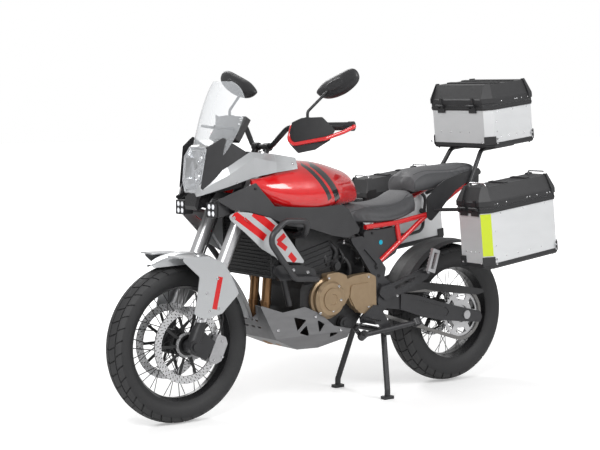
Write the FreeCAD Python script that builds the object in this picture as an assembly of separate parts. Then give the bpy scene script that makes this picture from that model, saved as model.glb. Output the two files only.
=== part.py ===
import FreeCAD, Part
import math
import os

# Adventure motorcycle with aluminium luggage. Millimetres, +X forward, +Y to the rider's left,
# +Z up. The model is laid out from the point on the floor under the rear axle, and every
# finished piece is then moved along X so that the origin lies under the middle of its length.

V = FreeCAD.Vector

# Chassis
WHEELBASE = 1500.0
RAKE_DEG = 25.0
FORK_OFFSET = 33.0
FORK_HALF_SPACING = 105.0
REAR_WHEEL_LIFT = 6.0
FLOAT_GAP = 0.3
CUT_OVERRUN = 6.0
MOVING_GAP = 5.0
STEER_LOCK_DEG = 32.0

# Wheels and tyres: 110/80-19 in front, 150/70-17 behind
FRONT_TYRE_R = 329.0
FRONT_TYRE_WIDTH = 112.0
FRONT_BEAD_R = 241.0
FRONT_RIM_WIDTH = 70.0
REAR_TYRE_R = 321.0
REAR_TYRE_WIDTH = 150.0
REAR_BEAD_R = 216.0
REAR_RIM_WIDTH = 112.0
RIM_DEPTH = 17.0
RIM_WALL = 4.0
RIM_FLANGE_SHARE = 0.65
TYRE_WALL = 9.0
SPOKE_R = 1.9
SPOKE_COUNT = 36
SPOKE_LEAN_DEG = 52.0
FRONT_HUB_R = 34.0
REAR_HUB_R = 40.0
HUB_FLANGE_RISE = 15.0
HUB_FLANGE_THICK = 6.0

# Brakes and drive
FRONT_DISC_R = 158.0
FRONT_DISC_RING = 32.0
DISC_THICK = 5.0
FRONT_DISC_Y = 68.0
REAR_DISC_R = 122.0
REAR_DISC_Y = 80.0
SPROCKET_R = 113.0
SPROCKET_TEETH = 42
SPROCKET_THICK = 5.0
CHAIN_Y = 107.0
CHAIN_HEIGHT = 15.0
CHAIN_PLATE_THICK = 2.5
DRIVE_SPROCKET_R = 38.0
DRIVE_SPROCKET_X = 596.0
DRIVE_SPROCKET_Z = 441.0

# Axles, spindles and tubes
FRONT_AXLE_R = 10.0
REAR_AXLE_R = 12.5
STEM_R = 15.0
FORK_OUTER_R = 27.0
FORK_INNER_R = 21.5
FRAME_TUBE_R = 16.0
SUBFRAME_TUBE_R = 11.0
RACK_TUBE_R = 8.0
CRASH_BAR_R = 12.5
HANDLEBAR_R = 11.0

# Luggage
TOP_CASE_WIDTH = 398.0
TOP_CASE_LENGTH = 315.0
TOP_CASE_BODY_HEIGHT = 190.0
TOP_CASE_LID_HEIGHT = 92.0
TOP_CASE_FRONT_X = -90.0
TOP_CASE_BASE_Z = 1099.0
CASE_TILT_DEG = 6.5
PANNIER_LENGTH = 465.0
PANNIER_WIDTH = 168.0
PANNIER_BODY_HEIGHT = 262.0
PANNIER_LID_HEIGHT = 88.0
PANNIER_FRONT_X = 185.0
PANNIER_BASE_Z = 584.0
PANNIER_INNER_Y = 305.0
CASE_CHAMFER = 32.0
CASE_WALL = 3.0
CASE_LIP_GAP = 0.6
CASE_BAND = 4.0
CASE_BAND_HEIGHT = 22.0
CASE_GUARD = 6.0
CASE_GUARD_REACH = 52.0
CASE_GUARD_HEIGHT = 46.0
CASE_GUARD_DROP = 16.0
LID_SLOPE = 26.0
LID_BAND_SHARE = 0.34
LID_RIB = 5.0

# Places that follow from the sizes above
REAR_AXLE = V(0, 0, REAR_TYRE_R + REAR_WHEEL_LIFT)
FRONT_AXLE = V(WHEELBASE, 0, FRONT_TYRE_R)
PARTS = {}


# Small shape makers shared by all the pieces


def cyl(start, end, radius):
    """Round bar between two points."""
    axis = end.sub(start)
    return Part.makeCylinder(radius, axis.Length, start, axis)


def tube(start, end, outer, bore):
    """Round tube between two points."""
    return cyl(start, end, outer).cut(cyl(start, end, bore))


def box(x_range, y_range, z_range):
    """Block between three pairs of limits."""
    size = [high - low for low, high in (x_range, y_range, z_range)]
    return Part.makeBox(size[0], size[1], size[2], V(x_range[0], y_range[0], z_range[0]))


def fused(*shapes):
    """One solid from shapes that meet."""
    whole = shapes[0].multiFuse(list(shapes[1:])) if len(shapes) > 1 else shapes[0]
    return whole.removeSplitter()


def group(*shapes):
    """Separate solids kept in one piece."""
    return Part.makeCompound([solid for shape in shapes for solid in shape.Solids])


def largest(shape):
    """The biggest solid that a cut has left."""
    return max(shape.Solids, key=lambda solid: solid.Volume)


def flipped(shape):
    """The same shape on the machine's other side."""
    return shape.mirror(V(0, 0, 0), V(0, 1, 0))


def both(shape):
    """A left-hand shape and its right-hand twin."""
    return group(shape, flipped(shape))


def corners(points, radius, closed):
    """Edges of straight runs joined by tangent arcs of one radius, limited by the shorter run."""
    edges = []
    ends = []
    count = len(points)
    for index in range(count):
        here = points[index]
        if not closed and index in (0, count - 1):
            ends.append((here, None, here))
            continue
        back = points[index - 1].sub(here)
        ahead = points[(index + 1) % count].sub(here)
        room = 0.45 * min(back.Length, ahead.Length)
        back.normalize()
        ahead.normalize()
        half = back.getAngle(ahead) / 2
        if radius <= 0 or math.pi / 2 - half < 0.02:
            ends.append((here, None, here))
            continue
        cut = min(radius / math.tan(half), room)
        arc_r = cut * math.tan(half)
        middle = back.add(ahead).normalize().multiply(arc_r / math.sin(half) - arc_r)
        ends.append((here.add(back * cut), here.add(middle), here.add(ahead * cut)))
    for index in range(count):
        start, middle, end = ends[index]
        if middle is not None:
            edges.append(Part.Arc(start, middle, end).toShape())
        if index < count - 1 or closed:
            edges.append(Part.LineSegment(end, ends[(index + 1) % count][0]).toShape())
    return edges


def bent_rod(points, radius, bend):
    """Round bar along straight runs joined by tangent arcs: cylinders and torus sectors."""
    pieces = []
    for edge in corners(points, bend, False):
        start = edge.valueAt(edge.FirstParameter)
        end = edge.valueAt(edge.LastParameter)
        if isinstance(edge.Curve, Part.Circle):
            along = edge.tangentAt(edge.FirstParameter)
            turn = math.degrees(edge.LastParameter - edge.FirstParameter)
            disc = Part.Face(Part.Wire(Part.makeCircle(radius, start, along)))
            pieces.append(disc.revolve(edge.Curve.Center, edge.Curve.Axis, turn))
        else:
            pieces.append(cyl(start, end, radius))
    return fused(*pieces)


def spread(shares, x_low, length, z_low, height):
    """Side-view points from shares of a panel's length and height."""
    return [V(x_low + sx * length, 0, z_low + sz * height) for sx, sz in shares]


def plate(points, y_low, y_high, radius):
    """Side-view outline with rounded corners, as thick as from one Y to the other."""
    wire = Part.Wire(Part.__sortEdges__(corners(points, radius, True)))
    face = Part.Face(wire)
    face.translate(V(0, y_low, 0))
    return face.extrude(V(0, y_high - y_low, 0))


def wall(plan, thick, z_low, z_high):
    """Upright wall that follows a curve seen from above, set inwards from it."""
    outer = Part.BSplineCurve()
    outer.interpolate([V(x, y, z_low) for x, y in plan])
    inner = Part.BSplineCurve()
    inner.interpolate([V(x, y - thick, z_low) for x, y in plan])
    ends = [
        Part.LineSegment(outer.StartPoint, inner.StartPoint).toShape(),
        Part.LineSegment(outer.EndPoint, inner.EndPoint).toShape(),
    ]
    wire = Part.Wire(Part.__sortEdges__([outer.toShape(), inner.toShape()] + ends))
    return Part.Face(wire).extrude(V(0, 0, z_high - z_low))


def curved_panel(points, radius, plan, thick):
    """Thin body panel: a side-view outline cut from a wall that is curved in plan."""
    y_values = [y for _, y in plan]
    blank = plate(points, min(y_values) - thick * 2, max(y_values) + thick, radius)
    z_values = [point.z for point in points]
    return blank.common(wall(plan, thick, min(z_values) - thick, max(z_values) + thick))


def ring(profile, centre):
    """Body of revolution about a wheel's axle from (radius, y) pairs."""
    points = [V(centre.x + r, centre.y + y, centre.z) for r, y in profile]
    face = Part.Face(Part.makePolygon(points + [points[0]]))
    return face.revolve(centre, V(0, 1, 0), 360)


def turned(shape, centre, axis, degrees):
    """A turned copy."""
    copy = shape.copy()
    copy.rotate(centre, axis, degrees)
    return copy


def spun(shape, centre, count, share=0.0):
    """Copies spaced evenly round a wheel's axle."""
    step = 360.0 / count
    return [turned(shape, centre, V(0, 1, 0), (index + share) * step) for index in range(count)]


def section(x, half_width, z_low, z_high, shares):
    """Closed smooth wire across the machine: shares of half width and height, mirrored."""
    right = [V(x, sy * half_width, z_low + sz * (z_high - z_low)) for sy, sz in shares]
    left = [V(point.x, -point.y, point.z) for point in reversed(right) if abs(point.y) > 0]
    curve = Part.BSplineCurve()
    curve.interpolate(right + left, True)
    return Part.Wire(curve.toShape())


def polygon_section(points):
    """Closed straight-sided wire through points in space."""
    return Part.makePolygon(points + [points[0]])


def on_fork(n, y, s):
    """Point given along the fork: n forward of the axle, s up along the legs."""
    rake = math.radians(RAKE_DEG)
    forward = V(math.cos(rake), 0, math.sin(rake))
    up = V(-math.sin(rake), 0, math.cos(rake))
    return FRONT_AXLE.add(forward * n).add(up * s).add(V(0, y, 0))


def fork_set(shape):
    """Moves a shape built upright about the origin to the raked front axle."""
    return turned(shape, V(0, 0, 0), V(0, 1, 0), -RAKE_DEG).translated(FRONT_AXLE)


# Wheels


def tyre(centre, outer_r, width, bead_r, rim_width):
    """Hollow casing: round crown, widest at mid height, beads on the rim's seats."""
    half = width / 2
    seat = rim_width / 2 - RIM_WALL - FLOAT_GAP
    crown = outer_r - bead_r
    outer_shares = ((0.5, 1.0), (0.82, 0.82), (0.95, 0.45))
    flange = bead_r + RIM_DEPTH * RIM_FLANGE_SHARE + FLOAT_GAP
    profile = [(bead_r + FLOAT_GAP, seat - TYRE_WALL), (bead_r + FLOAT_GAP, seat), (flange, seat)]
    profile += [(bead_r + sr * crown, sy * half) for sr, sy in outer_shares]
    profile += [(outer_r, 0)]
    mirrored = [(r, -y) for r, y in reversed(profile[:-1])]
    inner_shares = ((0.5, 1.0), (0.93, 0.5))
    inner = [(bead_r + sr * (crown - TYRE_WALL), sy * (half - TYRE_WALL))
        for sr, sy in inner_shares]
    inner_back = [(r, -y) for r, y in inner]
    return ring(profile + mirrored + inner_back + list(reversed(inner)), centre)


def rim(centre, bead_r, width):
    """Drop-centre rim: flanges, bead seats and a well, with one wall thickness."""
    half = width / 2
    flange = bead_r + RIM_DEPTH * RIM_FLANGE_SHARE
    well = bead_r - RIM_DEPTH
    outside = [(flange, half), (bead_r - RIM_WALL, half), (well + RIM_WALL, half * 0.5),
        (well, half * 0.3)]
    inside = [(well + RIM_WALL, half * 0.3), (bead_r, half * 0.55), (bead_r, half - RIM_WALL),
        (flange, half - RIM_WALL)]
    outside_back = [(r, -y) for r, y in reversed(outside)]
    inside_back = [(r, -y) for r, y in reversed(inside)]
    return ring(outside + outside_back + inside_back + inside, centre)


def spokes(centre, hub_r, hub_y, rim_r, rim_y):
    """Laced wire spokes: square-drawn wires from the hub's flanges to the rim's well."""
    wires = []
    for index in range(SPOKE_COUNT):
        side = 1 if index % 2 else -1
        lean = SPOKE_LEAN_DEG if (index // 2) % 2 else -SPOKE_LEAN_DEG
        outward = SPOKE_R * (1.2 if lean > 0 else -1.2)
        rim_angle = math.radians(index * 360.0 / SPOKE_COUNT)
        hub_angle = rim_angle + math.radians(lean)
        start_y = side * (hub_y + outward)
        end_y = side * rim_y + side * outward / 2
        start = centre.add(V(hub_r * math.cos(hub_angle), start_y, hub_r * math.sin(hub_angle)))
        end = centre.add(V(rim_r * math.cos(rim_angle), end_y, rim_r * math.sin(rim_angle)))
        along = end.sub(start)
        across = along.cross(V(0, 1, 0)).normalize()
        rise = along.cross(across).normalize()
        corner_points = [start.add(across * SPOKE_R), start.add(rise * SPOKE_R)]
        corner_points += [start.sub(across * SPOKE_R), start.sub(rise * SPOKE_R)]
        wires.append(Part.Face(polygon_section(corner_points)).extrude(along))
    return wires


def hub(centre, radius, y_low, y_high, flange_y, bore):
    """Hub barrel with two spoke flanges and the axle's bore."""
    rim_r = radius + HUB_FLANGE_RISE
    profile = [(bore, y_low), (radius, y_low)]
    for y in (-flange_y, flange_y):
        profile += [(radius, y - HUB_FLANGE_THICK / 2), (rim_r, y - HUB_FLANGE_THICK / 2)]
        profile += [(rim_r, y + HUB_FLANGE_THICK / 2), (radius, y + HUB_FLANGE_THICK / 2)]
    profile += [(radius, y_high), (bore, y_high)]
    return ring(profile, centre)


def disc_with_carrier(centre, y, disc_r, band, arms, hub_r):
    """Brake disc: a flat band held by a carrier of arms that grips the hub's end."""
    face = DISC_THICK / 2
    brake = ring([(disc_r - band, y - face), (disc_r, y - face), (disc_r, y + face),
        (disc_r - band, y + face)], centre)
    boss_r = hub_r + HUB_FLANGE_RISE
    boss = ring([(hub_r - FLOAT_GAP, y - face), (boss_r, y - face), (boss_r, y + face),
        (hub_r - FLOAT_GAP, y + face)], centre)
    reach = disc_r - band + face
    arm = box((centre.x + boss_r - face, centre.x + reach), (y - face, y + face),
        (centre.z - arms[1] / 2, centre.z + arms[1] / 2))
    return fused(brake, boss, *spun(arm, centre, arms[0]))


FRONT_HUB_HALF = 62.0
FRONT_FLANGE_Y = 34.0
REAR_HUB_HALF = 72.0
REAR_FLANGE_Y = 38.0
SPOKE_RIM_Y = 8.0
ABS_RING_R = 52.0
ABS_RING_BAND = 9.0
SPROCKET_CARRIER_R = 66.0
SPROCKET_TOOTH = 7.0
DISC_ARM_WIDTH = 11.0


def front_wheel():
    """Tyre, rim, spokes and hub with two discs."""
    well = FRONT_BEAD_R - RIM_DEPTH
    PARTS["front_tyre"] = tyre(FRONT_AXLE, FRONT_TYRE_R, FRONT_TYRE_WIDTH, FRONT_BEAD_R,
        FRONT_RIM_WIDTH)
    wire = spokes(FRONT_AXLE, FRONT_HUB_R + HUB_FLANGE_RISE - 2 * SPOKE_R, FRONT_FLANGE_Y,
        well - FLOAT_GAP - SPOKE_R, SPOKE_RIM_Y)
    PARTS["front_rim"] = turned(rim(FRONT_AXLE, FRONT_BEAD_R, FRONT_RIM_WIDTH), FRONT_AXLE,
        V(0, 1, 0), 180 / SPOKE_COUNT)
    bore = FRONT_AXLE_R + FLOAT_GAP
    barrel = hub(FRONT_AXLE, FRONT_HUB_R, -FRONT_HUB_HALF, FRONT_HUB_HALF, FRONT_FLANGE_Y, bore)
    PARTS["front_hub"] = fused(barrel, *wire)
    arms = (10, DISC_ARM_WIDTH)
    disc = disc_with_carrier(FRONT_AXLE, FRONT_DISC_Y, FRONT_DISC_R, FRONT_DISC_RING, arms,
        FRONT_HUB_R - 2 * FLOAT_GAP)
    inner_r = ABS_RING_R - ABS_RING_BAND
    low = FRONT_HUB_HALF + FLOAT_GAP
    boss = ring([(inner_r - ABS_RING_BAND, low), (ABS_RING_R, low), (ABS_RING_R, FRONT_DISC_Y),
        (inner_r - ABS_RING_BAND, FRONT_DISC_Y)], FRONT_AXLE)
    PARTS["front_discs"] = both(fused(disc, boss))


def sprocket_outline(centre, y):
    """Toothed wheel with a carrier ring and open windows between its arms."""
    half = SPROCKET_THICK / 2
    root = SPROCKET_R - SPROCKET_TOOTH
    points = []
    for index in range(SPROCKET_TEETH):
        for share, radius in ((0.0, root), (0.35, root), (0.55, SPROCKET_R), (0.8, SPROCKET_R)):
            angle = 2 * math.pi * (index + share) / SPROCKET_TEETH
            points.append(V(centre.x + radius * math.cos(angle), y - half,
                centre.z + radius * math.sin(angle)))
    body = Part.Face(polygon_section(points)).extrude(V(0, SPROCKET_THICK, 0))
    window = ring([(SPROCKET_CARRIER_R, y - SPROCKET_THICK),
        (root - 2 * SPROCKET_TOOTH, y - SPROCKET_THICK),
        (root - 2 * SPROCKET_TOOTH, y + SPROCKET_THICK), (SPROCKET_CARRIER_R, y + SPROCKET_THICK)],
        centre)
    bar = box((centre.x, centre.x + SPROCKET_R), (y - SPROCKET_THICK, y + SPROCKET_THICK),
        (centre.z - 2 * SPROCKET_TOOTH, centre.z + 2 * SPROCKET_TOOTH))
    return body.cut(window.cut(fused(*spun(bar, centre, 6))))


def rear_wheel():
    """Tyre, rim, spokes and hub with the brake disc and the sprocket."""
    well = REAR_BEAD_R - RIM_DEPTH
    PARTS["rear_tyre"] = tyre(REAR_AXLE, REAR_TYRE_R, REAR_TYRE_WIDTH, REAR_BEAD_R, REAR_RIM_WIDTH)
    PARTS["rear_rim"] = turned(rim(REAR_AXLE, REAR_BEAD_R, REAR_RIM_WIDTH), REAR_AXLE, V(0, 1, 0),
        180 / SPOKE_COUNT)
    wire = spokes(REAR_AXLE, REAR_HUB_R + HUB_FLANGE_RISE - 2 * SPOKE_R, REAR_FLANGE_Y,
        well - FLOAT_GAP - SPOKE_R, SPOKE_RIM_Y)
    bore = REAR_AXLE_R + FLOAT_GAP
    carrier_low = CHAIN_Y - SPROCKET_THICK / 2 - REAR_HUB_R / 2
    barrel = hub(REAR_AXLE, REAR_HUB_R, -REAR_HUB_HALF, carrier_low, REAR_FLANGE_Y, bore)
    PARTS["rear_hub"] = fused(barrel, *wire)
    face = CHAIN_Y - SPROCKET_THICK / 2
    carrier = ring([(bore, carrier_low + FLOAT_GAP), (SPROCKET_CARRIER_R, carrier_low + FLOAT_GAP),
        (SPROCKET_CARRIER_R, face), (bore, face)], REAR_AXLE)
    toothed = sprocket_outline(REAR_AXLE, CHAIN_Y)
    eye = ring([(0, face - SPROCKET_THICK), (REAR_HUB_R, face - SPROCKET_THICK),
        (REAR_HUB_R, face + 2 * SPROCKET_THICK), (0, face + 2 * SPROCKET_THICK)], REAR_AXLE)
    PARTS["rear_sprocket"] = fused(carrier, toothed.cut(eye))
    disc = disc_with_carrier(REAR_AXLE, -REAR_DISC_Y, REAR_DISC_R, FRONT_DISC_RING,
        (6, 2 * DISC_ARM_WIDTH), REAR_HUB_R - 2 * FLOAT_GAP)
    neck = ring([(bore + RIM_WALL, -REAR_DISC_Y), (REAR_HUB_R + HUB_FLANGE_RISE, -REAR_DISC_Y),
        (REAR_HUB_R + HUB_FLANGE_RISE, -REAR_HUB_HALF - FLOAT_GAP),
        (bore + RIM_WALL, -REAR_HUB_HALF - FLOAT_GAP)], REAR_AXLE)
    PARTS["rear_disc"] = fused(disc, neck)


# Fork, bars and what turns with them

FORK_FOOT_R = 27.0
FORK_FOOT_LENGTH = 80.0
FORK_LEG_START = 140.0
FORK_TOP = 842.0
YOKE_THICK = 28.0
LOWER_YOKE_S = 625.0
UPPER_YOKE_S = 812.0
YOKE_WEB = 20.0
AXLE_FOOT_DROP = 30.0
STEM_CROWN_R = 30.0
CALIPER_LENGTH = 118.0
CALIPER_DEPTH = 62.0
CALIPER_WIDTH = 74.0
CALIPER_REACH = 132.0
CALIPER_RISE = 30.0
CALIPER_CORNER = 16.0


def yoke_outline():
    """Corners of a yoke seen along the fork, as places forward and sideways."""
    reach = FORK_HALF_SPACING + FORK_OUTER_R + YOKE_WEB / 2
    front = FORK_OUTER_R + YOKE_WEB / 2
    inner = FORK_HALF_SPACING - FORK_OUTER_R
    half = [(front, inner * 0.7), (front, FORK_HALF_SPACING), (front * 0.3, reach),
        (-front * 0.6, reach),
            (-FORK_OFFSET, FORK_HALF_SPACING * 0.55),
            (-FORK_OFFSET - STEM_CROWN_R, STEM_CROWN_R * 0.8)]
    return half + [(n, -y) for n, y in reversed(half)]


def steering_room():
    """Space that the yokes and fork tubes sweep between the locks, flat behind."""
    lock = math.radians(STEER_LOCK_DEG)
    places = [(n + FORK_OFFSET, abs(y)) for n, y in yoke_outline()]
    reach = max(math.hypot(n, y) for n, y in places) + MOVING_GAP
    back = max(y * math.sin(lock) - n * math.cos(lock) for n, y in places) + MOVING_GAP
    low, high = LOWER_YOKE_S - YOKE_THICK, FORK_TOP + BAR_RISE
    sweep = cyl(V(-FORK_OFFSET, 0, low), V(-FORK_OFFSET, 0, high), reach)
    return fork_set(sweep.common(box((-FORK_OFFSET - back, reach), (-reach, reach), (low, high))))


def wheel_room():
    """Space that the front tyre and the fender's tail sweep behind the fork between the locks."""
    radius = FENDER_R * FENDER_TAIL_SHARE + FENDER_THICK + MOVING_GAP
    chord = math.sqrt(radius ** 2 - FORK_OFFSET ** 2)
    top, back, low = V(-FORK_OFFSET, 0, chord), V(-radius, 0, 0), V(-FORK_OFFSET, 0, -chord)
    edges = [Part.Arc(top, back, low).toShape(), Part.LineSegment(low, top).toShape()]
    return fork_set(Part.Face(Part.Wire(edges)).revolve(top, V(0, 0, 1), 360))


def fork():
    """Yokes with their stem, outer tubes, and chrome legs with the axle feet."""
    half = FORK_HALF_SPACING
    stem_n = -FORK_OFFSET
    yokes = []
    for level in (LOWER_YOKE_S, UPPER_YOKE_S):
        points = [V(n, y, level) for n, y in yoke_outline()]
        slab = Part.Face(Part.Wire(Part.__sortEdges__(corners(points, YOKE_WEB, True)))).extrude(
            V(0, 0, YOKE_THICK))
        for y in (-half, half):
            slab = slab.cut(cyl(V(0, y, level - CUT_OVERRUN),
                V(0, y, level + YOKE_THICK + CUT_OVERRUN), FORK_OUTER_R + FLOAT_GAP))
        yokes.append(slab)
    stem = cyl(V(stem_n, 0, LOWER_YOKE_S), V(stem_n, 0, UPPER_YOKE_S + YOKE_THICK + YOKE_WEB / 2),
        STEM_R)
    PARTS["fork_yokes"] = fork_set(fused(yokes[0], yokes[1], stem))
    outer = tube(V(0, half, FORK_LEG_START), V(0, half, FORK_TOP), FORK_OUTER_R,
        FORK_INNER_R + FLOAT_GAP)
    cap = cyl(V(0, half, FORK_TOP), V(0, half, FORK_TOP + YOKE_WEB / 2), FORK_INNER_R)
    lip = tube(V(0, half, FORK_LEG_START), V(0, half, FORK_LEG_START + YOKE_WEB),
        FORK_OUTER_R + RIM_WALL / 2, FORK_OUTER_R - RIM_WALL)
    PARTS["fork_tubes"] = fork_set(both(fused(outer, cap, lip)))
    leg = cyl(V(0, half, -AXLE_FOOT_DROP), V(0, half, FORK_TOP - YOKE_THICK), FORK_INNER_R)
    foot = cyl(V(0, half, -AXLE_FOOT_DROP), V(0, half, FORK_FOOT_LENGTH), FORK_FOOT_R)
    lug_low = half - FORK_FOOT_R * 0.5
    lug = plate([V(n * 1.0, 0, s) for n, s in (
        (0, -AXLE_FOOT_DROP), (-CALIPER_REACH + CALIPER_DEPTH * 0.75, -AXLE_FOOT_DROP),
        (-CALIPER_REACH + CALIPER_DEPTH * 0.55, CALIPER_RISE + CALIPER_LENGTH * 0.2),
        (-FORK_FOOT_R * 0.8, FORK_FOOT_LENGTH * 0.9), (0, FORK_FOOT_LENGTH * 0.9))],
        lug_low, lug_low + FORK_FOOT_R * 0.7, YOKE_WEB / 4)
    clamp = cyl(V(0, half - FORK_FOOT_R, 0), V(0, half + FORK_FOOT_R, 0), FORK_FOOT_R)
    axle_hole = cyl(V(0, 0, 0), V(0, 2 * half, 0), FRONT_AXLE_R + FLOAT_GAP)
    lower = fused(leg, foot, lug, clamp).cut(axle_hole)
    end = half + FORK_FOOT_R + YOKE_WEB / 10
    axle = cyl(V(0, -end, 0), V(0, end, 0), FRONT_AXLE_R)
    head = [cyl(V(0, s * (half + FORK_FOOT_R + FLOAT_GAP), 0), V(0, s * (end + YOKE_WEB / 4), 0),
        FRONT_AXLE_R * 1.6) for s in (-1, 1)]
    PARTS["fork_legs"] = fork_set(group(lower, flipped(lower), fused(axle, *head)))


def front_calipers():
    """Radial calipers behind the legs, each slotted round its disc."""
    half_w = CALIPER_WIDTH / 2
    centre_s = CALIPER_RISE
    points = [V(-CALIPER_REACH + CALIPER_DEPTH * sx, 0, centre_s + CALIPER_LENGTH * sz)
        for sx, sz in (
        (-0.5, -0.32), (-0.18, -0.5), (0.42, -0.5), (0.5, -0.38), (0.5, 0.38), (0.42, 0.5),
        (-0.18, 0.5), (-0.5, 0.32))]
    body = plate(points, FRONT_DISC_Y - half_w * 0.78, FRONT_DISC_Y + half_w * 0.95,
        CALIPER_CORNER / 2)
    disc_cut = FRONT_DISC_R + MOVING_GAP
    gap = DISC_THICK / 2 + MOVING_GAP
    slot = cyl(V(0, FRONT_DISC_Y - gap, 0), V(0, FRONT_DISC_Y + gap, 0), disc_cut)
    hub_room = cyl(V(0, -CALIPER_WIDTH, 0), V(0, FRONT_DISC_Y + CALIPER_WIDTH, 0),
        FRONT_DISC_R - CALIPER_DEPTH)
    caliper = body.cut(slot).cut(hub_room)
    legs = PARTS["fork_legs"]
    PARTS["front_calipers"] = fork_set(both(caliper)).cut(legs)


FENDER_R = 345.0
FENDER_THICK = 4.0
FENDER_HALF_WIDTH = 76.0
FENDER_SIDE_DROP = 46.0
FENDER_LEG_Y = 142.0
FENDER_TAIL_SHARE = 1.03
FENDER_BOSS_R = 9.0
FENDER_LEG_X = 1293.0
FENDER_LEG_LENGTH = 293.0
FENDER_LEG_LOW = 440.0
FENDER_LEG_HEIGHT = 262.0


def front_fender():
    """Crown that follows the tyre, with a leg on each side over the fork."""
    stations = ((68.0, 1.04, 0.34, 0.3), (80.0, 1.067, 0.74, 0.8), (96.0, 1.09, 0.98, 1.0),
        (111.0, 1.1, 1.0, 1.0),
                (126.0, 1.06, 1.0, 0.8), (146.0, FENDER_TAIL_SHARE, 0.94, 0.7),
                (168.0, FENDER_TAIL_SHARE, 0.84, 0.5))
    wires = []
    for angle_deg, radius_share, width_share, drop_share in stations:
        angle = math.radians(angle_deg)
        out = V(math.cos(angle), 0, math.sin(angle))
        radius = FENDER_R * radius_share
        half = FENDER_HALF_WIDTH * width_share
        drop = FENDER_SIDE_DROP * drop_share
        arch = [(0.0, 0.0), (0.5, -0.06), (0.82, -0.28), (1.0, -1.0)]
        outer = [(half * sy, radius + drop * sr) for sy, sr in arch]
        inner = [((half - FENDER_THICK) * sy, radius - FENDER_THICK + (drop - FENDER_THICK) * sr)
            for sy, sr in arch]
        outer[-1] = (half, radius - drop)
        inner[-1] = (half - FENDER_THICK, radius - drop)
        back = [(-y, r) for y, r in inner[1:]] + [(-y, r) for y, r in reversed(outer[1:])]
        loop = outer + list(reversed(inner)) + back
        wires.append(polygon_section([FRONT_AXLE.add(out * r).add(V(0, y, 0)) for y, r in loop]))
    crown = Part.makeLoft(wires, True, False)
    leg_shares = ((1.0, 0.985), (0.66, 0.656), (0.71, 0.305), (0.757, 0.09), (0.594, 0.0),
        (0.41, 0.027), (0.29, 0.061), (0.0, 0.347), (0.154, 0.69), (0.27, 0.855), (0.52, 0.97))
    leg_points = spread(leg_shares, FENDER_LEG_X, FENDER_LEG_LENGTH, FENDER_LEG_LOW,
        FENDER_LEG_HEIGHT)
    leg = plate(leg_points, FENDER_LEG_Y - FENDER_THICK, FENDER_LEG_Y, FENDER_SIDE_DROP / 4)
    bridge_shares = ((1.0, 0.985), (0.52, 0.97), (0.34, 0.88), (0.34, 0.86), (0.52, 0.95),
        (1.0, 0.965))
    bridge_points = spread(bridge_shares, FENDER_LEG_X, FENDER_LEG_LENGTH, FENDER_LEG_LOW,
        FENDER_LEG_HEIGHT)
    bridge = plate(bridge_points, FENDER_HALF_WIDTH * 0.78, FENDER_LEG_Y, 0)
    bosses = [cyl(V(0, FENDER_LEG_Y - FENDER_BOSS_R * 1.6, s),
        V(0, FENDER_LEG_Y - FENDER_THICK / 2, s), FENDER_BOSS_R)
              for s in (FORK_LEG_START + FORK_FOOT_LENGTH * 0.75,
              FORK_LEG_START + FORK_FOOT_LENGTH * 2.4)]
    side = fused(leg, bridge, *[fork_set(boss) for boss in bosses])
    whole = fused(crown, side, flipped(side)).cut(PARTS["fork_tubes"])
    PARTS["front_fender"] = largest(whole)


BAR_CLAMP = V(1069.0, 0, 1122.0)
BAR_RISE = 84.0
BAR_STRAIGHT = 62.0
BAR_KNEE_Y = 150.0
GRIP_INNER_Y = 292.0
BAR_END_Y = 428.0
BAR_PULLBACK = 66.0
GRIP_R = 17.0
RISER_R = 14.0
BAR_BEND = 60.0
LEVER_R = 6.0
SWITCH_WIDTH = 46.0
SWITCH_R = 23.0


def bar_points():
    """Half of the handlebar's centre line, from the clamp to the end."""
    low = BAR_CLAMP
    high_z = BAR_CLAMP.z + BAR_RISE
    return [
        V(low.x, 0, low.z), V(low.x, BAR_STRAIGHT, low.z),
        V(low.x - BAR_PULLBACK * 0.35, BAR_KNEE_Y, high_z),
        V(low.x - BAR_PULLBACK * 0.6, GRIP_INNER_Y - SWITCH_WIDTH, high_z + GRIP_R / 4),
        V(low.x - BAR_PULLBACK * 1.8, BAR_END_Y, high_z + GRIP_R / 2),
    ]


def bar_at(y):
    """Point on the outer part of the bar at a distance from the middle."""
    knee, end = bar_points()[3:]
    share = (y - knee.y) / (end.y - knee.y)
    return knee.add((end - knee) * share)


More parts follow.
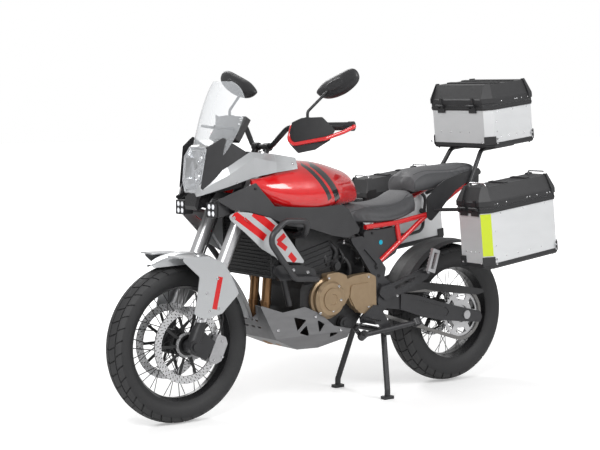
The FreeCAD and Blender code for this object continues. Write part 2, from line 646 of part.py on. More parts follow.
def handlebar():
    """Tapered bar on risers, with grips, switch clusters, levers and a brake fluid pot."""
    points = bar_points()
    mirrored = [V(p.x, -p.y, p.z) for p in reversed(points[1:])]
    bar = bent_rod(mirrored + points[1:], HANDLEBAR_R, BAR_BEND)
    riser_foot = on_fork(-FORK_OFFSET, 0, UPPER_YOKE_S + YOKE_THICK + FLOAT_GAP)
    riser = []
    for side in (-1, 1):
        y = side * BAR_STRAIGHT * 0.62
        top = V(BAR_CLAMP.x, y, BAR_CLAMP.z)
        up = on_fork(0, 0, RISER_R).sub(FRONT_AXLE).normalize()
        length = top.sub(V(riser_foot.x, y, riser_foot.z)).dot(up)
        foot = top.sub(up * length)
        riser.append(cyl(foot, top, RISER_R))
        riser.append(cyl(top.sub(V(0, RISER_R * 1.15, 0)), top.add(V(0, RISER_R * 1.15, 0)),
            HANDLEBAR_R + RISER_R * 0.45))
    parts = []
    inner, outer = bar_at(GRIP_INNER_Y), bar_at(BAR_END_Y)
    along = outer.sub(inner).normalize()
    parts.append(cyl(inner, outer, GRIP_R))
    parts.append(cyl(outer, outer.add(along * SWITCH_R), GRIP_R * 1.15))
    switch_start = inner.sub(along * SWITCH_WIDTH)
    parts.append(cyl(switch_start, inner.sub(along * LEVER_R), SWITCH_R))
    ahead = V(along.y, -along.x, 0).normalize()
    perch = switch_start.sub(along * LEVER_R)
    parts.append(cyl(perch, perch.add(along * SWITCH_WIDTH * 0.6).add(ahead * SWITCH_R * 2.1),
        LEVER_R * 2))
    pivot = perch.add(along * SWITCH_WIDTH * 0.5).add(ahead * SWITCH_R * 2)
    knuckle = pivot.add(along * SWITCH_WIDTH)
    tip = outer.add(ahead * SWITCH_R * 1.9)
    parts.append(bent_rod([pivot, knuckle, tip], LEVER_R, SWITCH_R))
    left = fused(*parts)
    pot_y = -(GRIP_INNER_Y - SWITCH_WIDTH * 1.3)
    pot = bar_at(-pot_y)
    pot = cyl(V(pot.x + SWITCH_R * 1.6, pot_y, pot.z - SWITCH_R * 0.4),
        V(pot.x + SWITCH_R * 1.6, pot_y, pot.z + SWITCH_R * 1.8), SWITCH_R * 0.95)
    neck = cyl(V(pot.BoundBox.Center.x, pot_y, bar_at(-pot_y).z),
        V(bar_at(-pot_y).x, pot_y, bar_at(-pot_y).z), LEVER_R * 1.5)
    PARTS["handlebar"] = fused(bar, *riser, left, flipped(left), pot, neck)


GUARD_TUBE_R = 8.0
GUARD_BACK_X = 985.0
GUARD_REACH = 121.0
GUARD_INNER_Y = 232.0
GUARD_WIDTH = 212.0
GUARD_LOW_Z = 1104.0
GUARD_HEIGHT = 148.0
SHIELD_THICK = 4.0


def hand_guards():
    """Red hoop from the bar's end under the grip to the bar's middle, with a black shield inside it."""
    end = bar_at(BAR_END_Y).add(V(0, SWITCH_R + 2 * FLOAT_GAP, 0))
    inner = bar_at(GUARD_INNER_Y - SWITCH_R)

    def spot(sx, sy, sz):
        return V(GUARD_BACK_X + GUARD_REACH * sx, GUARD_INNER_Y + GUARD_WIDTH * sy,
            GUARD_LOW_Z + GUARD_HEIGHT * sz)

    hoop = bent_rod([
        V(end.x - GUARD_TUBE_R, end.y - GUARD_TUBE_R, end.z),
        V(end.x, end.y + GUARD_TUBE_R * 2, end.z), spot(0.02, 1.0, 0.6),
        spot(0.5, 0.8, 0.42), spot(0.98, 0.14, 0.24), spot(1.0, 0.0, 0.36), spot(0.8, -0.04, 0.78),
        V(inner.x + HANDLEBAR_R + FLOAT_GAP, inner.y, inner.z)], GUARD_TUBE_R, GUARD_REACH / 4)
    hoops = both(hoop).cut(PARTS["handlebar"])
    PARTS["guard_hoops"] = group(*sorted(hoops.Solids, key=lambda solid: -solid.Volume)[:2])
    plan = [spot(*place) for place in ((0.98, -0.03, 0), (0.88, 0.25, 0), (0.64, 0.55, 0),
        (0.24, 0.86, 0))]
    layers = []
    for depth in (0, SHIELD_THICK):
        curve = Part.BSplineCurve()
        curve.interpolate([V(p.x - depth, p.y - depth / 2, 0) for p in plan])
        layers.append(curve)
    caps = [Part.LineSegment(getattr(layers[0], end_name), getattr(layers[1], end_name)).toShape()
        for end_name in ("StartPoint", "EndPoint")]
    sheet = Part.Face(Part.Wire(Part.__sortEdges__([curve.toShape() for curve in layers] + caps)))
    sheet = sheet.extrude(V(0, 0, GUARD_HEIGHT * 2)).translated(V(0, 0,
        GUARD_LOW_Z - GUARD_HEIGHT / 2))
    shares = ((0.0, 0.26), (0.0, 0.5), (0.07, 0.84), (0.3, 0.97), (0.66, 1.0), (0.86, 0.66),
        (0.78, 0.36), (0.54, 0.1), (0.22, 0.0))
    outline = [spot(-1.0, sy, sz) for sy, sz in shares]
    shape = Part.Face(Part.Wire(Part.__sortEdges__(corners(outline, SHIELD_THICK * 2,
        True)))).extrude(V(GUARD_REACH * 3, 0, 0))
    shield = sheet.common(shape)
    arm = bent_rod([spot(0.9, 0.14, 0.5), spot(0.6, 0.12, 0.6),
        V(inner.x + HANDLEBAR_R + FLOAT_GAP, inner.y + GUARD_TUBE_R * 2.4, inner.z)],
        GUARD_TUBE_R * 0.7, GUARD_TUBE_R)
    shields = both(fused(shield, arm)).cut(PARTS["guard_hoops"]).cut(PARTS["handlebar"])
    PARTS["hand_guards"] = group(*sorted(shields.Solids, key=lambda solid: -solid.Volume)[:2])


MIRROR_Y = 346.0
MIRROR_X = 930.0
MIRROR_Z = 1383.0
MIRROR_WIDTH = 262.0
MIRROR_HEIGHT = 112.0
MIRROR_DEPTH = 32.0
MIRROR_STEM_R = 6.0


def mirrors():
    """Leaf-shaped heads with a bulged back, pointed outwards and upwards, on cranked stems."""
    outline = [(-0.5, -0.34), (-0.34, -0.5), (0.02, -0.44), (0.34, -0.14), (0.5, 0.3), (0.44, 0.5),
        (0.16, 0.48), (-0.2, 0.2), (-0.44, -0.1)]
    faces = []
    for depth, share in ((0.0, 0.95), (0.35, 1.0), (0.8, 0.74), (1.0, 0.4)):
        ring_points = [V(depth * MIRROR_DEPTH, sy * MIRROR_WIDTH * share,
            sz * MIRROR_HEIGHT * share) for sy, sz in outline]
        curve = Part.BSplineCurve()
        curve.interpolate(ring_points, True)
        faces.append(Part.Wire(curve.toShape()))
    head = Part.makeLoft(faces, True, False).translated(V(MIRROR_X, MIRROR_Y, MIRROR_Z))
    base = bar_at(GRIP_INNER_Y - SWITCH_WIDTH * 0.4)
    foot = base.add(V(SWITCH_R, 0, HANDLEBAR_R * 1.4))
    stem = bent_rod([foot, foot.add(V(0, 0, SWITCH_R * 2)),
        V(MIRROR_X + MIRROR_DEPTH / 2, MIRROR_Y - MIRROR_WIDTH * 0.18,
        MIRROR_Z - MIRROR_HEIGHT * 0.18)], MIRROR_STEM_R, SWITCH_R)
    boss = cyl(foot.sub(V(0, 0, HANDLEBAR_R * 0.7)), foot.add(V(0, 0, SWITCH_R)), MIRROR_STEM_R * 2)
    mirror_set = both(fused(head, stem, boss))
    PARTS["mirrors"] = mirror_set.cut(PARTS["handlebar"])


HOSE_R = 4.0


def brake_hoses():
    """Front hoses: from each caliper up behind its leg to the lower yoke, and on to the fluid pot."""
    half = FORK_HALF_SPACING
    behind = FORK_OUTER_R + HOSE_R + FLOAT_GAP
    low = CALIPER_RISE + CALIPER_LENGTH / 2
    clear = FRONT_DISC_Y + CALIPER_WIDTH * 0.28
    run = [on_fork(-CALIPER_REACH + CALIPER_DEPTH * 0.3, clear, low),
        on_fork(-CALIPER_REACH + CALIPER_DEPTH * 0.3, clear, low + FORK_FOOT_R * 2),
           on_fork(-behind, half - FORK_OUTER_R * 0.4, low + CALIPER_LENGTH * 1.6),
           on_fork(-behind, half - FORK_OUTER_R * 0.4, LOWER_YOKE_S)]
    hose = bent_rod(run, HOSE_R, CALIPER_LENGTH).cut(PARTS["front_calipers"]).cut(
        PARTS["fork_yokes"])
    PARTS["brake_hoses"] = both(largest(hose))


# Frame and engine

PIVOT = V(524.0, 0, 437.0)
PIVOT_R = 12.0
PIVOT_PLATE_Y = 152.0
PIVOT_PLATE_THICK = 14.0
PLATE_LOW_Z = 366.0
PLATE_HEIGHT = 364.0
PLATE_BACK_X = 451.0
PLATE_LENGTH = 257.0
HEAD_TUBE_R = 32.0
HEAD_TUBE_LOW_S = 660.0
HEAD_TUBE_HIGH_S = 805.0
SPAR_Y = 128.0
SPAR_Z = 816.0


def main_frame():
    """Head tube, spars and down tubes, with cast plates at the swingarm's pivot."""
    low = on_fork(-FORK_OFFSET, 0, HEAD_TUBE_LOW_S)
    high = on_fork(-FORK_OFFSET, 0, HEAD_TUBE_HIGH_S)
    bore = cyl(on_fork(-FORK_OFFSET, 0, LOWER_YOKE_S), on_fork(-FORK_OFFSET, 0, FORK_TOP),
        STEM_R + FLOAT_GAP)
    head = cyl(low, high, HEAD_TUBE_R)
    neck = on_fork(-FORK_OFFSET - FRAME_TUBE_R, 0, (HEAD_TUBE_LOW_S + HEAD_TUBE_HIGH_S) / 2)
    plate_top_x = PLATE_BACK_X + PLATE_LENGTH * 0.86
    plate_top_z = PLATE_LOW_Z + PLATE_HEIGHT
    spar = bent_rod([
        V(neck.x, FRAME_TUBE_R, neck.z), V(neck.x - SPAR_Y, SPAR_Y, SPAR_Z + FRAME_TUBE_R),
        V(plate_top_x + SPAR_Y, SPAR_Y, SPAR_Z - FRAME_TUBE_R),
        V(plate_top_x, SPAR_Y + FRAME_TUBE_R * 0.35, plate_top_z - FRAME_TUBE_R)], FRAME_TUBE_R,
        SPAR_Y / 2)
    chin = on_fork(-FORK_OFFSET - FRAME_TUBE_R, 0, HEAD_TUBE_LOW_S + FRAME_TUBE_R * 1.8)
    knee = on_fork(-FORK_OFFSET - HEAD_TUBE_R * 2.5, FRAME_TUBE_R * 2.7,
        HEAD_TUBE_LOW_S + FRAME_TUBE_R)
    down = bent_rod([V(chin.x, FRAME_TUBE_R, chin.z), knee,
        V(DOWN_TUBE_X + FRAME_TUBE_R * 4, DOWN_TUBE_Y, DOWN_TUBE_KNEE_Z),
        V(DOWN_TUBE_X, DOWN_TUBE_Y, DOWN_TUBE_LOW_Z)], FRAME_TUBE_R * 0.85, SPAR_Y / 2)
    shares = (
        (0.992, 0.984), (0.735, 0.997), (0.646, 0.945), (0.284, 0.665), (0.198, 0.588),
        (0.226, 0.503), (0.245, 0.478), (0.016, 0.382), (0.0, 0.286), (0.066, 0.19),
        (0.113, 0.118), (0.249, 0.066), (0.518, 0.0), (0.545, 0.22), (0.482, 0.481),
        (0.553, 0.555), (0.778, 0.772), (0.953, 0.923))
    points = spread(shares, PLATE_BACK_X, PLATE_LENGTH, PLATE_LOW_Z, PLATE_HEIGHT)
    cheek = plate(points, PIVOT_PLATE_Y - PIVOT_PLATE_THICK, PIVOT_PLATE_Y, PIVOT_PLATE_THICK)
    pivot_boss = cyl(V(PIVOT.x, PIVOT_PLATE_Y - PIVOT_PLATE_THICK, PIVOT.z),
        V(PIVOT.x, PIVOT_PLATE_Y + PIVOT_R / 2, PIVOT.z), PIVOT_R * 2.6)
    slot = plate([V(PIVOT.x + PIVOT_R * sx, 0, PIVOT.z + PIVOT_R * sz)
        for sx, sz in ((2.4, 13.6), (8.6, 19.6), (9.6, 18.6), (3.6, 12.4))],
        PIVOT_PLATE_Y - PIVOT_PLATE_THICK / 2, PIVOT_PLATE_Y + CUT_OVERRUN, PIVOT_R / 4)
    one_side = fused(spar, down, cheek.cut(slot), pivot_boss)
    shaft = cyl(V(PIVOT.x, -PIVOT_PLATE_Y, PIVOT.z), V(PIVOT.x, PIVOT_PLATE_Y, PIVOT.z), PIVOT_R)
    cross_x = PLATE_BACK_X + PLATE_LENGTH * 0.38
    cross_z = PLATE_LOW_Z + PLATE_HEIGHT * 0.45
    cross = cyl(V(cross_x, -PIVOT_PLATE_Y + PIVOT_PLATE_THICK, cross_z),
        V(cross_x, PIVOT_PLATE_Y - PIVOT_PLATE_THICK, cross_z), PIVOT_R)
    PARTS["main_frame"] = fused(head, one_side, flipped(one_side), shaft, cross).cut(bore)


DOWN_TUBE_X = 1010.0
DOWN_TUBE_Y = 112.0
DOWN_TUBE_KNEE_Z = 690.0
DOWN_TUBE_LOW_Z = 452.0
SUBFRAME_Y = 130.0
SUB_TOP_Z = 764.0
SUB_TAIL_X = 239.0
SUB_TAIL_Z = 802.0
SUB_JUNCTION_X = 404.0
SUB_JUNCTION_Z = 690.0
SUB_LOW_X = 528.0
SUB_LOW_Z = 604.0
SUB_END_X = -70.0
SUB_END_Z = 948.0


def subframe():
    """Welded tube trellis that carries the seat, with two cross tubes and a tail loop."""
    r = SUBFRAME_TUBE_R
    front = V(PLATE_BACK_X + PLATE_LENGTH * 0.6, SUBFRAME_Y, SUB_TOP_Z)
    tail = V(SUB_TAIL_X, SUBFRAME_Y, SUB_TAIL_Z)
    mid = V((front.x + tail.x) / 2, SUBFRAME_Y, SUB_TOP_Z + r)
    junction = V(SUB_JUNCTION_X, SUBFRAME_Y, SUB_JUNCTION_Z)
    low = V(SUB_LOW_X, SUBFRAME_Y, SUB_LOW_Z)
    end = V(SUB_END_X, SUBFRAME_Y * 0.7, SUB_END_Z)
    side = fused(cyl(front, mid, r), cyl(mid, tail, r), cyl(low, junction, r),
        cyl(junction, tail, r), cyl(junction, mid, r), cyl(tail, end, r),
                 *[Part.makeSphere(r, p) for p in (mid, junction, tail)])
    cross = [cyl(V(p.x, -p.y, p.z), p, r) for p in (end, V(junction.x, SUBFRAME_Y, junction.z))]
    whole = fused(side, flipped(side), *cross)
    PARTS["subframe"] = whole.cut(PARTS["main_frame"])


CRANK_CENTRE = V(824.0, 0, 470.0)
CASE_HALF_WIDTH = 122.0
CASE_BACK_X = 590.0
CASE_LENGTH = 372.0
CASE_LOW_Z = 312.0
CASE_HEIGHT = 262.0
SUMP_HALF_WIDTH = 84.0
COVER_R = 80.0
COVER_OUT_Y = 180.0
CLUTCH_R = 98.0
CLUTCH_X = 716.0
CLUTCH_Z = 470.0
CYLINDER_TILT_DEG = 14.0
CYLINDER_LENGTH = 176.0
CYLINDER_HALF_WIDTH = 106.0
CYLINDER_HEIGHT = 128.0
CYLINDER_FIN_COUNT = 6
CYLINDER_FIN_THICK = 4.0
HEAD_HEIGHT = 84.0
CAM_COVER_HEIGHT = 44.0
INTAKE_LENGTH = 190.0
INTAKE_HEIGHT = 178.0
INTAKE_RISE = 20.0
CAP_X = 753.0
CAP_Z = 604.0
CAP_R = 23.0
FILTER_X = 730.0
FILTER_Z = 356.0
FILTER_R = 31.0


def crankcase():
    """Crankcase and gearbox casting with its sump; solid, as nothing opens it."""
    shares = (
        (0.027, 0.355), (0.188, 0.069), (0.296, 0.023), (0.78, 0.0), (0.914, 0.107),
        (1.0, 0.45), (0.989, 0.794), (0.914, 1.0), (0.349, 1.0), (0.296, 0.87),
        (0.054, 0.947), (0.005, 0.87))
    points = spread(shares, CASE_BACK_X, CASE_LENGTH, CASE_LOW_Z, CASE_HEIGHT)
    body = plate(points, -CASE_HALF_WIDTH, CASE_HALF_WIDTH, CASE_WALL * 8)
    pocket_r = DRIVE_SPROCKET_R + CHAIN_HEIGHT + MOVING_GAP
    centre = V(DRIVE_SPROCKET_X, 0, DRIVE_SPROCKET_Z)
    pocket = cyl(V(centre.x, CHAIN_Y - CHAIN_HEIGHT * 1.2, centre.z),
        V(centre.x, COVER_OUT_Y, centre.z), pocket_r)
    corner = box((CASE_BACK_X - CUT_OVERRUN, centre.x), (CHAIN_Y - CHAIN_HEIGHT * 1.2, COVER_OUT_Y),
        (centre.z - pocket_r - CUT_OVERRUN, centre.z + pocket_r + CUT_OVERRUN))
    rail = plate([V(CASE_BACK_X + CASE_LENGTH * sx, 0, CASE_LOW_Z + CASE_HEIGHT * sz)
        for sx, sz in ((0.28, 0.0), (0.32, -0.14), (0.74, -0.14), (0.8, 0.02))],
        COLLECTOR_Y + COLLECTOR_R + MOVING_GAP, SUMP_HALF_WIDTH, CASE_WALL * 3)
    oil_filter = [cyl(V(FILTER_X, 0, FILTER_Z), V(FILTER_X, CASE_HALF_WIDTH + FILTER_R * reach,
        FILTER_Z), FILTER_R * size) for reach, size in ((0.3, 1.0), (0.75, 0.86), (0.9, 0.4))]
    body = fused(body, rail, *oil_filter).cut(pocket).cut(corner)
    PARTS["crankcase"] = body.cut(PARTS["main_frame"])


def engine_covers():
    """Generator cover and sprocket cover on the left, clutch cover on the right."""
    face = CASE_HALF_WIDTH
    out = COVER_OUT_Y
    bell_shares = ((1.12, 0.0), (1.12, 0.24), (1.0, 0.3), (1.0, 0.62), (0.86, 0.86), (0.62, 0.9),
        (0.6, 1.0), (0.3, 1.0), (0.28, 0.95), (0.0, 0.95))
    bell = ring([(0, face)] + [(COVER_R * sr, face + (out - face) * sy)
        for sr, sy in bell_shares[:-1]] + [(0, face + (out - face) * 0.95)], CRANK_CENTRE)
    neck = plate([V(CRANK_CENTRE.x + COVER_R * sx, 0, CRANK_CENTRE.z + COVER_R * sz)
        for sx, sz in ((-0.1, 0.4), (0.3, 1.35), (-0.55, 1.4), (-1.1, 1.2), (-1.4, 0.2),
        (-0.9, -0.5))], face, face + (out - face) * 0.66, CASE_WALL * 3)
    shares = (
        (1.0, 0.75), (0.911, 0.902), (0.677, 0.967), (0.229, 1.0), (0.031, 0.902),
        (0.01, 0.125), (0.13, 0.011), (0.479, 0.054), (0.771, 0.304))
    points = spread(shares, CASE_BACK_X - CASE_WALL * 10, CASE_LENGTH * 0.516,
        CASE_LOW_Z + CASE_HEIGHT * 0.267, CASE_HEIGHT * 0.702)
    chest_low = CHAIN_Y + CHAIN_HEIGHT
    chest = plate(points, chest_low, face + (out - face) * 0.62, CASE_WALL * 4)
    lid_points = spread([(0.12 + 0.7 * sx, 0.16 + 0.62 * sz)
        for sx, sz in ((0.15, 0.1), (0.75, 0.0), (1.0, 0.5), (0.95, 0.95), (0.1, 1.0))],
        CASE_BACK_X - CASE_WALL * 10, CASE_LENGTH * 0.516, CASE_LOW_Z + CASE_HEIGHT * 0.267,
        CASE_HEIGHT * 0.702)
    lid = plate(lid_points, chest_low, face + (out - face) * 0.72, CASE_WALL * 4)
    left = fused(bell, neck, chest, lid).cut(PARTS["crankcase"]).cut(PARTS["main_frame"])
    clutch_centre = V(CLUTCH_X, 0, CLUTCH_Z)
    clutch = ring([(0, -face - FLOAT_GAP), (CLUTCH_R * 1.1, -face - FLOAT_GAP),
        (CLUTCH_R * 1.1, -face - CASE_WALL * 5), (CLUTCH_R, -face - CASE_WALL * 6),
        (CLUTCH_R * 0.94, -out + CASE_WALL * 3), (CLUTCH_R * 0.8, -out), (0, -out)], clutch_centre)
    pump = plate([V(CRANK_CENTRE.x + COVER_R * sx, 0, CRANK_CENTRE.z + COVER_R * sz)
        for sx, sz in ((-0.3, -1.2), (1.1, -0.9), (1.3, 0.4), (0.6, 1.1), (-0.3, 1.0))],
        -face - (out - face) * 0.7, -face - FLOAT_GAP, CASE_WALL * 5)
    right = fused(clutch, pump).cut(PARTS["main_frame"])
    PARTS["engine_covers"] = group(left, right)


def cylinders():
    """Finned twin-cylinder block, head and cam cover, leaning forwards."""
    x_mid = CASE_BACK_X + CASE_LENGTH * 0.68
    z_low = CASE_LOW_Z + CASE_HEIGHT
    half = CYLINDER_LENGTH / 2
    wide = CYLINDER_HALF_WIDTH
    core = box((x_mid - half * 0.9, x_mid + half * 0.9), (-wide * 0.94, wide * 0.94),
        (z_low - CUT_OVERRUN * 4, z_low + CYLINDER_HEIGHT))
    fins = []
    pitch = CYLINDER_HEIGHT / CYLINDER_FIN_COUNT
    for index in range(CYLINDER_FIN_COUNT):
        level = z_low + pitch * (index + 0.5)
        fins.append(box((x_mid - half, x_mid + half), (-wide, wide),
            (level, level + CYLINDER_FIN_THICK)))
    top = z_low + CYLINDER_HEIGHT
    head_shares = ((-1.04, 0.0), (1.04, 0.0), (1.1, 0.5), (0.86, 1.0), (-0.86, 1.0), (-1.1, 0.5))
    head = plate([V(x_mid + half * sx, 0, top + HEAD_HEIGHT * sz) for sx, sz in head_shares],
        -wide * 1.04, wide * 1.04, CASE_WALL * 4)
    cam_z = top + HEAD_HEIGHT
    cam_shares = ((-0.8, 0.0), (0.8, 0.0), (0.72, 0.8), (0.4, 1.0), (-0.4, 1.0), (-0.72, 0.8))
    cam = plate([V(x_mid + half * sx, 0, cam_z + CAM_COVER_HEIGHT * sz) for sx, sz in cam_shares],
        -wide * 0.98, wide * 0.98, CASE_WALL * 4)
    block = fused(core, head, cam, *fins)
    block = turned(block, V(x_mid, 0, z_low), V(0, 1, 0), CYLINDER_TILT_DEG)
    back = x_mid - half
    airbox_shares = ((-0.55, 0.1), (0.35, 0.0), (0.4, 0.7), (0.2, 1.0), (-0.5, 1.0))
    airbox = plate([V(back + INTAKE_LENGTH * sx, 0, z_low + INTAKE_RISE + INTAKE_HEIGHT * sz)
        for sx, sz in airbox_shares], -wide * 0.82, wide * 0.82, CASE_WALL * 6)
    throats = [bent_rod([V(back + half * 0.6, y, z_low + CYLINDER_HEIGHT * 0.9),
        V(back - INTAKE_LENGTH * 0.3, y, z_low + CYLINDER_HEIGHT * 0.7)], HEADER_R * 1.1, 0)
        for y in (-wide / 2, wide / 2)]
    cap_at = V(CAP_X, wide * 0.3, CAP_Z)
    cap = fused(cyl(cap_at, V(CAP_X, wide * 1.06, CAP_Z), CAP_R),
        cyl(cap_at, V(CAP_X, wide * 1.16, CAP_Z), CAP_R * 0.75),
        cyl(cap_at, V(CAP_X, wide, CAP_Z), CAP_R * 1.15))
    hoses = [
        bent_rod([V(CAP_X, wide * 0.8, CAP_Z + CAP_R * 0.6),
        V(CAP_X - CAP_R * 0.6, wide * 0.9, CAP_Z + CAP_R * 2.6),
        V(CAP_X + CAP_R, wide * 0.7, CAP_Z + CAP_R * 5)], HOSE_R * 2.4, CAP_R),
        bent_rod([V(CAP_X + CAP_R * 1.4, wide * 0.7, CAP_Z - CAP_R * 1.6),
        V(CAP_X + CAP_R * 2.2, wide * 0.96, CAP_Z + CAP_R),
        V(CAP_X + CAP_R * 2, wide * 0.7, CAP_Z + CAP_R * 4)], HOSE_R * 2, CAP_R),
        bent_rod([V(CAP_X - CAP_R * 1.8, wide * 0.6, CAP_Z - CAP_R),
        V(CAP_X - CAP_R * 2, wide, CAP_Z + CAP_R * 1.4),
        V(CAP_X - CAP_R * 1.4, wide * 0.7, CAP_Z + CAP_R * 4)], HOSE_R * 1.7, CAP_R)]
    block = fused(block, airbox, cap, *throats, *hoses)
    block = block.cut(PARTS["crankcase"]).cut(PARTS["main_frame"]).cut(PARTS["engine_covers"])
    PARTS["cylinders"] = group(*[s for s in block.Solids if s.Volume > CASE_WALL ** 3 * 100])


HEADER_R = 20.0
HEADER_Y = 38.0
HEADER_TOP_Z = 668.0
HEADER_FRONT_X = 1082.0
HEADER_BEND = 70.0
HEADER_LOW_Z = 352.0
COLLECTOR_LOW_Z = 284.0
COLLECTOR_FRONT_X = 900.0
COLLECTOR_BACK_X = 650.0
COLLECTOR_R = 25.0
COLLECTOR_Y = -38.0
SILENCER_R = 52.0
SILENCER_LENGTH = 420.0
SILENCER_FRONT = V(330.0, -203.0, 398.0)
SILENCER_RISE_DEG = 14.0


def exhaust():
    """Two header pipes, the collector under the engine, and the silencer on the right."""
    low = HEADER_LOW_Z
    pipes = []
    for y, x_shift in ((HEADER_Y, 0.0), (-HEADER_Y, HEADER_R)):
        port = V(CASE_BACK_X + CASE_LENGTH * 1.06, y, HEADER_TOP_Z)
        front = HEADER_FRONT_X + x_shift * 0.4
        pipes.append(bent_rod([
            port, V(front - HEADER_R, y, HEADER_TOP_Z + HEADER_R * 0.4),
            V(front, y, low + HEADER_BEND),
            V(front - HEADER_BEND, y, COLLECTOR_LOW_Z),
            V(COLLECTOR_FRONT_X + HEADER_R, COLLECTOR_Y + y * 0.3, COLLECTOR_LOW_Z),
            V(COLLECTOR_FRONT_X, COLLECTOR_Y + y * 0.3, COLLECTOR_LOW_Z)], HEADER_R, HEADER_BEND))
        pipes.append(cyl(V(front - HEADER_R * 0.1, y, low + HEADER_BEND * 1.5),
            V(front - HEADER_R * 0.1, y, low + HEADER_BEND * 1.7), HEADER_R * 1.14))
    box_body = cyl(V(COLLECTOR_FRONT_X + HEADER_R * 1.4, COLLECTOR_Y, COLLECTOR_LOW_Z),
        V(COLLECTOR_BACK_X, COLLECTOR_Y, COLLECTOR_LOW_Z), COLLECTOR_R * 1.1)
    rise = math.radians(SILENCER_RISE_DEG)
    back = V(-math.cos(rise), 0, math.sin(rise))
    nose = SILENCER_FRONT
    link = bent_rod([
        V(COLLECTOR_BACK_X + HEADER_R, COLLECTOR_Y, COLLECTOR_LOW_Z),
        V(COLLECTOR_BACK_X - HEADER_R * 1.5, COLLECTOR_Y - HEADER_R,
        COLLECTOR_LOW_Z + HEADER_R * 0.4),
        V(COLLECTOR_BACK_X - HEADER_R * 3.8, nose.y + HEADER_R * 1.9,
        COLLECTOR_LOW_Z + HEADER_R * 1.7), V(COLLECTOR_BACK_X - HEADER_R * 7.5,
        nose.y + HEADER_R * 0.3, COLLECTOR_LOW_Z + HEADER_R * 3.4), nose,
        nose.add(back * HEADER_R)], HEADER_R * 1.2, HEADER_BEND)
    can = cyl(nose.add(back * (HEADER_R * 2)), nose.add(back * SILENCER_LENGTH), SILENCER_R)
    cone = Part.makeCone(HEADER_R * 1.2, SILENCER_R, HEADER_R * 2, nose, back)
    tip_start = nose.add(back * SILENCER_LENGTH)
    end_cone = Part.makeCone(SILENCER_R, SILENCER_R * 0.7, HEADER_R * 1.4, tip_start, back)
    bore = cyl(tip_start, tip_start.add(back * (HEADER_R * 3)), HEADER_R)
    PARTS["exhaust"] = fused(*pipes, box_body, link, can, cone,
        end_cone.cut(bore)).cut(PARTS["cylinders"])


RADIATOR_X = 1144.0
RADIATOR_LOW_Z = 582.0
RADIATOR_HEIGHT = 250.0
RADIATOR_HALF_WIDTH = 172.0
RADIATOR_THICK = 34.0
RADIATOR_LEAN_DEG = 2.5
RADIATOR_RIM = 12.0
GRILLE_BAR = 3.0
GRILLE_PITCH = 15.0


def radiator():
    """Core with end tanks and a raised frame, and the slats of its stone guard."""
    back = RADIATOR_X - RADIATOR_THICK
    wide = RADIATOR_HALF_WIDTH
    low = RADIATOR_LOW_Z
    high = low + RADIATOR_HEIGHT
    core = box((back, RADIATOR_X), (-wide, wide), (low, high))
    recess = box((RADIATOR_X - RADIATOR_RIM / 2, RADIATOR_X + CUT_OVERRUN),
        (-wide + RADIATOR_RIM, wide - RADIATOR_RIM), (low + RADIATOR_RIM, high - RADIATOR_RIM))
    core = core.cut(recess)
    slats = []
    level = low + GRILLE_PITCH
    while level < high - RADIATOR_RIM:
        slats.append(box((RADIATOR_X - RADIATOR_RIM / 2, RADIATOR_X),
            (-wide + RADIATOR_RIM, wide - RADIATOR_RIM), (level, level + GRILLE_BAR)))
        level += GRILLE_PITCH
    whole = fused(core, *slats)
    PARTS["radiator"] = turned(whole, V(RADIATOR_X, 0, low), V(0, 1, 0),
        RADIATOR_LEAN_DEG).cut(PARTS["main_frame"]).cut(PARTS["exhaust"])


SHROUD_Y = 200.0
SHROUD_THICK = 5.0
SHROUD_BACK_X = 1000.0
SHROUD_LENGTH = 364.0
SHROUD_LOW_Z = 641.0
SHROUD_HEIGHT = 230.0


def radiator_shrouds():
    """Silver wings outside the radiator, with a dark cheek plate that carries each."""
    shares = (
        (1.0, 0.93), (0.904, 0.996), (0.766, 0.974), (0.486, 0.857), (0.346, 0.683),
        (0.0, 0.035), (0.014, 0.0), (0.332, 0.07), (0.599, 0.313), (0.794, 0.6),
        (0.973, 0.843))
    points = spread(shares, SHROUD_BACK_X, SHROUD_LENGTH, SHROUD_LOW_Z, SHROUD_HEIGHT)
    plan = [(SHROUD_BACK_X - SHROUD_THICK, SHROUD_Y),
        (SHROUD_BACK_X + SHROUD_LENGTH * 0.5, SHROUD_Y + SHROUD_THICK),
        (SHROUD_BACK_X + SHROUD_LENGTH + SHROUD_THICK, SHROUD_Y * 0.86)]
    wing = curved_panel(points, SHROUD_THICK * 2, plan, SHROUD_THICK)
    cheek_shares = (
        (0.385, -0.004), (0.027, -0.039), (-0.165, -0.126), (-0.206, -0.265), (0.036, -0.3),
        (0.33, -0.291), (0.398, -0.178))
    cheek_points = spread(cheek_shares, SHROUD_BACK_X, SHROUD_LENGTH, SHROUD_LOW_Z, SHROUD_HEIGHT)
    cheek = plate(cheek_points, RADIATOR_HALF_WIDTH + FLOAT_GAP, SHROUD_Y - SHROUD_THICK,
        SHROUD_THICK * 2)
    web = plate(spread([(0.06, 0.02), (0.38, 0.1), (0.62, 0.62), (0.86, 0.9), (0.5, 0.86),
        (0.3, 0.6)], SHROUD_BACK_X, SHROUD_LENGTH, SHROUD_LOW_Z, SHROUD_HEIGHT),
        RADIATOR_HALF_WIDTH + FLOAT_GAP, SHROUD_Y - SHROUD_THICK * 0.7, SHROUD_THICK)
    PARTS["radiator_shrouds"] = both(fused(wing, cheek, web))


CRASH_Y = 246.0
CRASH_LOW_Z = 572.0
CRASH_FRONT_X = 1222.0
CRASH_TOP_Z = 826.0


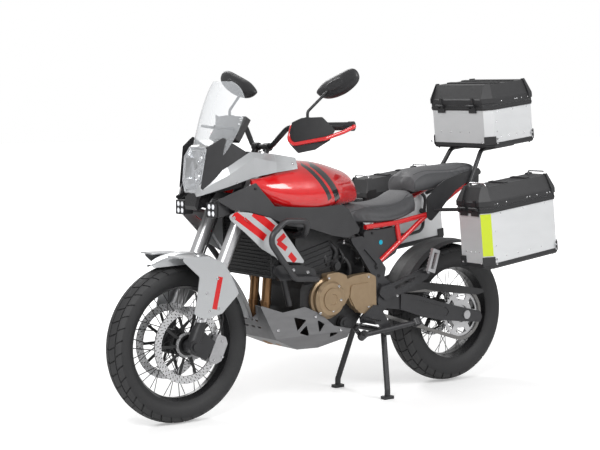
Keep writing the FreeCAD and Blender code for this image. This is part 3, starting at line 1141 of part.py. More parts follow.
def crash_bars():
    """Tube hoops outside the radiator, from the engine's side to the frame."""
    start = V(CASE_BACK_X + CASE_LENGTH * 0.92, DOWN_TUBE_Y + FRAME_TUBE_R * 0.85 + FLOAT_GAP,
        CRASH_LOW_Z - CRASH_BAR_R * 2)
    top = V(RADIATOR_X - RADIATOR_THICK * 4, SHROUD_Y + CRASH_BAR_R * 2,
        CRASH_TOP_Z - CRASH_BAR_R * 5)
    points = [start, V(start.x, CRASH_Y * 0.92, CRASH_LOW_Z),
        V(CRASH_FRONT_X - SHROUD_LENGTH * 0.38, CRASH_Y, CRASH_LOW_Z + CRASH_BAR_R),
              V(CRASH_FRONT_X, CRASH_Y, CRASH_TOP_Z - CRASH_BAR_R * 5.5),
              V(CRASH_FRONT_X - CRASH_BAR_R * 7, CRASH_Y, CRASH_TOP_Z),
              V(top.x + CRASH_BAR_R, CRASH_Y, CRASH_TOP_Z - CRASH_BAR_R * 0.5),
              V(top.x, top.y, top.z), V(top.x, SPAR_Y + FRAME_TUBE_R, top.z - CRASH_BAR_R)]
    hoop = bent_rod(points, CRASH_BAR_R, CRASH_BAR_R * 3.6)
    hoop = hoop.cut(PARTS["radiator_shrouds"].Solids[0]).cut(PARTS["cylinders"]).cut(
        PARTS["main_frame"])
    PARTS["crash_bars"] = both(hoop.Solids[0] if len(hoop.Solids) == 1
        else group(*[s for s in hoop.Solids if s.Volume > CRASH_BAR_R ** 3 * 3]))


SKID_BACK_X = 700.0
SKID_LENGTH = 492.0
SKID_LOW_Z = 252.0
SKID_HEIGHT = 222.0
SKID_TOP_Y = 150.0
SKID_LOW_Y = 104.0
SKID_THICK = 4.0


def skid_plate():
    """Folded aluminium pan with slots in its nose and triangles cut from its sides."""
    side_shares = (
        (1.0, 0.991), (0.755, 0.811), (0.516, 0.874), (0.35, 0.712), (0.195, 0.45),
        (0.008, 0.351), (0.008, 0.171), (0.311, 0.018), (0.545, 0.036), (0.827, 0.297))
    points = spread(side_shares, SKID_BACK_X, SKID_LENGTH, SKID_LOW_Z, SKID_HEIGHT)
    pan = plate(points, -SKID_TOP_Y, SKID_TOP_Y, SKID_THICK)
    inner_points = [V(p.x, 0, p.z + SKID_THICK) for p in points]
    middle_x = SKID_BACK_X + SKID_LENGTH / 2
    inner_points = [V(middle_x + (p.x - middle_x) * 0.985 - SKID_THICK * 1.2, 0, p.z)
        for p in inner_points]
    lift = V(0, 0, SKID_HEIGHT * 0.4)
    room = plate(inner_points, -SKID_TOP_Y + SKID_THICK, SKID_TOP_Y - SKID_THICK, SKID_THICK)
    open_top = fused(room, plate([p.add(lift) for p in inner_points], -SKID_TOP_Y + SKID_THICK,
        SKID_TOP_Y - SKID_THICK, SKID_THICK))
    depth = SKID_TOP_Y - SKID_LOW_Y
    wedge = polygon_section([
        V(0, SKID_LOW_Y, SKID_LOW_Z - SKID_THICK),
        V(0, SKID_TOP_Y + SKID_THICK, SKID_LOW_Z - SKID_THICK),
        V(0, SKID_TOP_Y + SKID_THICK, SKID_LOW_Z + depth * 1.7)])
    chine = Part.Face(wedge).extrude(V(WHEELBASE, 0, 0))
    inner_chine = chine.translated(V(0, -SKID_THICK * 1.5, SKID_THICK * 0.6))
    open_top = open_top.cut(inner_chine).cut(flipped(inner_chine))
    pan = pan.cut(chine).cut(flipped(chine)).cut(open_top).cut(wheel_room())
    windows = []
    for shares in (((0.5, 0.62), (0.64, 0.7), (0.6, 0.42)),
            ((0.5, 0.52), (0.58, 0.38), (0.47, 0.3)), ((0.3, 0.5), (0.38, 0.6), (0.36, 0.34)),
            ((0.12, 0.3), (0.24, 0.32), (0.22, 0.22))):
        windows.append(plate(spread(shares, SKID_BACK_X, SKID_LENGTH, SKID_LOW_Z, SKID_HEIGHT),
            -SKID_TOP_Y - CUT_OVERRUN, SKID_TOP_Y + CUT_OVERRUN, SKID_THICK))
    nose_from = V(SKID_BACK_X + SKID_LENGTH * 0.83, 0, SKID_LOW_Z + SKID_HEIGHT * 0.3)
    nose_to = V(SKID_BACK_X + SKID_LENGTH, 0, SKID_LOW_Z + SKID_HEIGHT)
    for row in (0.3, 0.5, 0.7):
        for column in (-1.5, -0.5, 0.5, 1.5):
            spot = nose_from.add((nose_to - nose_from) * row).add(V(0, column * SKID_LOW_Y * 0.42,
                0))
            windows.append(box((spot.x - SKID_THICK * 6, spot.x + SKID_THICK * 6),
                (spot.y - SKID_THICK * 3, spot.y + SKID_THICK * 3),
                (spot.z - SKID_THICK, spot.z + SKID_THICK)))
    pan = pan.cut(Part.makeCompound(windows))
    for name in ("crankcase", "engine_covers", "exhaust", "main_frame"):
        pan = pan.cut(PARTS[name])
    PARTS["skid_plate"] = largest(pan)


TANK_BACK_X = 596.0
TANK_LENGTH = 636.0
TANK_LOW_Z = 846.0
TANK_HEIGHT = 216.0
TANK_HALF_WIDTH = 196.0
TANK_CAP_R = 44.0


def fuel_tank():
    """Tank lofted through smooth cross-sections, waisted at the rider's knees, with its cap."""
    round_shares = ((0.0, 0.0), (0.55, 0.0), (0.86, 0.08), (1.0, 0.32), (0.97, 0.58), (0.72, 0.88),
        (0.38, 0.99), (0.0, 1.0))
    stations = ((0.0, 0.3, 0.14, 0.30), (0.06, 0.47, 0.1, 0.66), (0.2, 0.72, 0.08, 0.83),
        (0.4, 0.98, 0.03, 0.97), (0.62, 1.0, 0.0, 1.0), (0.84, 0.96, 0.16, 0.92),
        (0.96, 0.86, 0.4, 0.8), (1.0, 0.8, 0.5, 0.75))
    wires = []
    for x_share, width_share, low_share, high_share in stations:
        x = TANK_BACK_X + TANK_LENGTH * x_share
        wires.append(section(x, TANK_HALF_WIDTH * width_share, TANK_LOW_Z + TANK_HEIGHT * low_share,
            TANK_LOW_Z + TANK_HEIGHT * high_share, round_shares))
    body = Part.makeLoft(wires, True, False)
    cap_x = TANK_BACK_X + TANK_LENGTH * 0.62
    cap = cyl(V(cap_x, 0, TANK_LOW_Z + TANK_HEIGHT * 0.9),
        V(cap_x, 0, TANK_LOW_Z + TANK_HEIGHT + TANK_CAP_R * 0.16), TANK_CAP_R)
    PARTS["fuel_tank"] = largest(fused(body, cap).cut(steering_room()).cut(PARTS["main_frame"]))


PANEL_BACK_X = 663.0
PANEL_LENGTH = 747.0
PANEL_LOW_Z = 729.0
PANEL_HEIGHT = 254.0
PANEL_Y = 186.0
PANEL_THICK = 6.0


def side_panels():
    """Dark panels below the tank, from the nose to the seat."""
    shares = (
        (1.0, 0.74), (0.881, 0.886), (0.767, 1.0), (0.734, 0.886), (0.644, 0.61),
        (0.47, 0.57), (0.317, 0.55), (0.143, 0.57), (0.091, 0.48), (0.0, 0.138),
        (0.007, 0.071), (0.104, 0.0), (0.216, 0.055), (0.398, 0.217), (0.539, 0.272),
        (0.679, 0.437), (0.815, 0.551), (0.908, 0.579))
    points = spread(shares, PANEL_BACK_X, PANEL_LENGTH, PANEL_LOW_Z, PANEL_HEIGHT)
    plan = [(PANEL_BACK_X - PANEL_THICK, PANEL_Y * 0.86),
        (PANEL_BACK_X + PANEL_LENGTH * 0.25, PANEL_Y * 0.96),
        (PANEL_BACK_X + PANEL_LENGTH * 0.6, PANEL_Y * 1.02),
        (PANEL_BACK_X + PANEL_LENGTH * 0.86, PANEL_Y * 0.95),
        (PANEL_BACK_X + PANEL_LENGTH + PANEL_THICK, PANEL_Y * 0.82)]
    panel = curved_panel(points, PANEL_THICK, plan, PANEL_THICK)
    tab = box((PANEL_BACK_X + PANEL_LENGTH * 0.3, PANEL_BACK_X + PANEL_LENGTH * 0.34),
        (SPAR_Y + FRAME_TUBE_R + FLOAT_GAP, PANEL_Y - PANEL_THICK / 2),
        (SPAR_Z - FRAME_TUBE_R / 2, SPAR_Z + FRAME_TUBE_R / 2))
    panel = fused(panel, tab).cut(PARTS["fuel_tank"]).cut(PARTS["radiator_shrouds"]).cut(
        PARTS["main_frame"])
    PARTS["side_panels"] = both(largest(panel))


NOSE_BACK_X = 1010.0
NOSE_LENGTH = 438.0
NOSE_LOW_Z = 930.0
NOSE_HEIGHT = 178.0
NOSE_Y = 172.0
NOSE_THICK = 5.0


def nose_panels():
    """Silver panels with a ridge between a top band and a hollowed side, from the lamp over the tank."""
    stations = (
        (1.0, (0.3, 0.1), (0.37, 0.05), (0.38, 0.0)),
        (0.97, (0.36, 0.25), (0.46, 0.14), (0.45, 0.02)),
        (0.74, (0.7, 0.66), (0.8, 0.5), (0.77, 0.22)),
        (0.5, (0.77, 1.0), (0.94, 0.87), (0.93, 0.42)),
        (0.26, (0.92, 0.94), (1.0, 0.76), (1.01, 0.52)),
        (0.0, (0.9, 0.84), (0.96, 0.68), (0.98, 0.58)))
    wires = []
    for x_share, *shares in stations:
        outer = [V(NOSE_BACK_X + NOSE_LENGTH * x_share, NOSE_Y * sy, NOSE_LOW_Z + NOSE_HEIGHT * sz)
            for sy, sz in shares]
        top, ridge, foot = outer
        inner = [foot.add(V(0, -NOSE_THICK, 0)), ridge.add(V(0, -NOSE_THICK, -NOSE_THICK)),
            top.add(V(0, 0, -NOSE_THICK))]
        wires.append(polygon_section(outer + inner))
    panel = Part.makeLoft(wires, True, True)
    panel = panel.cut(PARTS["fuel_tank"]).cut(PARTS["side_panels"]).cut(steering_room())
    PARTS["nose_panels"] = both(largest(panel))


LAMP_LOW_Z = 872.0
LAMP_HEIGHT = 266.0
LAMP_FACE_X = 1440.0
LAMP_DEPTH = 104.0
LAMP_HALF_WIDTH = 92.0
LAMP_RAKE = 44.0
LAMP_WELL = 30.0
LAMP_BOWL_R = 32.0


def lamp_layer(depth, scale, shares):
    """Outline of the lamp at a depth behind its raked face, shrunk towards its middle."""
    points = []
    for sy, sz in list(shares) + [(-y, z) for y, z in reversed(shares) if y > 0]:
        height = (sz - 0.62) * scale + 0.62
        points.append(V(LAMP_FACE_X - depth - LAMP_RAKE * height, LAMP_HALF_WIDTH * sy * scale,
            LAMP_LOW_Z + LAMP_HEIGHT * height))
    return polygon_section(points)


def headlight():
    """Tall six-sided lamp with a raked face, an open well with two reflector bowls, and its chin."""
    shares = ((0.0, 1.0), (0.66, 0.985), (1.0, 0.82), (0.86, 0.42), (0.52, 0.18), (0.46, 0.0))
    layers = ((0.0, 0.9), (LAMP_DEPTH * 0.1, 1.0), (LAMP_DEPTH * 0.6, 0.88), (LAMP_DEPTH, 0.6))
    body = Part.makeLoft([lamp_layer(depth, scale, shares) for depth, scale in layers], True, True)
    well_shares = ((0.0, 0.96), (0.56, 0.95), (0.86, 0.8), (0.72, 0.44), (0.44, 0.3), (0.0, 0.3))
    well = Part.makeLoft([lamp_layer(-LAMP_WELL, 1.1, well_shares),
        lamp_layer(LAMP_WELL, 0.84, well_shares)], True, True)
    bowls = []
    for share, size in ((0.5, 1.0), (0.78, 0.9)):
        at = V(LAMP_FACE_X - LAMP_RAKE * share - LAMP_WELL * 1.4, 0,
            LAMP_LOW_Z + LAMP_HEIGHT * share)
        radius = LAMP_BOWL_R * size
        cup = cyl(at, at.add(V(LAMP_WELL * 0.8, 0, 0)), radius)
        bowls.append(cup.cut(cyl(at.add(V(LAMP_WELL * 0.5, 0, 0)), at.add(V(LAMP_WELL, 0, 0)),
            radius * 0.84)))
        bowls.append(Part.makeSphere(radius * 0.6, at.add(V(LAMP_WELL * 0.4, 0, 0))))
    PARTS["headlight"] = largest(fused(body.cut(well), *bowls).cut(PARTS["nose_panels"]))


SCREEN_LOW_Z = 1030.0
SCREEN_HEIGHT = 366.0
SCREEN_LOW_X = 1416.0
SCREEN_BACK_RUN = 124.0
SCREEN_HALF_WIDTH = 150.0
SCREEN_SWEEP = 62.0
SCREEN_THICK = 4.0


def windscreen():
    """Clear screen lofted through shallow arcs that lean back and narrow to the top."""
    wires = []
    for height, width_share, sweep_share in ((0.0, 0.5, 0.5), (0.3, 0.86, 0.85), (0.62, 1.0, 1.0),
            (0.86, 0.84, 0.8), (1.0, 0.42, 0.3)):
        z = SCREEN_LOW_Z + SCREEN_HEIGHT * height
        x = SCREEN_LOW_X - SCREEN_BACK_RUN * height
        half = SCREEN_HALF_WIDTH * width_share
        sweep = SCREEN_SWEEP * sweep_share
        front = Part.Arc(V(x - sweep, -half, z), V(x, 0, z), V(x - sweep, half, z)).toShape()
        back = Part.Arc(V(x - sweep - SCREEN_THICK, -half, z), V(x - SCREEN_THICK, 0, z),
            V(x - sweep - SCREEN_THICK, half, z)).toShape()
        caps = [Part.LineSegment(V(x - sweep, s * half, z),
            V(x - sweep - SCREEN_THICK, s * half, z)).toShape() for s in (-1, 1)]
        wires.append(Part.Wire(Part.__sortEdges__([front, back] + caps)))
    screen = Part.makeLoft(wires, True, False)
    PARTS["windscreen"] = largest(screen.cut(PARTS["headlight"]).cut(PARTS["nose_panels"]))


DASH_WIDTH = 190.0
DASH_HEIGHT = 112.0
DASH_THICK = 26.0
DASH_CENTRE = V(1236.0, 0, 1198.0)
DASH_LEAN_DEG = 32.0
MAST_R = 8.0
COWL_BACK_X = 1238.0
COWL_LENGTH = 200.0
COWL_LOW_Z = 946.0
COWL_HEIGHT = 222.0
COWL_Y = 126.0
COWL_THICK = 5.0


def cockpit():
    """Display in its housing, on the bracket that also carries the screen and the lamp."""
    housing = box((-DASH_THICK / 2, DASH_THICK / 2), (-DASH_WIDTH / 2, DASH_WIDTH / 2),
        (-DASH_HEIGHT / 2, DASH_HEIGHT / 2))
    housing = housing.makeFillet(DASH_THICK / 4, [e for e in housing.Edges
        if abs(e.Length - DASH_THICK) < 1])
    glass = box((-DASH_THICK / 2 - FLOAT_GAP, -DASH_THICK / 2 + DASH_THICK / 8),
        (-DASH_WIDTH * 0.44, DASH_WIDTH * 0.44), (-DASH_HEIGHT * 0.4, DASH_HEIGHT * 0.4))
    housing = turned(housing.cut(glass), V(0, 0, 0), V(0, 1, 0),
        -DASH_LEAN_DEG).translated(DASH_CENTRE)
    neck = on_fork(-FORK_OFFSET + HEAD_TUBE_R * 0.8, 0, HEAD_TUBE_HIGH_S - HEAD_TUBE_R * 2)
    lamp_back = LAMP_FACE_X - LAMP_DEPTH
    mast = [box((lamp_back - LAMP_RAKE * 0.3, lamp_back),
        (-LAMP_HALF_WIDTH / 2, LAMP_HALF_WIDTH / 2), (neck.z - DASH_THICK, neck.z + DASH_THICK))]
    for side in (-1, 1):
        y = side * DASH_WIDTH * 0.1
        high_y = side * DASH_WIDTH * 0.24
        mast.append(cyl(V(neck.x, y, neck.z), V(lamp_back, y, neck.z), MAST_R))
        mast.append(bent_rod([
            V(lamp_back - MAST_R * 0.6, y, neck.z),
            V(lamp_back - LAMP_RAKE, high_y, neck.z + DASH_HEIGHT * 1.1),
            DASH_CENTRE.add(V(0, high_y, 0))], MAST_R, MAST_R * 3))
        screen_x = SCREEN_LOW_X - SCREEN_BACK_RUN * 0.5 - SCREEN_SWEEP * 0.1
        mast.append(cyl(V(DASH_CENTRE.x, high_y, DASH_CENTRE.z),
            V(screen_x, high_y, SCREEN_LOW_Z + SCREEN_HEIGHT * 0.5), MAST_R * 0.7))
    cockpit_set = largest(fused(housing, *mast).cut(PARTS["main_frame"]).cut(PARTS["windscreen"]))
    shares = ((1.0, 0.0), (0.86, 0.83), (0.55, 1.0), (0.0, 0.72), (0.42, 0.34))
    points = spread(shares, COWL_BACK_X, COWL_LENGTH, COWL_LOW_Z, COWL_HEIGHT)
    plan = [(COWL_BACK_X - CUT_OVERRUN, COWL_Y), (COWL_BACK_X + COWL_LENGTH * 0.5, COWL_Y * 0.9),
        (COWL_BACK_X + COWL_LENGTH + CUT_OVERRUN, COWL_Y * 0.6)]
    cheek = curved_panel(points, COWL_THICK * 2, plan, COWL_THICK)
    cheek = cheek.cut(steering_room())
    for name in ("nose_panels", "side_panels", "windscreen", "headlight"):
        cheek = cheek.cut(PARTS[name])
    PARTS["cockpit"] = group(cockpit_set, both(largest(cheek).cut(cockpit_set)))
    PARTS["headlight"] = PARTS["headlight"].cut(PARTS["cockpit"])


FOG_Y = 112.0
FOG_X = 1412.0
FOG_Z = 876.0
FOG_SIZE = 60.0
FOG_DEPTH = 46.0


def fog_lamps():
    """Square lamp blocks with four lens wells each, a pillar beside each, on arms to the side panels."""
    half = FOG_SIZE / 2
    body = box((FOG_X - FOG_DEPTH, FOG_X), (FOG_Y - half, FOG_Y + half),
        (FOG_Z - half, FOG_Z + half))
    body = body.makeFillet(FOG_SIZE / 10, [e for e in body.Edges if abs(e.Length - FOG_DEPTH) < 1])
    wells = [cyl(V(FOG_X - FOG_DEPTH / 8, FOG_Y + sy * half * 0.46, FOG_Z + sz * half * 0.46),
        V(FOG_X + CUT_OVERRUN, FOG_Y + sy * half * 0.46, FOG_Z + sz * half * 0.46), half * 0.4)
        for sy in (-1, 1) for sz in (-1, 1)]
    ear = plate([V(FOG_X - FOG_DEPTH * sx, 0, FOG_Z + half * sz)
        for sx, sz in ((0.3, -1.0), (0.3, 0.8), (1.0, 1.5), (1.5, 1.3), (1.5, -0.6))],
        FOG_Y + half - SHROUD_THICK / 2, FOG_Y + half + SHROUD_THICK, SHROUD_THICK)
    arm = bent_rod([V(FOG_X - FOG_DEPTH * 0.8, FOG_Y, FOG_Z),
        V(FOG_X - FOG_DEPTH * 1.3, FOG_Y + half, FOG_Z + half * 0.4),
        V(FOG_X - FOG_DEPTH * 2, PANEL_Y, FOG_Z + half * 0.8)], SUBFRAME_TUBE_R * 0.7,
        SUBFRAME_TUBE_R)
    lamp = fused(body.cut(Part.makeCompound(wells)), ear, arm)
    for name in ("side_panels", "nose_panels", "headlight"):
        lamp = lamp.cut(PARTS[name])
    PARTS["fog_lamps"] = both(largest(lamp))


SEAT_BACK_X = 288.0
SEAT_LENGTH = 396.0
SEAT_LOW_Z = 779.0
SEAT_HEIGHT = 108.0
SEAT_HALF_WIDTH = 146.0
PILLION_BACK_X = -136.0
PILLION_LENGTH = 418.0
PILLION_LOW_Z = 900.0
PILLION_HEIGHT = 112.0
PILLION_HALF_WIDTH = 112.0


def seats():
    """Rider's and passenger's cushions: lofted pads that rise in a step between them."""
    pad_shares = ((0.0, 0.0), (0.6, 0.0), (0.94, 0.06), (1.0, 0.3), (0.9, 0.72), (0.62, 0.94),
        (0.3, 1.0), (0.0, 1.0))
    rider = []
    for x_share, width_share, low_share, high_share in ((0.0, 0.78, 0.3, 1.3),
            (0.12, 0.92, 0.24, 0.98), (0.35, 1.0, 0.04, 0.76), (0.62, 0.98, 0.0, 0.72),
            (0.85, 0.72, 0.02, 0.78), (1.0, 0.42, 0.2, 0.84)):
        rider.append(section(SEAT_BACK_X + SEAT_LENGTH * x_share, SEAT_HALF_WIDTH * width_share,
            SEAT_LOW_Z + SEAT_HEIGHT * low_share, SEAT_LOW_Z + SEAT_HEIGHT * high_share,
            pad_shares))
    pad = Part.makeLoft(rider, True, False)
    PARTS["rider_seat"] = pad.cut(PARTS["fuel_tank"]).cut(PARTS["side_panels"]).cut(
        PARTS["subframe"])
    pillion = []
    for x_share, width_share, low_share, high_share in ((0.0, 0.6, 0.6, 1.02),
            (0.1, 0.86, 0.46, 1.06), (0.5, 1.0, 0.2, 0.98), (0.85, 0.98, 0.04, 0.9),
            (1.0, 0.86, 0.0, 0.66)):
        pillion.append(section(PILLION_BACK_X + PILLION_LENGTH * x_share,
            PILLION_HALF_WIDTH * width_share, PILLION_LOW_Z + PILLION_HEIGHT * low_share,
            PILLION_LOW_Z + PILLION_HEIGHT * high_share, pad_shares))
    back = Part.makeLoft(pillion, True, False)
    PARTS["passenger_seat"] = back.cut(PARTS["rider_seat"]).cut(PARTS["subframe"])


SIDE_COVER_Y = 124.0
SIDE_COVER_THICK = 6.0
SIDE_COVER_BACK_X = 396.0
SIDE_COVER_LENGTH = 220.0
SIDE_COVER_LOW_Z = 560.0
SIDE_COVER_HEIGHT = 200.0
BADGE_R = 11.0


def side_covers():
    """Dark covers inside the trellis, each with a shallow panel line and a small round boss."""
    shares = (
        (0.982, 0.94), (0.414, 0.95), (0.073, 1.0), (0.027, 0.6), (0.109, 0.4),
        (0.473, 0.2), (0.655, 0.03), (0.745, 0.2), (0.927, 0.65))
    points = spread(shares, SIDE_COVER_BACK_X, SIDE_COVER_LENGTH, SIDE_COVER_LOW_Z,
        SIDE_COVER_HEIGHT)
    cover = plate(points, SIDE_COVER_Y - SIDE_COVER_THICK * 5, SIDE_COVER_Y, SIDE_COVER_THICK * 3)
    boss_at = V(SIDE_COVER_BACK_X + SIDE_COVER_LENGTH * 0.52, SIDE_COVER_Y - SIDE_COVER_THICK,
        SIDE_COVER_LOW_Z + SIDE_COVER_HEIGHT * 0.66)
    boss = cyl(boss_at, boss_at.add(V(0, SIDE_COVER_THICK * 1.3, 0)), BADGE_R)
    cover = fused(cover, boss)
    for name in ("subframe", "main_frame", "rider_seat"):
        cover = cover.cut(PARTS[name])
    PARTS["side_covers"] = both(largest(cover))


TAIL_BACK_X = -150.0
TAIL_LENGTH = 410.0
TAIL_LOW_Z = 760.0
TAIL_HEIGHT = 245.0
TAIL_Y = 118.0
TAIL_THICK = 6.0
TAIL_LAMP_WIDTH = 120.0
TAIL_LAMP_HEIGHT = 44.0
TAIL_LAMP_DEPTH = 40.0
PLATE_WIDTH = 180.0
PLATE_TALL = 120.0
PLATE_THICK = 3.0


def tail():
    """Side skins below the passenger's seat, the tail lamp, and the number plate's arm."""
    shares = (
        (0.978, 0.49), (0.905, 0.571), (0.802, 0.71), (0.695, 0.796), (0.376, 0.918),
        (0.073, 0.98), (0.0, 0.878), (0.22, 0.776), (0.512, 0.592), (0.659, 0.408),
        (0.829, 0.163), (0.917, 0.049), (0.978, 0.122))
    points = spread(shares, TAIL_BACK_X, TAIL_LENGTH, TAIL_LOW_Z, TAIL_HEIGHT)
    plan = [(TAIL_BACK_X - TAIL_THICK, TAIL_Y * 0.72),
        (TAIL_BACK_X + TAIL_LENGTH * 0.5, TAIL_Y * 1.1),
        (TAIL_BACK_X + TAIL_LENGTH + TAIL_THICK, TAIL_Y * 1.24)]
    skin = curved_panel(points, TAIL_THICK * 2, plan, TAIL_THICK)
    for name in ("passenger_seat", "rider_seat", "subframe"):
        skin = skin.cut(PARTS[name])
    skins = both(largest(skin))
    lamp_x = SUB_END_X - SUBFRAME_TUBE_R
    lamp_z = SUB_END_Z
    lamp = box((lamp_x - TAIL_LAMP_DEPTH * 2, lamp_x), (-TAIL_LAMP_WIDTH / 2, TAIL_LAMP_WIDTH / 2),
        (lamp_z - TAIL_LAMP_HEIGHT / 2, lamp_z + TAIL_LAMP_HEIGHT / 2))
    lamp = lamp.makeFillet(TAIL_LAMP_HEIGHT / 5, lamp.Edges)
    arm = bent_rod([V(lamp_x - TAIL_LAMP_DEPTH, 0, lamp_z),
        V(lamp_x - TAIL_LAMP_DEPTH * 1.6, 0, lamp_z - TAIL_LAMP_HEIGHT * 2),
        V(lamp_x - TAIL_LAMP_DEPTH * 5, 0, lamp_z - TAIL_LAMP_HEIGHT * 5.6)], SUBFRAME_TUBE_R * 1.2,
        TAIL_LAMP_DEPTH)
    foot = V(lamp_x - TAIL_LAMP_DEPTH * 5, 0, lamp_z - TAIL_LAMP_HEIGHT * 5.6)
    number = box((foot.x - PLATE_THICK, foot.x + PLATE_THICK), (-PLATE_WIDTH / 2, PLATE_WIDTH / 2),
        (foot.z - PLATE_TALL * 0.7, foot.z + PLATE_TALL * 0.3))
    bar = cyl(foot.add(V(PLATE_THICK * 3, -PLATE_WIDTH * 0.72, PLATE_TALL * 0.2)),
        foot.add(V(PLATE_THICK * 3, PLATE_WIDTH * 0.72, PLATE_TALL * 0.2)), PLATE_THICK * 2)
    winkers = [cyl(foot.add(V(PLATE_THICK * 8, s * PLATE_WIDTH * 0.72, PLATE_TALL * 0.2)),
        foot.add(V(-PLATE_THICK * 4, s * PLATE_WIDTH * 0.72, PLATE_TALL * 0.2)), PLATE_THICK * 5)
        for s in (-1, 1)]
    rear = fused(lamp, arm, number, bar, *winkers).cut(PARTS["subframe"]).cut(
        PARTS["passenger_seat"])
    PARTS["tail"] = group(skins.cut(PARTS["passenger_seat"]), largest(rear).cut(skins))


RACK_Y = 120.0
RACK_PLATE_THICK = 10.0
RACK_BEND = 40.0
LOOP_Y = 284.0
LOOP_FRONT_X = 150.0
LOOP_BACK_X = -140.0
LOOP_TOP_Z = 830.0
LOOP_LOW_Z = 640.0


def case_frame(shape):
    """Tilts a shape built level to the luggage's slope, about the rear rack's front edge."""
    return turned(shape, V(TOP_CASE_FRONT_X, 0, TOP_CASE_BASE_Z), V(0, 1, 0), CASE_TILT_DEG)


def pannier_frame(shape):
    """Tilts a shape built level to the slope of the side cases."""
    return turned(shape, V(PANNIER_FRONT_X, 0, PANNIER_BASE_Z), V(0, 1, 0), CASE_TILT_DEG)


def luggage_rack():
    """Rear tube rack with its case plate, and side hoops for the panniers."""
    r = RACK_TUBE_R
    low = TOP_CASE_BASE_Z - FLOAT_GAP
    back_x = TOP_CASE_FRONT_X - TOP_CASE_LENGTH * 0.84
    top_plate = box((back_x, TOP_CASE_FRONT_X - TOP_CASE_LENGTH * 0.12), (-RACK_Y, RACK_Y),
        (low - RACK_PLATE_THICK, low))
    top_plate = top_plate.makeFillet(RACK_BEND / 2,
        [e for e in top_plate.Edges if abs(e.Length - RACK_PLATE_THICK) < 1])
    window = box((back_x + RACK_BEND, TOP_CASE_FRONT_X - TOP_CASE_LENGTH * 0.3),
        (-RACK_Y + RACK_BEND, RACK_Y - RACK_BEND),
        (low - RACK_PLATE_THICK - CUT_OVERRUN, low + CUT_OVERRUN))
    top_plate = case_frame(top_plate.cut(window))
    plane_z = low - RACK_PLATE_THICK - r * 0.6
    tilt = math.tan(math.radians(CASE_TILT_DEG))
    thick = r * 1.3
    knee = V(TOP_CASE_FRONT_X - RACK_BEND, RACK_Y - RACK_BEND / 2,
        plane_z - r * 0.3 + RACK_BEND * tilt)
    far = V(back_x + r * 2, RACK_Y - RACK_BEND / 2,
        plane_z - r * 0.3 + (TOP_CASE_FRONT_X - back_x - r * 2) * tilt)
    root = V(SUB_END_X + RACK_BEND, SUBFRAME_Y * 0.78 + r * 2.6, SUB_END_Z - RACK_BEND * 0.6)
    side_tube = bent_rod([root, knee, far], thick, RACK_BEND)
    hoop = bent_rod([
        V(SUB_TAIL_X - RACK_BEND, SUBFRAME_Y + SUBFRAME_TUBE_R, SUB_TAIL_Z + RACK_BEND * 0.5),
        V(LOOP_FRONT_X, LOOP_Y, LOOP_TOP_Z),
        V(LOOP_BACK_X, LOOP_Y, LOOP_TOP_Z + RACK_BEND),
        V(LOOP_BACK_X + RACK_BEND * 0.6, LOOP_Y, LOOP_LOW_Z + RACK_BEND),
        V(LOOP_FRONT_X, LOOP_Y, LOOP_LOW_Z), V(LOOP_FRONT_X, LOOP_Y, LOOP_TOP_Z - r * 1.5)], r,
        RACK_BEND)
    brace = bent_rod([V(LOOP_BACK_X, LOOP_Y - r / 2, LOOP_TOP_Z + RACK_BEND * 0.8),
        V(SUB_END_X, SUBFRAME_Y * 0.9, SUB_END_Z - RACK_BEND * 1.2),
        V(SUB_END_X + RACK_BEND * 0.6, SUBFRAME_Y * 0.72 + SUBFRAME_TUBE_R,
        SUB_END_Z - RACK_BEND * 0.4)], r, RACK_BEND / 2)
    pucks = [cyl(V(x, LOOP_Y, z), V(x, PANNIER_INNER_Y - FLOAT_GAP, z), r * 1.6) for x, z in (
        (LOOP_FRONT_X, LOOP_TOP_Z - RACK_BEND * 1.6),
        (LOOP_BACK_X + RACK_BEND * 0.3, LOOP_TOP_Z - RACK_BEND * 1.4),
        ((LOOP_FRONT_X + LOOP_BACK_X) / 2, LOOP_LOW_Z + RACK_BEND * 0.5))]
    side = fused(hoop, brace, *pucks)
    whole = fused(top_plate, side_tube, flipped(side_tube), side, flipped(side))
    for name in ("subframe", "tail", "passenger_seat"):
        whole = whole.cut(PARTS[name])
    PARTS["luggage_rack"] = group(*[s for s in whole.Solids if s.Volume > RACK_TUBE_R ** 3 * 8])


def case_outline(length, width, inner_chamfer, grow, z):
    """Corners of a case seen from above, with its outline moved outwards by a distance."""
    corner_cuts = (inner_chamfer, inner_chamfer, CASE_CHAMFER, CASE_CHAMFER)
    spots = ((-grow, -grow, 1, 1), (length + grow, -grow, -1, 1),
        (length + grow, width + grow, -1, -1), (-grow, width + grow, 1, -1))
    points = []
    for (x, y, dx, dy), cut in zip(spots, corner_cuts):
        cut = max(cut + grow * (2 - math.sqrt(2)), CASE_LIP_GAP)
        pair = [V(x + dx * cut, y, z), V(x, y + dy * cut, z)]
        if (dx * dy) > 0:
            pair.reverse()
        points += pair
    return points


def case_block(length, width, inner_chamfer, layers):
    """Solid between outlines of a case at rising heights, each moved outwards by its own distance."""
    wires = [polygon_section(case_outline(length, width, inner_chamfer, grow, z))
        for grow, z in layers]
    return Part.makeLoft(wires, True, True)


def case_shell(length, width, height, inner_chamfer):
    """Open aluminium box, corners cut off, one wall thickness, floor at z = 0."""
    outer = case_block(length, width, inner_chamfer, ((0, 0), (0, height)))
    return outer.cut(case_block(length, width, inner_chamfer,
        ((-CASE_WALL, CASE_WALL), (-CASE_WALL, height + CUT_OVERRUN))))


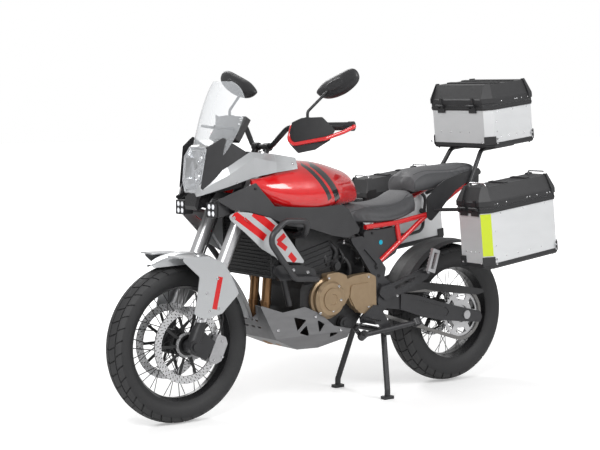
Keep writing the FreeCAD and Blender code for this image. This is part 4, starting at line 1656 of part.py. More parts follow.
def lid_shell(length, width, height, inner_chamfer):
    """Moulded lid: rim band, sloping sides, raised corner guards and ribs, hollow from below."""
    band = height * LID_BAND_SHARE
    outer = case_block(length, width, inner_chamfer,
        ((CASE_BAND, 0), (CASE_BAND, band * 0.8), (0, band), (-LID_SLOPE, height)))
    guard = case_block(length, width, inner_chamfer,
        ((CASE_BAND + LID_RIB, band * 0.3), (CASE_BAND + LID_RIB, band),
        (-LID_SLOPE + LID_RIB, height + LID_RIB)))
    reach = CASE_GUARD_REACH
    posts = [box((x, x + reach * 1.3), (y, y + reach), (0, height * 2))
        for x in (-reach / 3, length - reach) for y in (-reach / 3, width - reach * 0.7)]
    ribs = [box((length * low, length * low + LID_SLOPE),
        (LID_SLOPE * 1.4, width - LID_SLOPE * 1.4), (height / 2, height + LID_RIB))
        for low in (0.3, 0.6)]
    room = case_block(length, width, inner_chamfer,
        ((-CASE_WALL, -CUT_OVERRUN), (-CASE_WALL, band),
        (-LID_SLOPE - CASE_WALL, height - CASE_WALL)))
    inner_side = box((-length, 2 * length), (-length, -CASE_BAND), (-height, 2 * height))
    return fused(outer, guard.common(fused(*posts)), *ribs).cut(room).cut(inner_side)


def case_trim(length, width, height, inner_chamfer):
    """Black fittings of a case's body: band under the lid, base band and guards on the lower corners."""
    body = case_block(length, width, inner_chamfer,
        ((FLOAT_GAP, -FLOAT_GAP), (FLOAT_GAP, height + CUT_OVERRUN)))
    rim = case_block(length, width, inner_chamfer,
        ((CASE_BAND, height - CASE_BAND_HEIGHT), (CASE_BAND, height - CASE_LIP_GAP)))
    bead = case_block(length, width, inner_chamfer,
        ((CASE_GUARD, height - CASE_BAND_HEIGHT * 0.7),
        (CASE_GUARD, height - CASE_BAND_HEIGHT * 0.4)))
    foot = case_block(length, width, inner_chamfer,
        ((-CASE_GUARD_DROP, -CASE_GUARD_DROP), (CASE_GUARD, CASE_GUARD_DROP / 2),
        (CASE_GUARD, CASE_GUARD_HEIGHT)))
    reach = CASE_GUARD_REACH
    posts = [plate([V(x + reach * sx, 0, CASE_GUARD_HEIGHT * sz)
        for sx, sz in ((-0.3, 1.0), (1.0, 1.0), (1.0, 0.3), (0.7, -1.0), (-0.3, -1.0))], y,
        y + reach, 0)
             for x in (-reach * 0.3, ) for y in (-reach * 0.4, width - reach * 0.6)]
    posts += [post.mirror(V(length / 2, 0, 0), V(1, 0, 0)) for post in posts]
    base = case_block(length, width, inner_chamfer,
        ((-CASE_BAND, -CASE_GUARD_DROP / 2), (CASE_BAND / 2, 0), (CASE_BAND / 2, CASE_GUARD_DROP)))
    inner_side = box((-length, 2 * length), (-length, -CASE_BAND), (-height, 2 * height))
    lower = fused(foot.common(fused(*posts)), base)
    return group(rim.fuse(bead).removeSplitter().cut(body).cut(inner_side),
        lower.cut(body).cut(inner_side))


HINGE_WIDTH = 46.0
HINGE_KNUCKLE_R = 6.0
HINGE_PIN_R = 3.0
HINGE_REACH = 14.0
HINGE_LEAF = 5.0
HINGE_LEAF_HEIGHT = 34.0


def case_hinge(face_x, y, z):
    """Hinge on a case's front face: the body's leaf, knuckles and pin, and the lid's leaf and knuckle."""
    axis_x = face_x + HINGE_REACH
    half = HINGE_WIDTH / 2
    third = HINGE_WIDTH / 6
    fixed = [box((face_x, face_x + HINGE_LEAF), (y - half, y + half),
        (z - HINGE_LEAF_HEIGHT, z - HINGE_KNUCKLE_R - HINGE_LEAF))]
    for low, high in ((y - half, y - third), (y + third, y + half)):
        fixed.append(cyl(V(axis_x, low, z), V(axis_x, high, z), HINGE_KNUCKLE_R))
        fixed.append(box((face_x, axis_x), (low, high),
            (z - HINGE_KNUCKLE_R * 2, z - CASE_LIP_GAP)))
    fixed.append(cyl(V(axis_x, y - half, z), V(axis_x, y + half, z), HINGE_PIN_R))
    low, high = y - third + FLOAT_GAP, y + third - FLOAT_GAP
    knuckle = tube(V(axis_x, low, z), V(axis_x, high, z), HINGE_KNUCKLE_R, HINGE_PIN_R + FLOAT_GAP)
    leaf = box((face_x, face_x + HINGE_LEAF), (low, high),
        (z + CASE_LIP_GAP, z + HINGE_LEAF_HEIGHT))
    web = box((face_x, axis_x - HINGE_PIN_R), (low, high), (z + CASE_LIP_GAP, z + HINGE_KNUCKLE_R))
    eye = cyl(V(axis_x, low, z), V(axis_x, high, z), HINGE_PIN_R + FLOAT_GAP)
    return fused(*fixed), fused(knuckle, leaf, web.cut(eye))


def case_pair(base, length, width, body_height, lid_height, inner_chamfer, hinge_ys):
    """One case built level: its open box, its black fittings, and its lid, hinged on the front face."""
    body = case_shell(length, width, body_height, inner_chamfer).translated(base)
    trim = case_trim(length, width, body_height, inner_chamfer).translated(base)
    lid = lid_shell(length, width, lid_height, inner_chamfer).translated(base.add(V(0, 0,
        body_height + CASE_LIP_GAP)))
    hinges, lids = [], [lid]
    for y in hinge_ys:
        fixed, moving = case_hinge(base.x + length + CASE_BAND / 2, base.y + y,
            base.z + body_height + CASE_LIP_GAP / 2)
        hinges.append(fixed)
        lids.append(moving)
    room = [cyl(V(base.x + length + CASE_BAND / 2 + HINGE_REACH,
        base.y + y - HINGE_WIDTH / 2 - FLOAT_GAP, base.z + body_height + CASE_LIP_GAP / 2),
                V(base.x + length + CASE_BAND / 2 + HINGE_REACH,
                base.y + y + HINGE_WIDTH / 2 + FLOAT_GAP, base.z + body_height + CASE_LIP_GAP / 2),
                HINGE_KNUCKLE_R + MOVING_GAP / 2) for y in hinge_ys]
    rim, lower = trim.Solids[0], trim.Solids[1:]
    return body, group(fused(rim, *hinges), *lower), fused(lid.cut(fused(*room)), *lids[1:])


def top_case():
    """Rear case: open box and hinged lid, both chamfered at the corners."""
    base = V(TOP_CASE_FRONT_X - TOP_CASE_LENGTH, -TOP_CASE_WIDTH / 2, TOP_CASE_BASE_Z)
    hinge_ys = [TOP_CASE_WIDTH * share for share in (0.24, 0.76)]
    body, trim, lid = case_pair(base, TOP_CASE_LENGTH, TOP_CASE_WIDTH, TOP_CASE_BODY_HEIGHT,
        TOP_CASE_LID_HEIGHT, CASE_CHAMFER, hinge_ys)
    PARTS["top_case_body"] = case_frame(body)
    PARTS["case_trim"] = case_frame(trim).cut(PARTS["luggage_rack"])
    PARTS["top_case_lid"] = case_frame(lid)


def panniers():
    """Side cases: open boxes and hinged lids, mirrored about the machine."""
    base = V(PANNIER_FRONT_X - PANNIER_LENGTH, PANNIER_INNER_Y, PANNIER_BASE_Z)
    hinge_ys = [PANNIER_WIDTH * share for share in (0.24, 0.64)]
    body, trim, lid = case_pair(base, PANNIER_LENGTH, PANNIER_WIDTH, PANNIER_BODY_HEIGHT,
        PANNIER_LID_HEIGHT, CASE_WALL, hinge_ys)
    PARTS["pannier_bodies"] = both(pannier_frame(body))
    PARTS["case_trim"] = group(PARTS["case_trim"], both(pannier_frame(trim)))
    PARTS["pannier_left_lid"] = pannier_frame(lid)
    PARTS["pannier_right_lid"] = flipped(PARTS["pannier_left_lid"])


# Rear end, pegs and stands

ARM_OUT_Y = 144.0
ARM_THICK = 22.0
ARM_BACK_X = -104.0
ARM_LENGTH = 590.0
ARM_LOW_Z = 280.0
ARM_HEIGHT = 184.0
ARM_BRIDGE_X = 352.0
ARM_BRIDGE_LENGTH = 60.0
AXLE_NUT_R = 20.0


def swingarm():
    """Box-section arm with its bridge ahead of the tyre, pivot eyes and the rear axle."""
    shares = (
        (1.064, 1.0), (0.922, 0.902), (0.851, 0.967), (0.698, 0.88), (0.436, 0.636),
        (0.22, 0.451), (0.024, 0.304), (0.0, 0.158), (0.022, 0.022), (0.197, 0.087),
        (0.434, 0.185), (0.644, 0.342), (0.851, 0.565), (1.064, 0.674))
    points = spread(shares, ARM_BACK_X, ARM_LENGTH, ARM_LOW_Z, ARM_HEIGHT)
    arm = plate(points, ARM_OUT_Y - ARM_THICK, ARM_OUT_Y, ARM_THICK / 3)
    recess_shares = (
        (0.807, 0.815), (0.685, 0.761), (0.397, 0.5), (0.359, 0.38), (0.393, 0.272),
        (0.634, 0.435), (0.8, 0.641))
    recess = plate(spread(recess_shares, ARM_BACK_X, ARM_LENGTH, ARM_LOW_Z, ARM_HEIGHT),
        ARM_OUT_Y - ARM_THICK / 8, ARM_OUT_Y + CUT_OVERRUN, ARM_THICK / 3)
    arm = arm.cut(recess)
    eye_y = PIVOT_PLATE_Y - PIVOT_PLATE_THICK - FLOAT_GAP
    outer_limit = box((PIVOT.x - ARM_LENGTH * 0.2, PIVOT.x + ARM_LENGTH), (eye_y, PIVOT_PLATE_Y),
        (ARM_LOW_Z, ARM_LOW_Z + ARM_LENGTH))
    arm = arm.cut(outer_limit)
    eye = cyl(V(PIVOT.x, eye_y - ARM_THICK * 1.2, PIVOT.z), V(PIVOT.x, eye_y, PIVOT.z),
        PIVOT_R * 2.2)
    bridge_shares = ((0.0, 0.1), (0.0, 0.8), (0.2, 1.0), (0.8, 0.98), (1.0, 0.8), (1.0, 0.2),
        (0.8, 0.0), (0.2, 0.0))
    bridge = plate(spread(bridge_shares, ARM_BRIDGE_X, ARM_BRIDGE_LENGTH,
        ARM_LOW_Z + ARM_HEIGHT * 0.6, ARM_HEIGHT * 0.3), -ARM_OUT_Y + ARM_THICK / 2,
        ARM_OUT_Y - ARM_THICK / 2, ARM_THICK / 2)
    pivot_bore = cyl(V(PIVOT.x, -ARM_OUT_Y * 2, PIVOT.z), V(PIVOT.x, ARM_OUT_Y * 2, PIVOT.z),
        PIVOT_R + FLOAT_GAP)
    side = fused(arm, eye)
    beam = fused(side, flipped(side), bridge).cut(pivot_bore)
    end = ARM_OUT_Y + ARM_THICK * 0.3
    axle = cyl(REAR_AXLE.add(V(0, -end, 0)), REAR_AXLE.add(V(0, end, 0)), REAR_AXLE_R)
    nuts = [cyl(REAR_AXLE.add(V(0, s * ARM_OUT_Y, 0)), REAR_AXLE.add(V(0, s * end, 0)), AXLE_NUT_R)
        for s in (-1, 1)]
    whole = fused(beam, axle, *nuts)
    for name in ("main_frame", "crankcase", "engine_covers", "exhaust"):
        whole = whole.cut(PARTS[name])
    PARTS["swingarm"] = largest(whole)


SHOCK_R = 26.0
SHOCK_COIL_R = 6.0
SHOCK_LOW = V(424.0, 0, 366.0)
SHOCK_HIGH = V(520.0, 0, 700.0)
SHOCK_COILS = 7


def rear_shock():
    """Damper with its spring as stacked rings, from the linkage to the frame."""
    along = SHOCK_HIGH.sub(SHOCK_LOW)
    body = cyl(SHOCK_LOW, SHOCK_HIGH, SHOCK_R * 0.6)
    seats_at = [cyl(SHOCK_LOW.add(along * a), SHOCK_LOW.add(along * b), SHOCK_R * 1.2)
        for a, b in ((0.22, 0.27), (0.84, 0.89))]
    coils = []
    for index in range(SHOCK_COILS):
        centre = SHOCK_LOW.add(along * (0.3 + 0.5 * index / (SHOCK_COILS - 1)))
        coils.append(Part.makeTorus(SHOCK_R - SHOCK_COIL_R / 2, SHOCK_COIL_R * 1.6, centre, along))
    eyes = [cyl(p.sub(V(0, SHOCK_R, 0)), p.add(V(0, SHOCK_R, 0)), SHOCK_R * 0.7)
        for p in (SHOCK_LOW, SHOCK_HIGH)]
    shaft = cyl(SHOCK_HIGH.sub(V(0, SIDE_COVER_Y - SIDE_COVER_THICK * 5 - FLOAT_GAP, 0)),
        SHOCK_HIGH.add(V(0, SIDE_COVER_Y - SIDE_COVER_THICK * 5 - FLOAT_GAP, 0)),
        SHOCK_COIL_R * 1.4)
    whole = fused(body, *seats_at, *coils, *eyes, shaft)
    for name in ("main_frame", "swingarm", "side_covers"):
        whole = whole.cut(PARTS[name])
    PARTS["rear_shock"] = largest(whole)


def chain_loop(y_low, y_high, inset):
    """Band round both sprockets: two arcs joined by their common tangents."""
    big = SPROCKET_R + CHAIN_HEIGHT / 2 - inset
    small = DRIVE_SPROCKET_R + CHAIN_HEIGHT / 2 - inset
    near = V(REAR_AXLE.x, y_low, REAR_AXLE.z)
    far = V(DRIVE_SPROCKET_X, y_low, DRIVE_SPROCKET_Z)
    run = far.sub(near)
    slope = math.atan2(run.z, run.x)
    swing = math.acos((big - small) / run.Length)

    def on(centre, radius, angle):
        return centre.add(V(radius * math.cos(angle), 0, radius * math.sin(angle)))

    top_near, top_far = on(near, big, slope + swing), on(far, small, slope + swing)
    low_near, low_far = on(near, big, slope - swing), on(far, small, slope - swing)
    edges = [
        Part.LineSegment(top_near, top_far), Part.Arc(top_far, on(far, small, slope), low_far),
        Part.LineSegment(low_far, low_near), Part.Arc(low_near, on(near, big, slope + math.pi),
        top_near)]
    wire = Part.Wire([edge.toShape() for edge in edges])
    return Part.Face(wire).extrude(V(0, y_high - y_low, 0)), wire


CHAIN_PITCH = 15.875


def chain():
    """Drive chain: two plate bands joined by pins where no sprocket tooth runs between them."""
    half_gap = SPROCKET_THICK / 2 + MOVING_GAP
    low, high = CHAIN_Y - half_gap, CHAIN_Y + half_gap
    bands = []
    for y_low, y_high in ((low - CHAIN_PLATE_THICK, low), (high, high + CHAIN_PLATE_THICK)):
        outer, _ = chain_loop(y_low, y_high, 0)
        inner, _ = chain_loop(y_low - CUT_OVERRUN, y_high + CUT_OVERRUN, CHAIN_HEIGHT)
        bands.append(outer.cut(inner))
    _, middle = chain_loop(low - CHAIN_PLATE_THICK, high, CHAIN_HEIGHT / 2)
    upper, _, lower, _ = middle.Edges
    pins = []
    for run in (upper, lower):
        steps = int(run.Length / (CHAIN_PITCH * 4))
        for index in range(1, steps):
            at = run.valueAt(run.FirstParameter + (run.LastParameter - run.FirstParameter) * index
                / steps)
            if at.sub(V(REAR_AXLE.x, at.y, REAR_AXLE.z)).Length < SPROCKET_R * 1.4:
                continue
            pins.append(cyl(V(at.x, low - CHAIN_PLATE_THICK / 2, at.z),
                V(at.x, high + CHAIN_PLATE_THICK / 2, at.z), CHAIN_HEIGHT / 4))
    PARTS["drive_chain"] = fused(*bands, *pins)


HUGGER_R = 334.0
HUGGER_THICK = 4.0
HUGGER_HALF_WIDTH = 84.0
GUARD_THICK = 3.0


def rear_mudguard():
    """Hugger over the tyre's front and the chain guard moulded with it."""
    shell = ring([(HUGGER_R, -HUGGER_HALF_WIDTH),
        (HUGGER_R + HUGGER_THICK * 2, -HUGGER_HALF_WIDTH * 0.7), (HUGGER_R + HUGGER_THICK * 3, 0),
        (HUGGER_R + HUGGER_THICK * 2, HUGGER_HALF_WIDTH * 0.7), (HUGGER_R, HUGGER_HALF_WIDTH),
        (HUGGER_R - HUGGER_THICK, HUGGER_HALF_WIDTH - HUGGER_THICK),
        (HUGGER_R + HUGGER_THICK, HUGGER_HALF_WIDTH * 0.65), (HUGGER_R + HUGGER_THICK * 2, 0),
        (HUGGER_R + HUGGER_THICK, -HUGGER_HALF_WIDTH * 0.65),
        (HUGGER_R - HUGGER_THICK, -HUGGER_HALF_WIDTH + HUGGER_THICK)], REAR_AXLE)
    reach = HUGGER_R * 2
    wedge_points = [REAR_AXLE.add(V(0, -reach, 0))]
    for angle_deg in (8.0, 40.0, 72.0, 104.0):
        angle = math.radians(angle_deg)
        wedge_points.append(REAR_AXLE.add(V(reach * math.cos(angle), -reach,
            reach * math.sin(angle))))
    wedge = Part.Face(polygon_section(wedge_points)).extrude(V(0, 2 * reach, 0))
    hugger = shell.common(wedge)
    shares = (
        (0.814, 0.59), (0.671, 0.885), (0.476, 0.721), (0.2, 0.492), (0.02, 0.295),
        (0.0, 0.164), (0.071, 0.098), (0.386, 0.344), (0.543, 0.525), (0.8, 0.443))
    guard_points = spread(shares, -SPROCKET_R * 1.24, ARM_LENGTH * 1.186,
        ARM_LOW_Z + ARM_HEIGHT * 0.64, ARM_HEIGHT * 0.663)
    side_y = CHAIN_Y + SPROCKET_THICK / 2 + MOVING_GAP + CHAIN_PLATE_THICK + FLOAT_GAP
    guard = plate(guard_points, side_y, side_y + GUARD_THICK, GUARD_THICK)
    top_edge = guard_points[1:5]
    under = [p.sub(V(0, 0, GUARD_THICK)) for p in reversed(top_edge)]
    web_low = HUGGER_HALF_WIDTH * 0.7
    web = Part.Face(polygon_section([V(p.x, web_low, p.z) for p in top_edge + under])).extrude(V(0,
        side_y + GUARD_THICK - web_low, 0))
    room, _ = chain_loop(CHAIN_Y - CHAIN_HEIGHT, side_y - FLOAT_GAP / 2, -GUARD_THICK)
    web = web.cut(room)
    tyre_room = cyl(REAR_AXLE.sub(V(0, REAR_TYRE_WIDTH, 0)),
        REAR_AXLE.add(V(0, REAR_TYRE_WIDTH / 2 + MOVING_GAP, 0)), REAR_TYRE_R + MOVING_GAP)
    web = web.cut(tyre_room)
    whole = fused(hugger, guard, web)
    for name in ("swingarm", "rear_shock", "drive_chain", "main_frame"):
        whole = whole.cut(PARTS[name])
    PARTS["rear_mudguard"] = group(*[s for s in whole.Solids if s.Volume > GUARD_THICK ** 3 * 60])


REAR_CALIPER_LENGTH = 90.0
REAR_CALIPER_DEPTH = 48.0


def rear_caliper():
    """Caliper over the right-hand disc, on a bracket that hangs from the arm."""
    gap = DISC_THICK / 2 + MOVING_GAP
    centre = REAR_AXLE.add(V(REAR_DISC_R * 0.62, 0, REAR_DISC_R * 0.62))
    body = box((-REAR_CALIPER_LENGTH / 2, REAR_CALIPER_LENGTH / 2),
        (-REAR_DISC_Y - gap * 2.6, -REAR_DISC_Y + gap * 2.2),
        (-REAR_CALIPER_DEPTH / 2, REAR_CALIPER_DEPTH * 0.7))
    body = body.makeFillet(REAR_CALIPER_DEPTH / 6,
        [e for e in body.Edges if abs(e.Length - gap * 4.8) < 1])
    body = turned(body, V(0, 0, 0), V(0, 1, 0), 45).translated(centre)
    slot = cyl(REAR_AXLE.add(V(0, -REAR_DISC_Y - gap, 0)),
        REAR_AXLE.add(V(0, -REAR_DISC_Y + gap, 0)), REAR_DISC_R + MOVING_GAP)
    inner = cyl(REAR_AXLE.add(V(0, -REAR_DISC_Y - gap * 4, 0)), REAR_AXLE.add(V(0, 0, 0)),
        REAR_DISC_R - REAR_CALIPER_DEPTH)
    low_y = -ARM_OUT_Y + ARM_THICK + FLOAT_GAP
    bracket = plate([REAR_AXLE.add(V(REAR_DISC_R * sx, 0, REAR_DISC_R * sz))
        for sx, sz in ((-0.2, -0.2), (0.3, -0.2), (0.9, 0.5), (0.5, 0.9), (-0.2, 0.2))], low_y,
        low_y + ARM_THICK / 3, RIM_WALL)
    bracket = bracket.cut(cyl(REAR_AXLE.add(V(0, -ARM_OUT_Y, 0)), REAR_AXLE,
        REAR_AXLE_R + FLOAT_GAP))
    join = cyl(V(centre.x, low_y, centre.z), V(centre.x, -REAR_DISC_Y - gap - RIM_WALL, centre.z),
        RIM_WALL * 3)
    caliper = fused(body.cut(slot).cut(inner), bracket, join)
    PARTS["rear_caliper"] = largest(caliper.cut(PARTS["swingarm"]))


PEG_X = 626.0
PEG_Z = 362.0
PEG_INNER_Y = 166.0
PEG_LENGTH = 84.0
PEG_WIDTH = 44.0
PEG_HEIGHT = 18.0
PEG_TEETH = 7
PASSENGER_PEG_FOOT = V(312.0, 232.0, 556.0)
PASSENGER_PEG_LENGTH = 104.0
HANGER_THICK = 10.0


def toothed_peg(length):
    """Peg lying along Y from its root: a tray with a sawtooth edge on each side."""
    base = box((-PEG_WIDTH / 2, PEG_WIDTH / 2), (0, length), (-PEG_HEIGHT / 2, PEG_HEIGHT / 6))
    teeth = []
    pitch = length / PEG_TEETH
    for index in range(PEG_TEETH):
        y = index * pitch
        tooth = polygon_section([V(-PEG_WIDTH / 2, y, PEG_HEIGHT / 6),
            V(-PEG_WIDTH / 2, y + pitch, PEG_HEIGHT / 6),
            V(-PEG_WIDTH / 2, y + pitch / 2, PEG_HEIGHT / 2)])
        teeth.append(Part.Face(tooth).extrude(V(PEG_WIDTH / 4, 0, 0)))
        teeth.append(Part.Face(tooth).extrude(V(PEG_WIDTH / 4, 0, 0)).translated(V(PEG_WIDTH * 0.75,
            0, 0)))
    slot = box((-PEG_WIDTH / 5, PEG_WIDTH / 5), (pitch, length - pitch), (-PEG_HEIGHT, PEG_HEIGHT))
    return fused(base, *teeth).cut(slot)


def footpegs():
    """Rider's pegs and shift lever on brackets; passenger's pegs, folded up, on their arms."""
    face = PIVOT_PLATE_Y + FLOAT_GAP
    peg = toothed_peg(PEG_LENGTH).translated(V(PEG_X, PEG_INNER_Y, PEG_Z))
    block = plate([V(PEG_X + PEG_WIDTH * sx, 0, PEG_Z + PEG_WIDTH * sz)
        for sx, sz in ((-0.6, -0.3), (0.6, -0.3), (0.7, 0.3), (-1.0, 1.4), (-1.9, 1.3),
        (-2.1, 0.7))], face, PEG_INNER_Y, PEG_HEIGHT / 3)
    peg = fused(peg, block, box((PEG_X - PEG_WIDTH / 3, PEG_X + PEG_WIDTH / 3),
        (PEG_INNER_Y - PEG_HEIGHT / 3, PEG_INNER_Y + PEG_HEIGHT),
        (PEG_Z - PEG_HEIGHT * 0.6, PEG_Z + PEG_HEIGHT * 0.4)))
    toe_x = PEG_X + PEG_LENGTH * 0.9
    lever = bent_rod([V(PEG_X + PEG_WIDTH * 0.3, PEG_INNER_Y - HANGER_THICK * 0.4,
        PEG_Z - PEG_HEIGHT * 0.2), V(toe_x, PEG_INNER_Y + HANGER_THICK, PEG_Z - PEG_HEIGHT * 2),
        V(toe_x + PEG_WIDTH * 0.2, PEG_INNER_Y + PEG_LENGTH * 0.5, PEG_Z - PEG_HEIGHT * 2)],
        PEG_HEIGHT / 4, PEG_HEIGHT / 2)
    rider = fused(peg, lever)
    arm_shares = (
        (0.952, 0.462), (0.652, 0.585), (0.129, 0.985), (0.019, 0.923), (0.006, 0.769),
        (0.071, 0.585), (0.548, 0.169), (0.871, 0.0), (0.987, 0.231))
    arm = plate(spread(arm_shares, PIVOT.x - ARM_LENGTH * 0.464, ARM_LENGTH * 0.525,
        PIVOT.z + PIVOT_R / 4, ARM_HEIGHT * 0.707), face + PIVOT_R * 0.6,
        face + PIVOT_R * 0.6 + HANGER_THICK, HANGER_THICK)
    slot_shares = (
        (0.71, 0.431), (0.419, 0.646), (0.29, 0.692), (0.329, 0.554), (0.665, 0.323))
    slot = plate(spread(slot_shares, PIVOT.x - ARM_LENGTH * 0.464, ARM_LENGTH * 0.525,
        PIVOT.z + PIVOT_R / 4, ARM_HEIGHT * 0.707), face, face + HANGER_THICK * 4, HANGER_THICK / 3)
    foot = PASSENGER_PEG_FOOT
    pad = plate([V(PIVOT.x + PIVOT_R * sx, 0, PIVOT.z + PIVOT_R * sz)
        for sx, sz in ((-1.4, 1.6), (-5.6, 5.6), (-3.4, 6.0), (2.0, 3.2))], face,
        face + PIVOT_R * 0.8, HANGER_THICK / 3)
    reach = bent_rod([V(foot.x - HANGER_THICK * 2, face + HANGER_THICK,
        foot.z - HANGER_THICK * 0.6), V(foot.x, foot.y - HANGER_THICK, foot.z)], HANGER_THICK * 0.8,
        0)
    folded = turned(toothed_peg(PASSENGER_PEG_LENGTH), V(0, 0, 0), V(1, 0, 0), 90)
    folded = turned(folded, V(0, 0, 0), V(0, 1, 0), -18).translated(foot)
    hanger = fused(arm.cut(slot), pad, reach, folded)
    result = []
    for piece in (rider, hanger):
        for name in ("main_frame", "engine_covers", "swingarm", "crankcase"):
            piece = piece.cut(PARTS[name])
        result += [s for s in piece.Solids if s.Volume > HANGER_THICK ** 3 * 4]
    PARTS["footpegs"] = both(group(*result))


STAND_PIVOT_X = 470.0
STAND_PIVOT_Z = 292.0
STAND_LEG_Y = 112.0
STAND_FOOT_Y = 172.0
STAND_FOOT_X = 508.0
STAND_TUBE_R = 13.0
STAND_FOOT_LENGTH = 54.0
STAND_PIN_R = 8.0


def centre_stand():
    """Two splayed legs on a cross tube, feet just ahead of the pivot so the stand locks."""
    eye = cyl(V(STAND_PIVOT_X, -STAND_LEG_Y, STAND_PIVOT_Z),
        V(STAND_PIVOT_X, STAND_LEG_Y, STAND_PIVOT_Z), STAND_TUBE_R)
    bore = cyl(V(STAND_PIVOT_X, -STAND_FOOT_Y, STAND_PIVOT_Z),
        V(STAND_PIVOT_X, STAND_FOOT_Y, STAND_PIVOT_Z), STAND_PIN_R + FLOAT_GAP)
    foot_z = STAND_TUBE_R
    leg = bent_rod([V(STAND_PIVOT_X, STAND_LEG_Y - STAND_TUBE_R, STAND_PIVOT_Z),
        V(STAND_FOOT_X, STAND_FOOT_Y, foot_z + STAND_TUBE_R * 2),
        V(STAND_FOOT_X, STAND_FOOT_Y, foot_z)], STAND_TUBE_R, STAND_TUBE_R)
    foot = box((STAND_FOOT_X - STAND_FOOT_LENGTH / 2, STAND_FOOT_X + STAND_FOOT_LENGTH / 2),
        (STAND_FOOT_Y - STAND_TUBE_R * 1.3, STAND_FOOT_Y + STAND_TUBE_R * 1.3), (0, STAND_TUBE_R))
    foot = foot.makeFillet(STAND_TUBE_R / 3, [e for e in foot.Edges
        if abs(e.Length - STAND_TUBE_R) < 1])
    side = fused(leg, foot)
    PARTS["centre_stand"] = fused(eye, side, flipped(side)).cut(bore)
    pin_y = PIVOT_PLATE_Y - PIVOT_PLATE_THICK
    pin = cyl(V(STAND_PIVOT_X, -pin_y, STAND_PIVOT_Z), V(STAND_PIVOT_X, pin_y, STAND_PIVOT_Z),
        STAND_PIN_R)
    lug_low = STAND_LEG_Y + STAND_TUBE_R
    lug_shares = ((-1.2, -1.2), (1.4, -1.2), (6.7, 6.4), (6.7, 8.4), (3.0, 7.6), (-1.2, 1.4))
    lug_points = [V(STAND_PIVOT_X + STAND_TUBE_R * sx, 0, STAND_PIVOT_Z + STAND_TUBE_R * sz)
        for sx, sz in lug_shares]
    lug = plate(lug_points, lug_low, PIVOT_PLATE_Y - PIVOT_PLATE_THICK, STAND_TUBE_R / 2)
    PARTS["main_frame"] = fused(PARTS["main_frame"], lug, flipped(lug), pin)


SIDE_STAND_PIVOT = V(636.0, 158.0, 296.0)
SIDE_STAND_LENGTH = 300.0
SIDE_STAND_R = 12.0
SIDE_STAND_BACK = V(-1.0, 0.045, 0.1)
SIDE_STAND_DOWN = V(0.26, 0.5, -0.82)


def side_stand():
    """Leg folded along the machine, on a tilted bolt so that it swings down and outwards."""
    pivot = SIDE_STAND_PIVOT
    back = V(SIDE_STAND_BACK.x, SIDE_STAND_BACK.y, SIDE_STAND_BACK.z).normalize()
    down = V(SIDE_STAND_DOWN.x, SIDE_STAND_DOWN.y, SIDE_STAND_DOWN.z).normalize()
    axis = down.cross(back).normalize()
    half = SIDE_STAND_R
    eye_r = SIDE_STAND_R * 1.5
    eye = cyl(pivot.sub(axis * half), pivot.add(axis * half), eye_r)
    leg = cyl(pivot.add(back * SIDE_STAND_R), pivot.add(back * SIDE_STAND_LENGTH), SIDE_STAND_R)
    tip = pivot.add(back * SIDE_STAND_LENGTH)
    across = back.cross(axis).normalize()
    pad = cyl(tip.sub(across * SIDE_STAND_R * 1.2), tip.add(across * SIDE_STAND_R * 1.2),
        SIDE_STAND_R * 1.8)
    bore = cyl(pivot.sub(axis * eye_r * 2), pivot.add(axis * eye_r * 2), STAND_PIN_R + FLOAT_GAP)
    PARTS["side_stand"] = fused(eye, leg, pad).cut(bore)
    lug_face = half + FLOAT_GAP
    lug_back = half + SIDE_STAND_R
    pin = cyl(pivot.sub(axis * lug_back), pivot.add(axis * (half + FLOAT_GAP)), STAND_PIN_R)
    pin_head = cyl(pivot.add(axis * lug_face), pivot.add(axis * (lug_face + STAND_PIN_R / 2)),
        STAND_PIN_R * 1.5)
    lug = cyl(pivot.sub(axis * lug_back), pivot.sub(axis * lug_face), eye_r)
    foot = pivot.sub(axis * (half + SIDE_STAND_R / 2))
    anchor = V(CASE_BACK_X + CASE_LENGTH * 0.2, CASE_HALF_WIDTH - SIDE_STAND_R,
        CASE_LOW_Z + CASE_HEIGHT * 0.12)
    strut = cyl(foot, anchor, SIDE_STAND_R * 0.9)
    swept = cyl(pivot.sub(axis * lug_face), pivot.add(axis * lug_face), SIDE_STAND_LENGTH)
    holder = fused(lug, strut.cut(swept), pin, pin_head)
    PARTS["crankcase"] = fused(PARTS["crankcase"], holder)
    print("side stand axis", axis.x, axis.y, axis.z)


def join(name, *others):
    """Makes one node of pieces that are bolted together for good."""
    PARTS[name] = fused(PARTS[name], *[PARTS.pop(other) for other in others])


def build():
    """Makes every piece in the order that lets each be fitted round those before it."""
    front_wheel()
    rear_wheel()
    fork()
    front_calipers()
    front_fender()
    handlebar()
    hand_guards()
    mirrors()
    brake_hoses()
    main_frame()
    subframe()
    crankcase()
    engine_covers()
    cylinders()
    exhaust()
    radiator()
    radiator_shrouds()
    crash_bars()
    skid_plate()
    fuel_tank()
    side_panels()
    nose_panels()
    headlight()
    windscreen()
    cockpit()
    fog_lamps()
    seats()
    side_covers()
    tail()
    luggage_rack()
    top_case()
    panniers()
    swingarm()
    rear_shock()
    chain()
    rear_mudguard()
    rear_caliper()
    footpegs()
    centre_stand()
    side_stand()
    join("crankcase", "cylinders")
    join("side_panels", "side_covers")


def export():
    """Moves the machine so that its origin is under the middle of its length, and saves it."""
    back = min(shape.BoundBox.XMin for shape in PARTS.values())
    middle = (back + WHEELBASE + FRONT_TYRE_R) / 2
    os.makedirs("parts", exist_ok=True)
    for name, shape in PARTS.items():
        shape.translated(V(-middle, 0, 0)).exportStep("parts/" + name + ".step")
    print("middle of the length, ahead of the rear axle:", middle)


build()
export()
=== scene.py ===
import math

import bmesh
import bpy
import numpy as np
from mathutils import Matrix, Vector
from mathutils.bvhtree import BVHTree


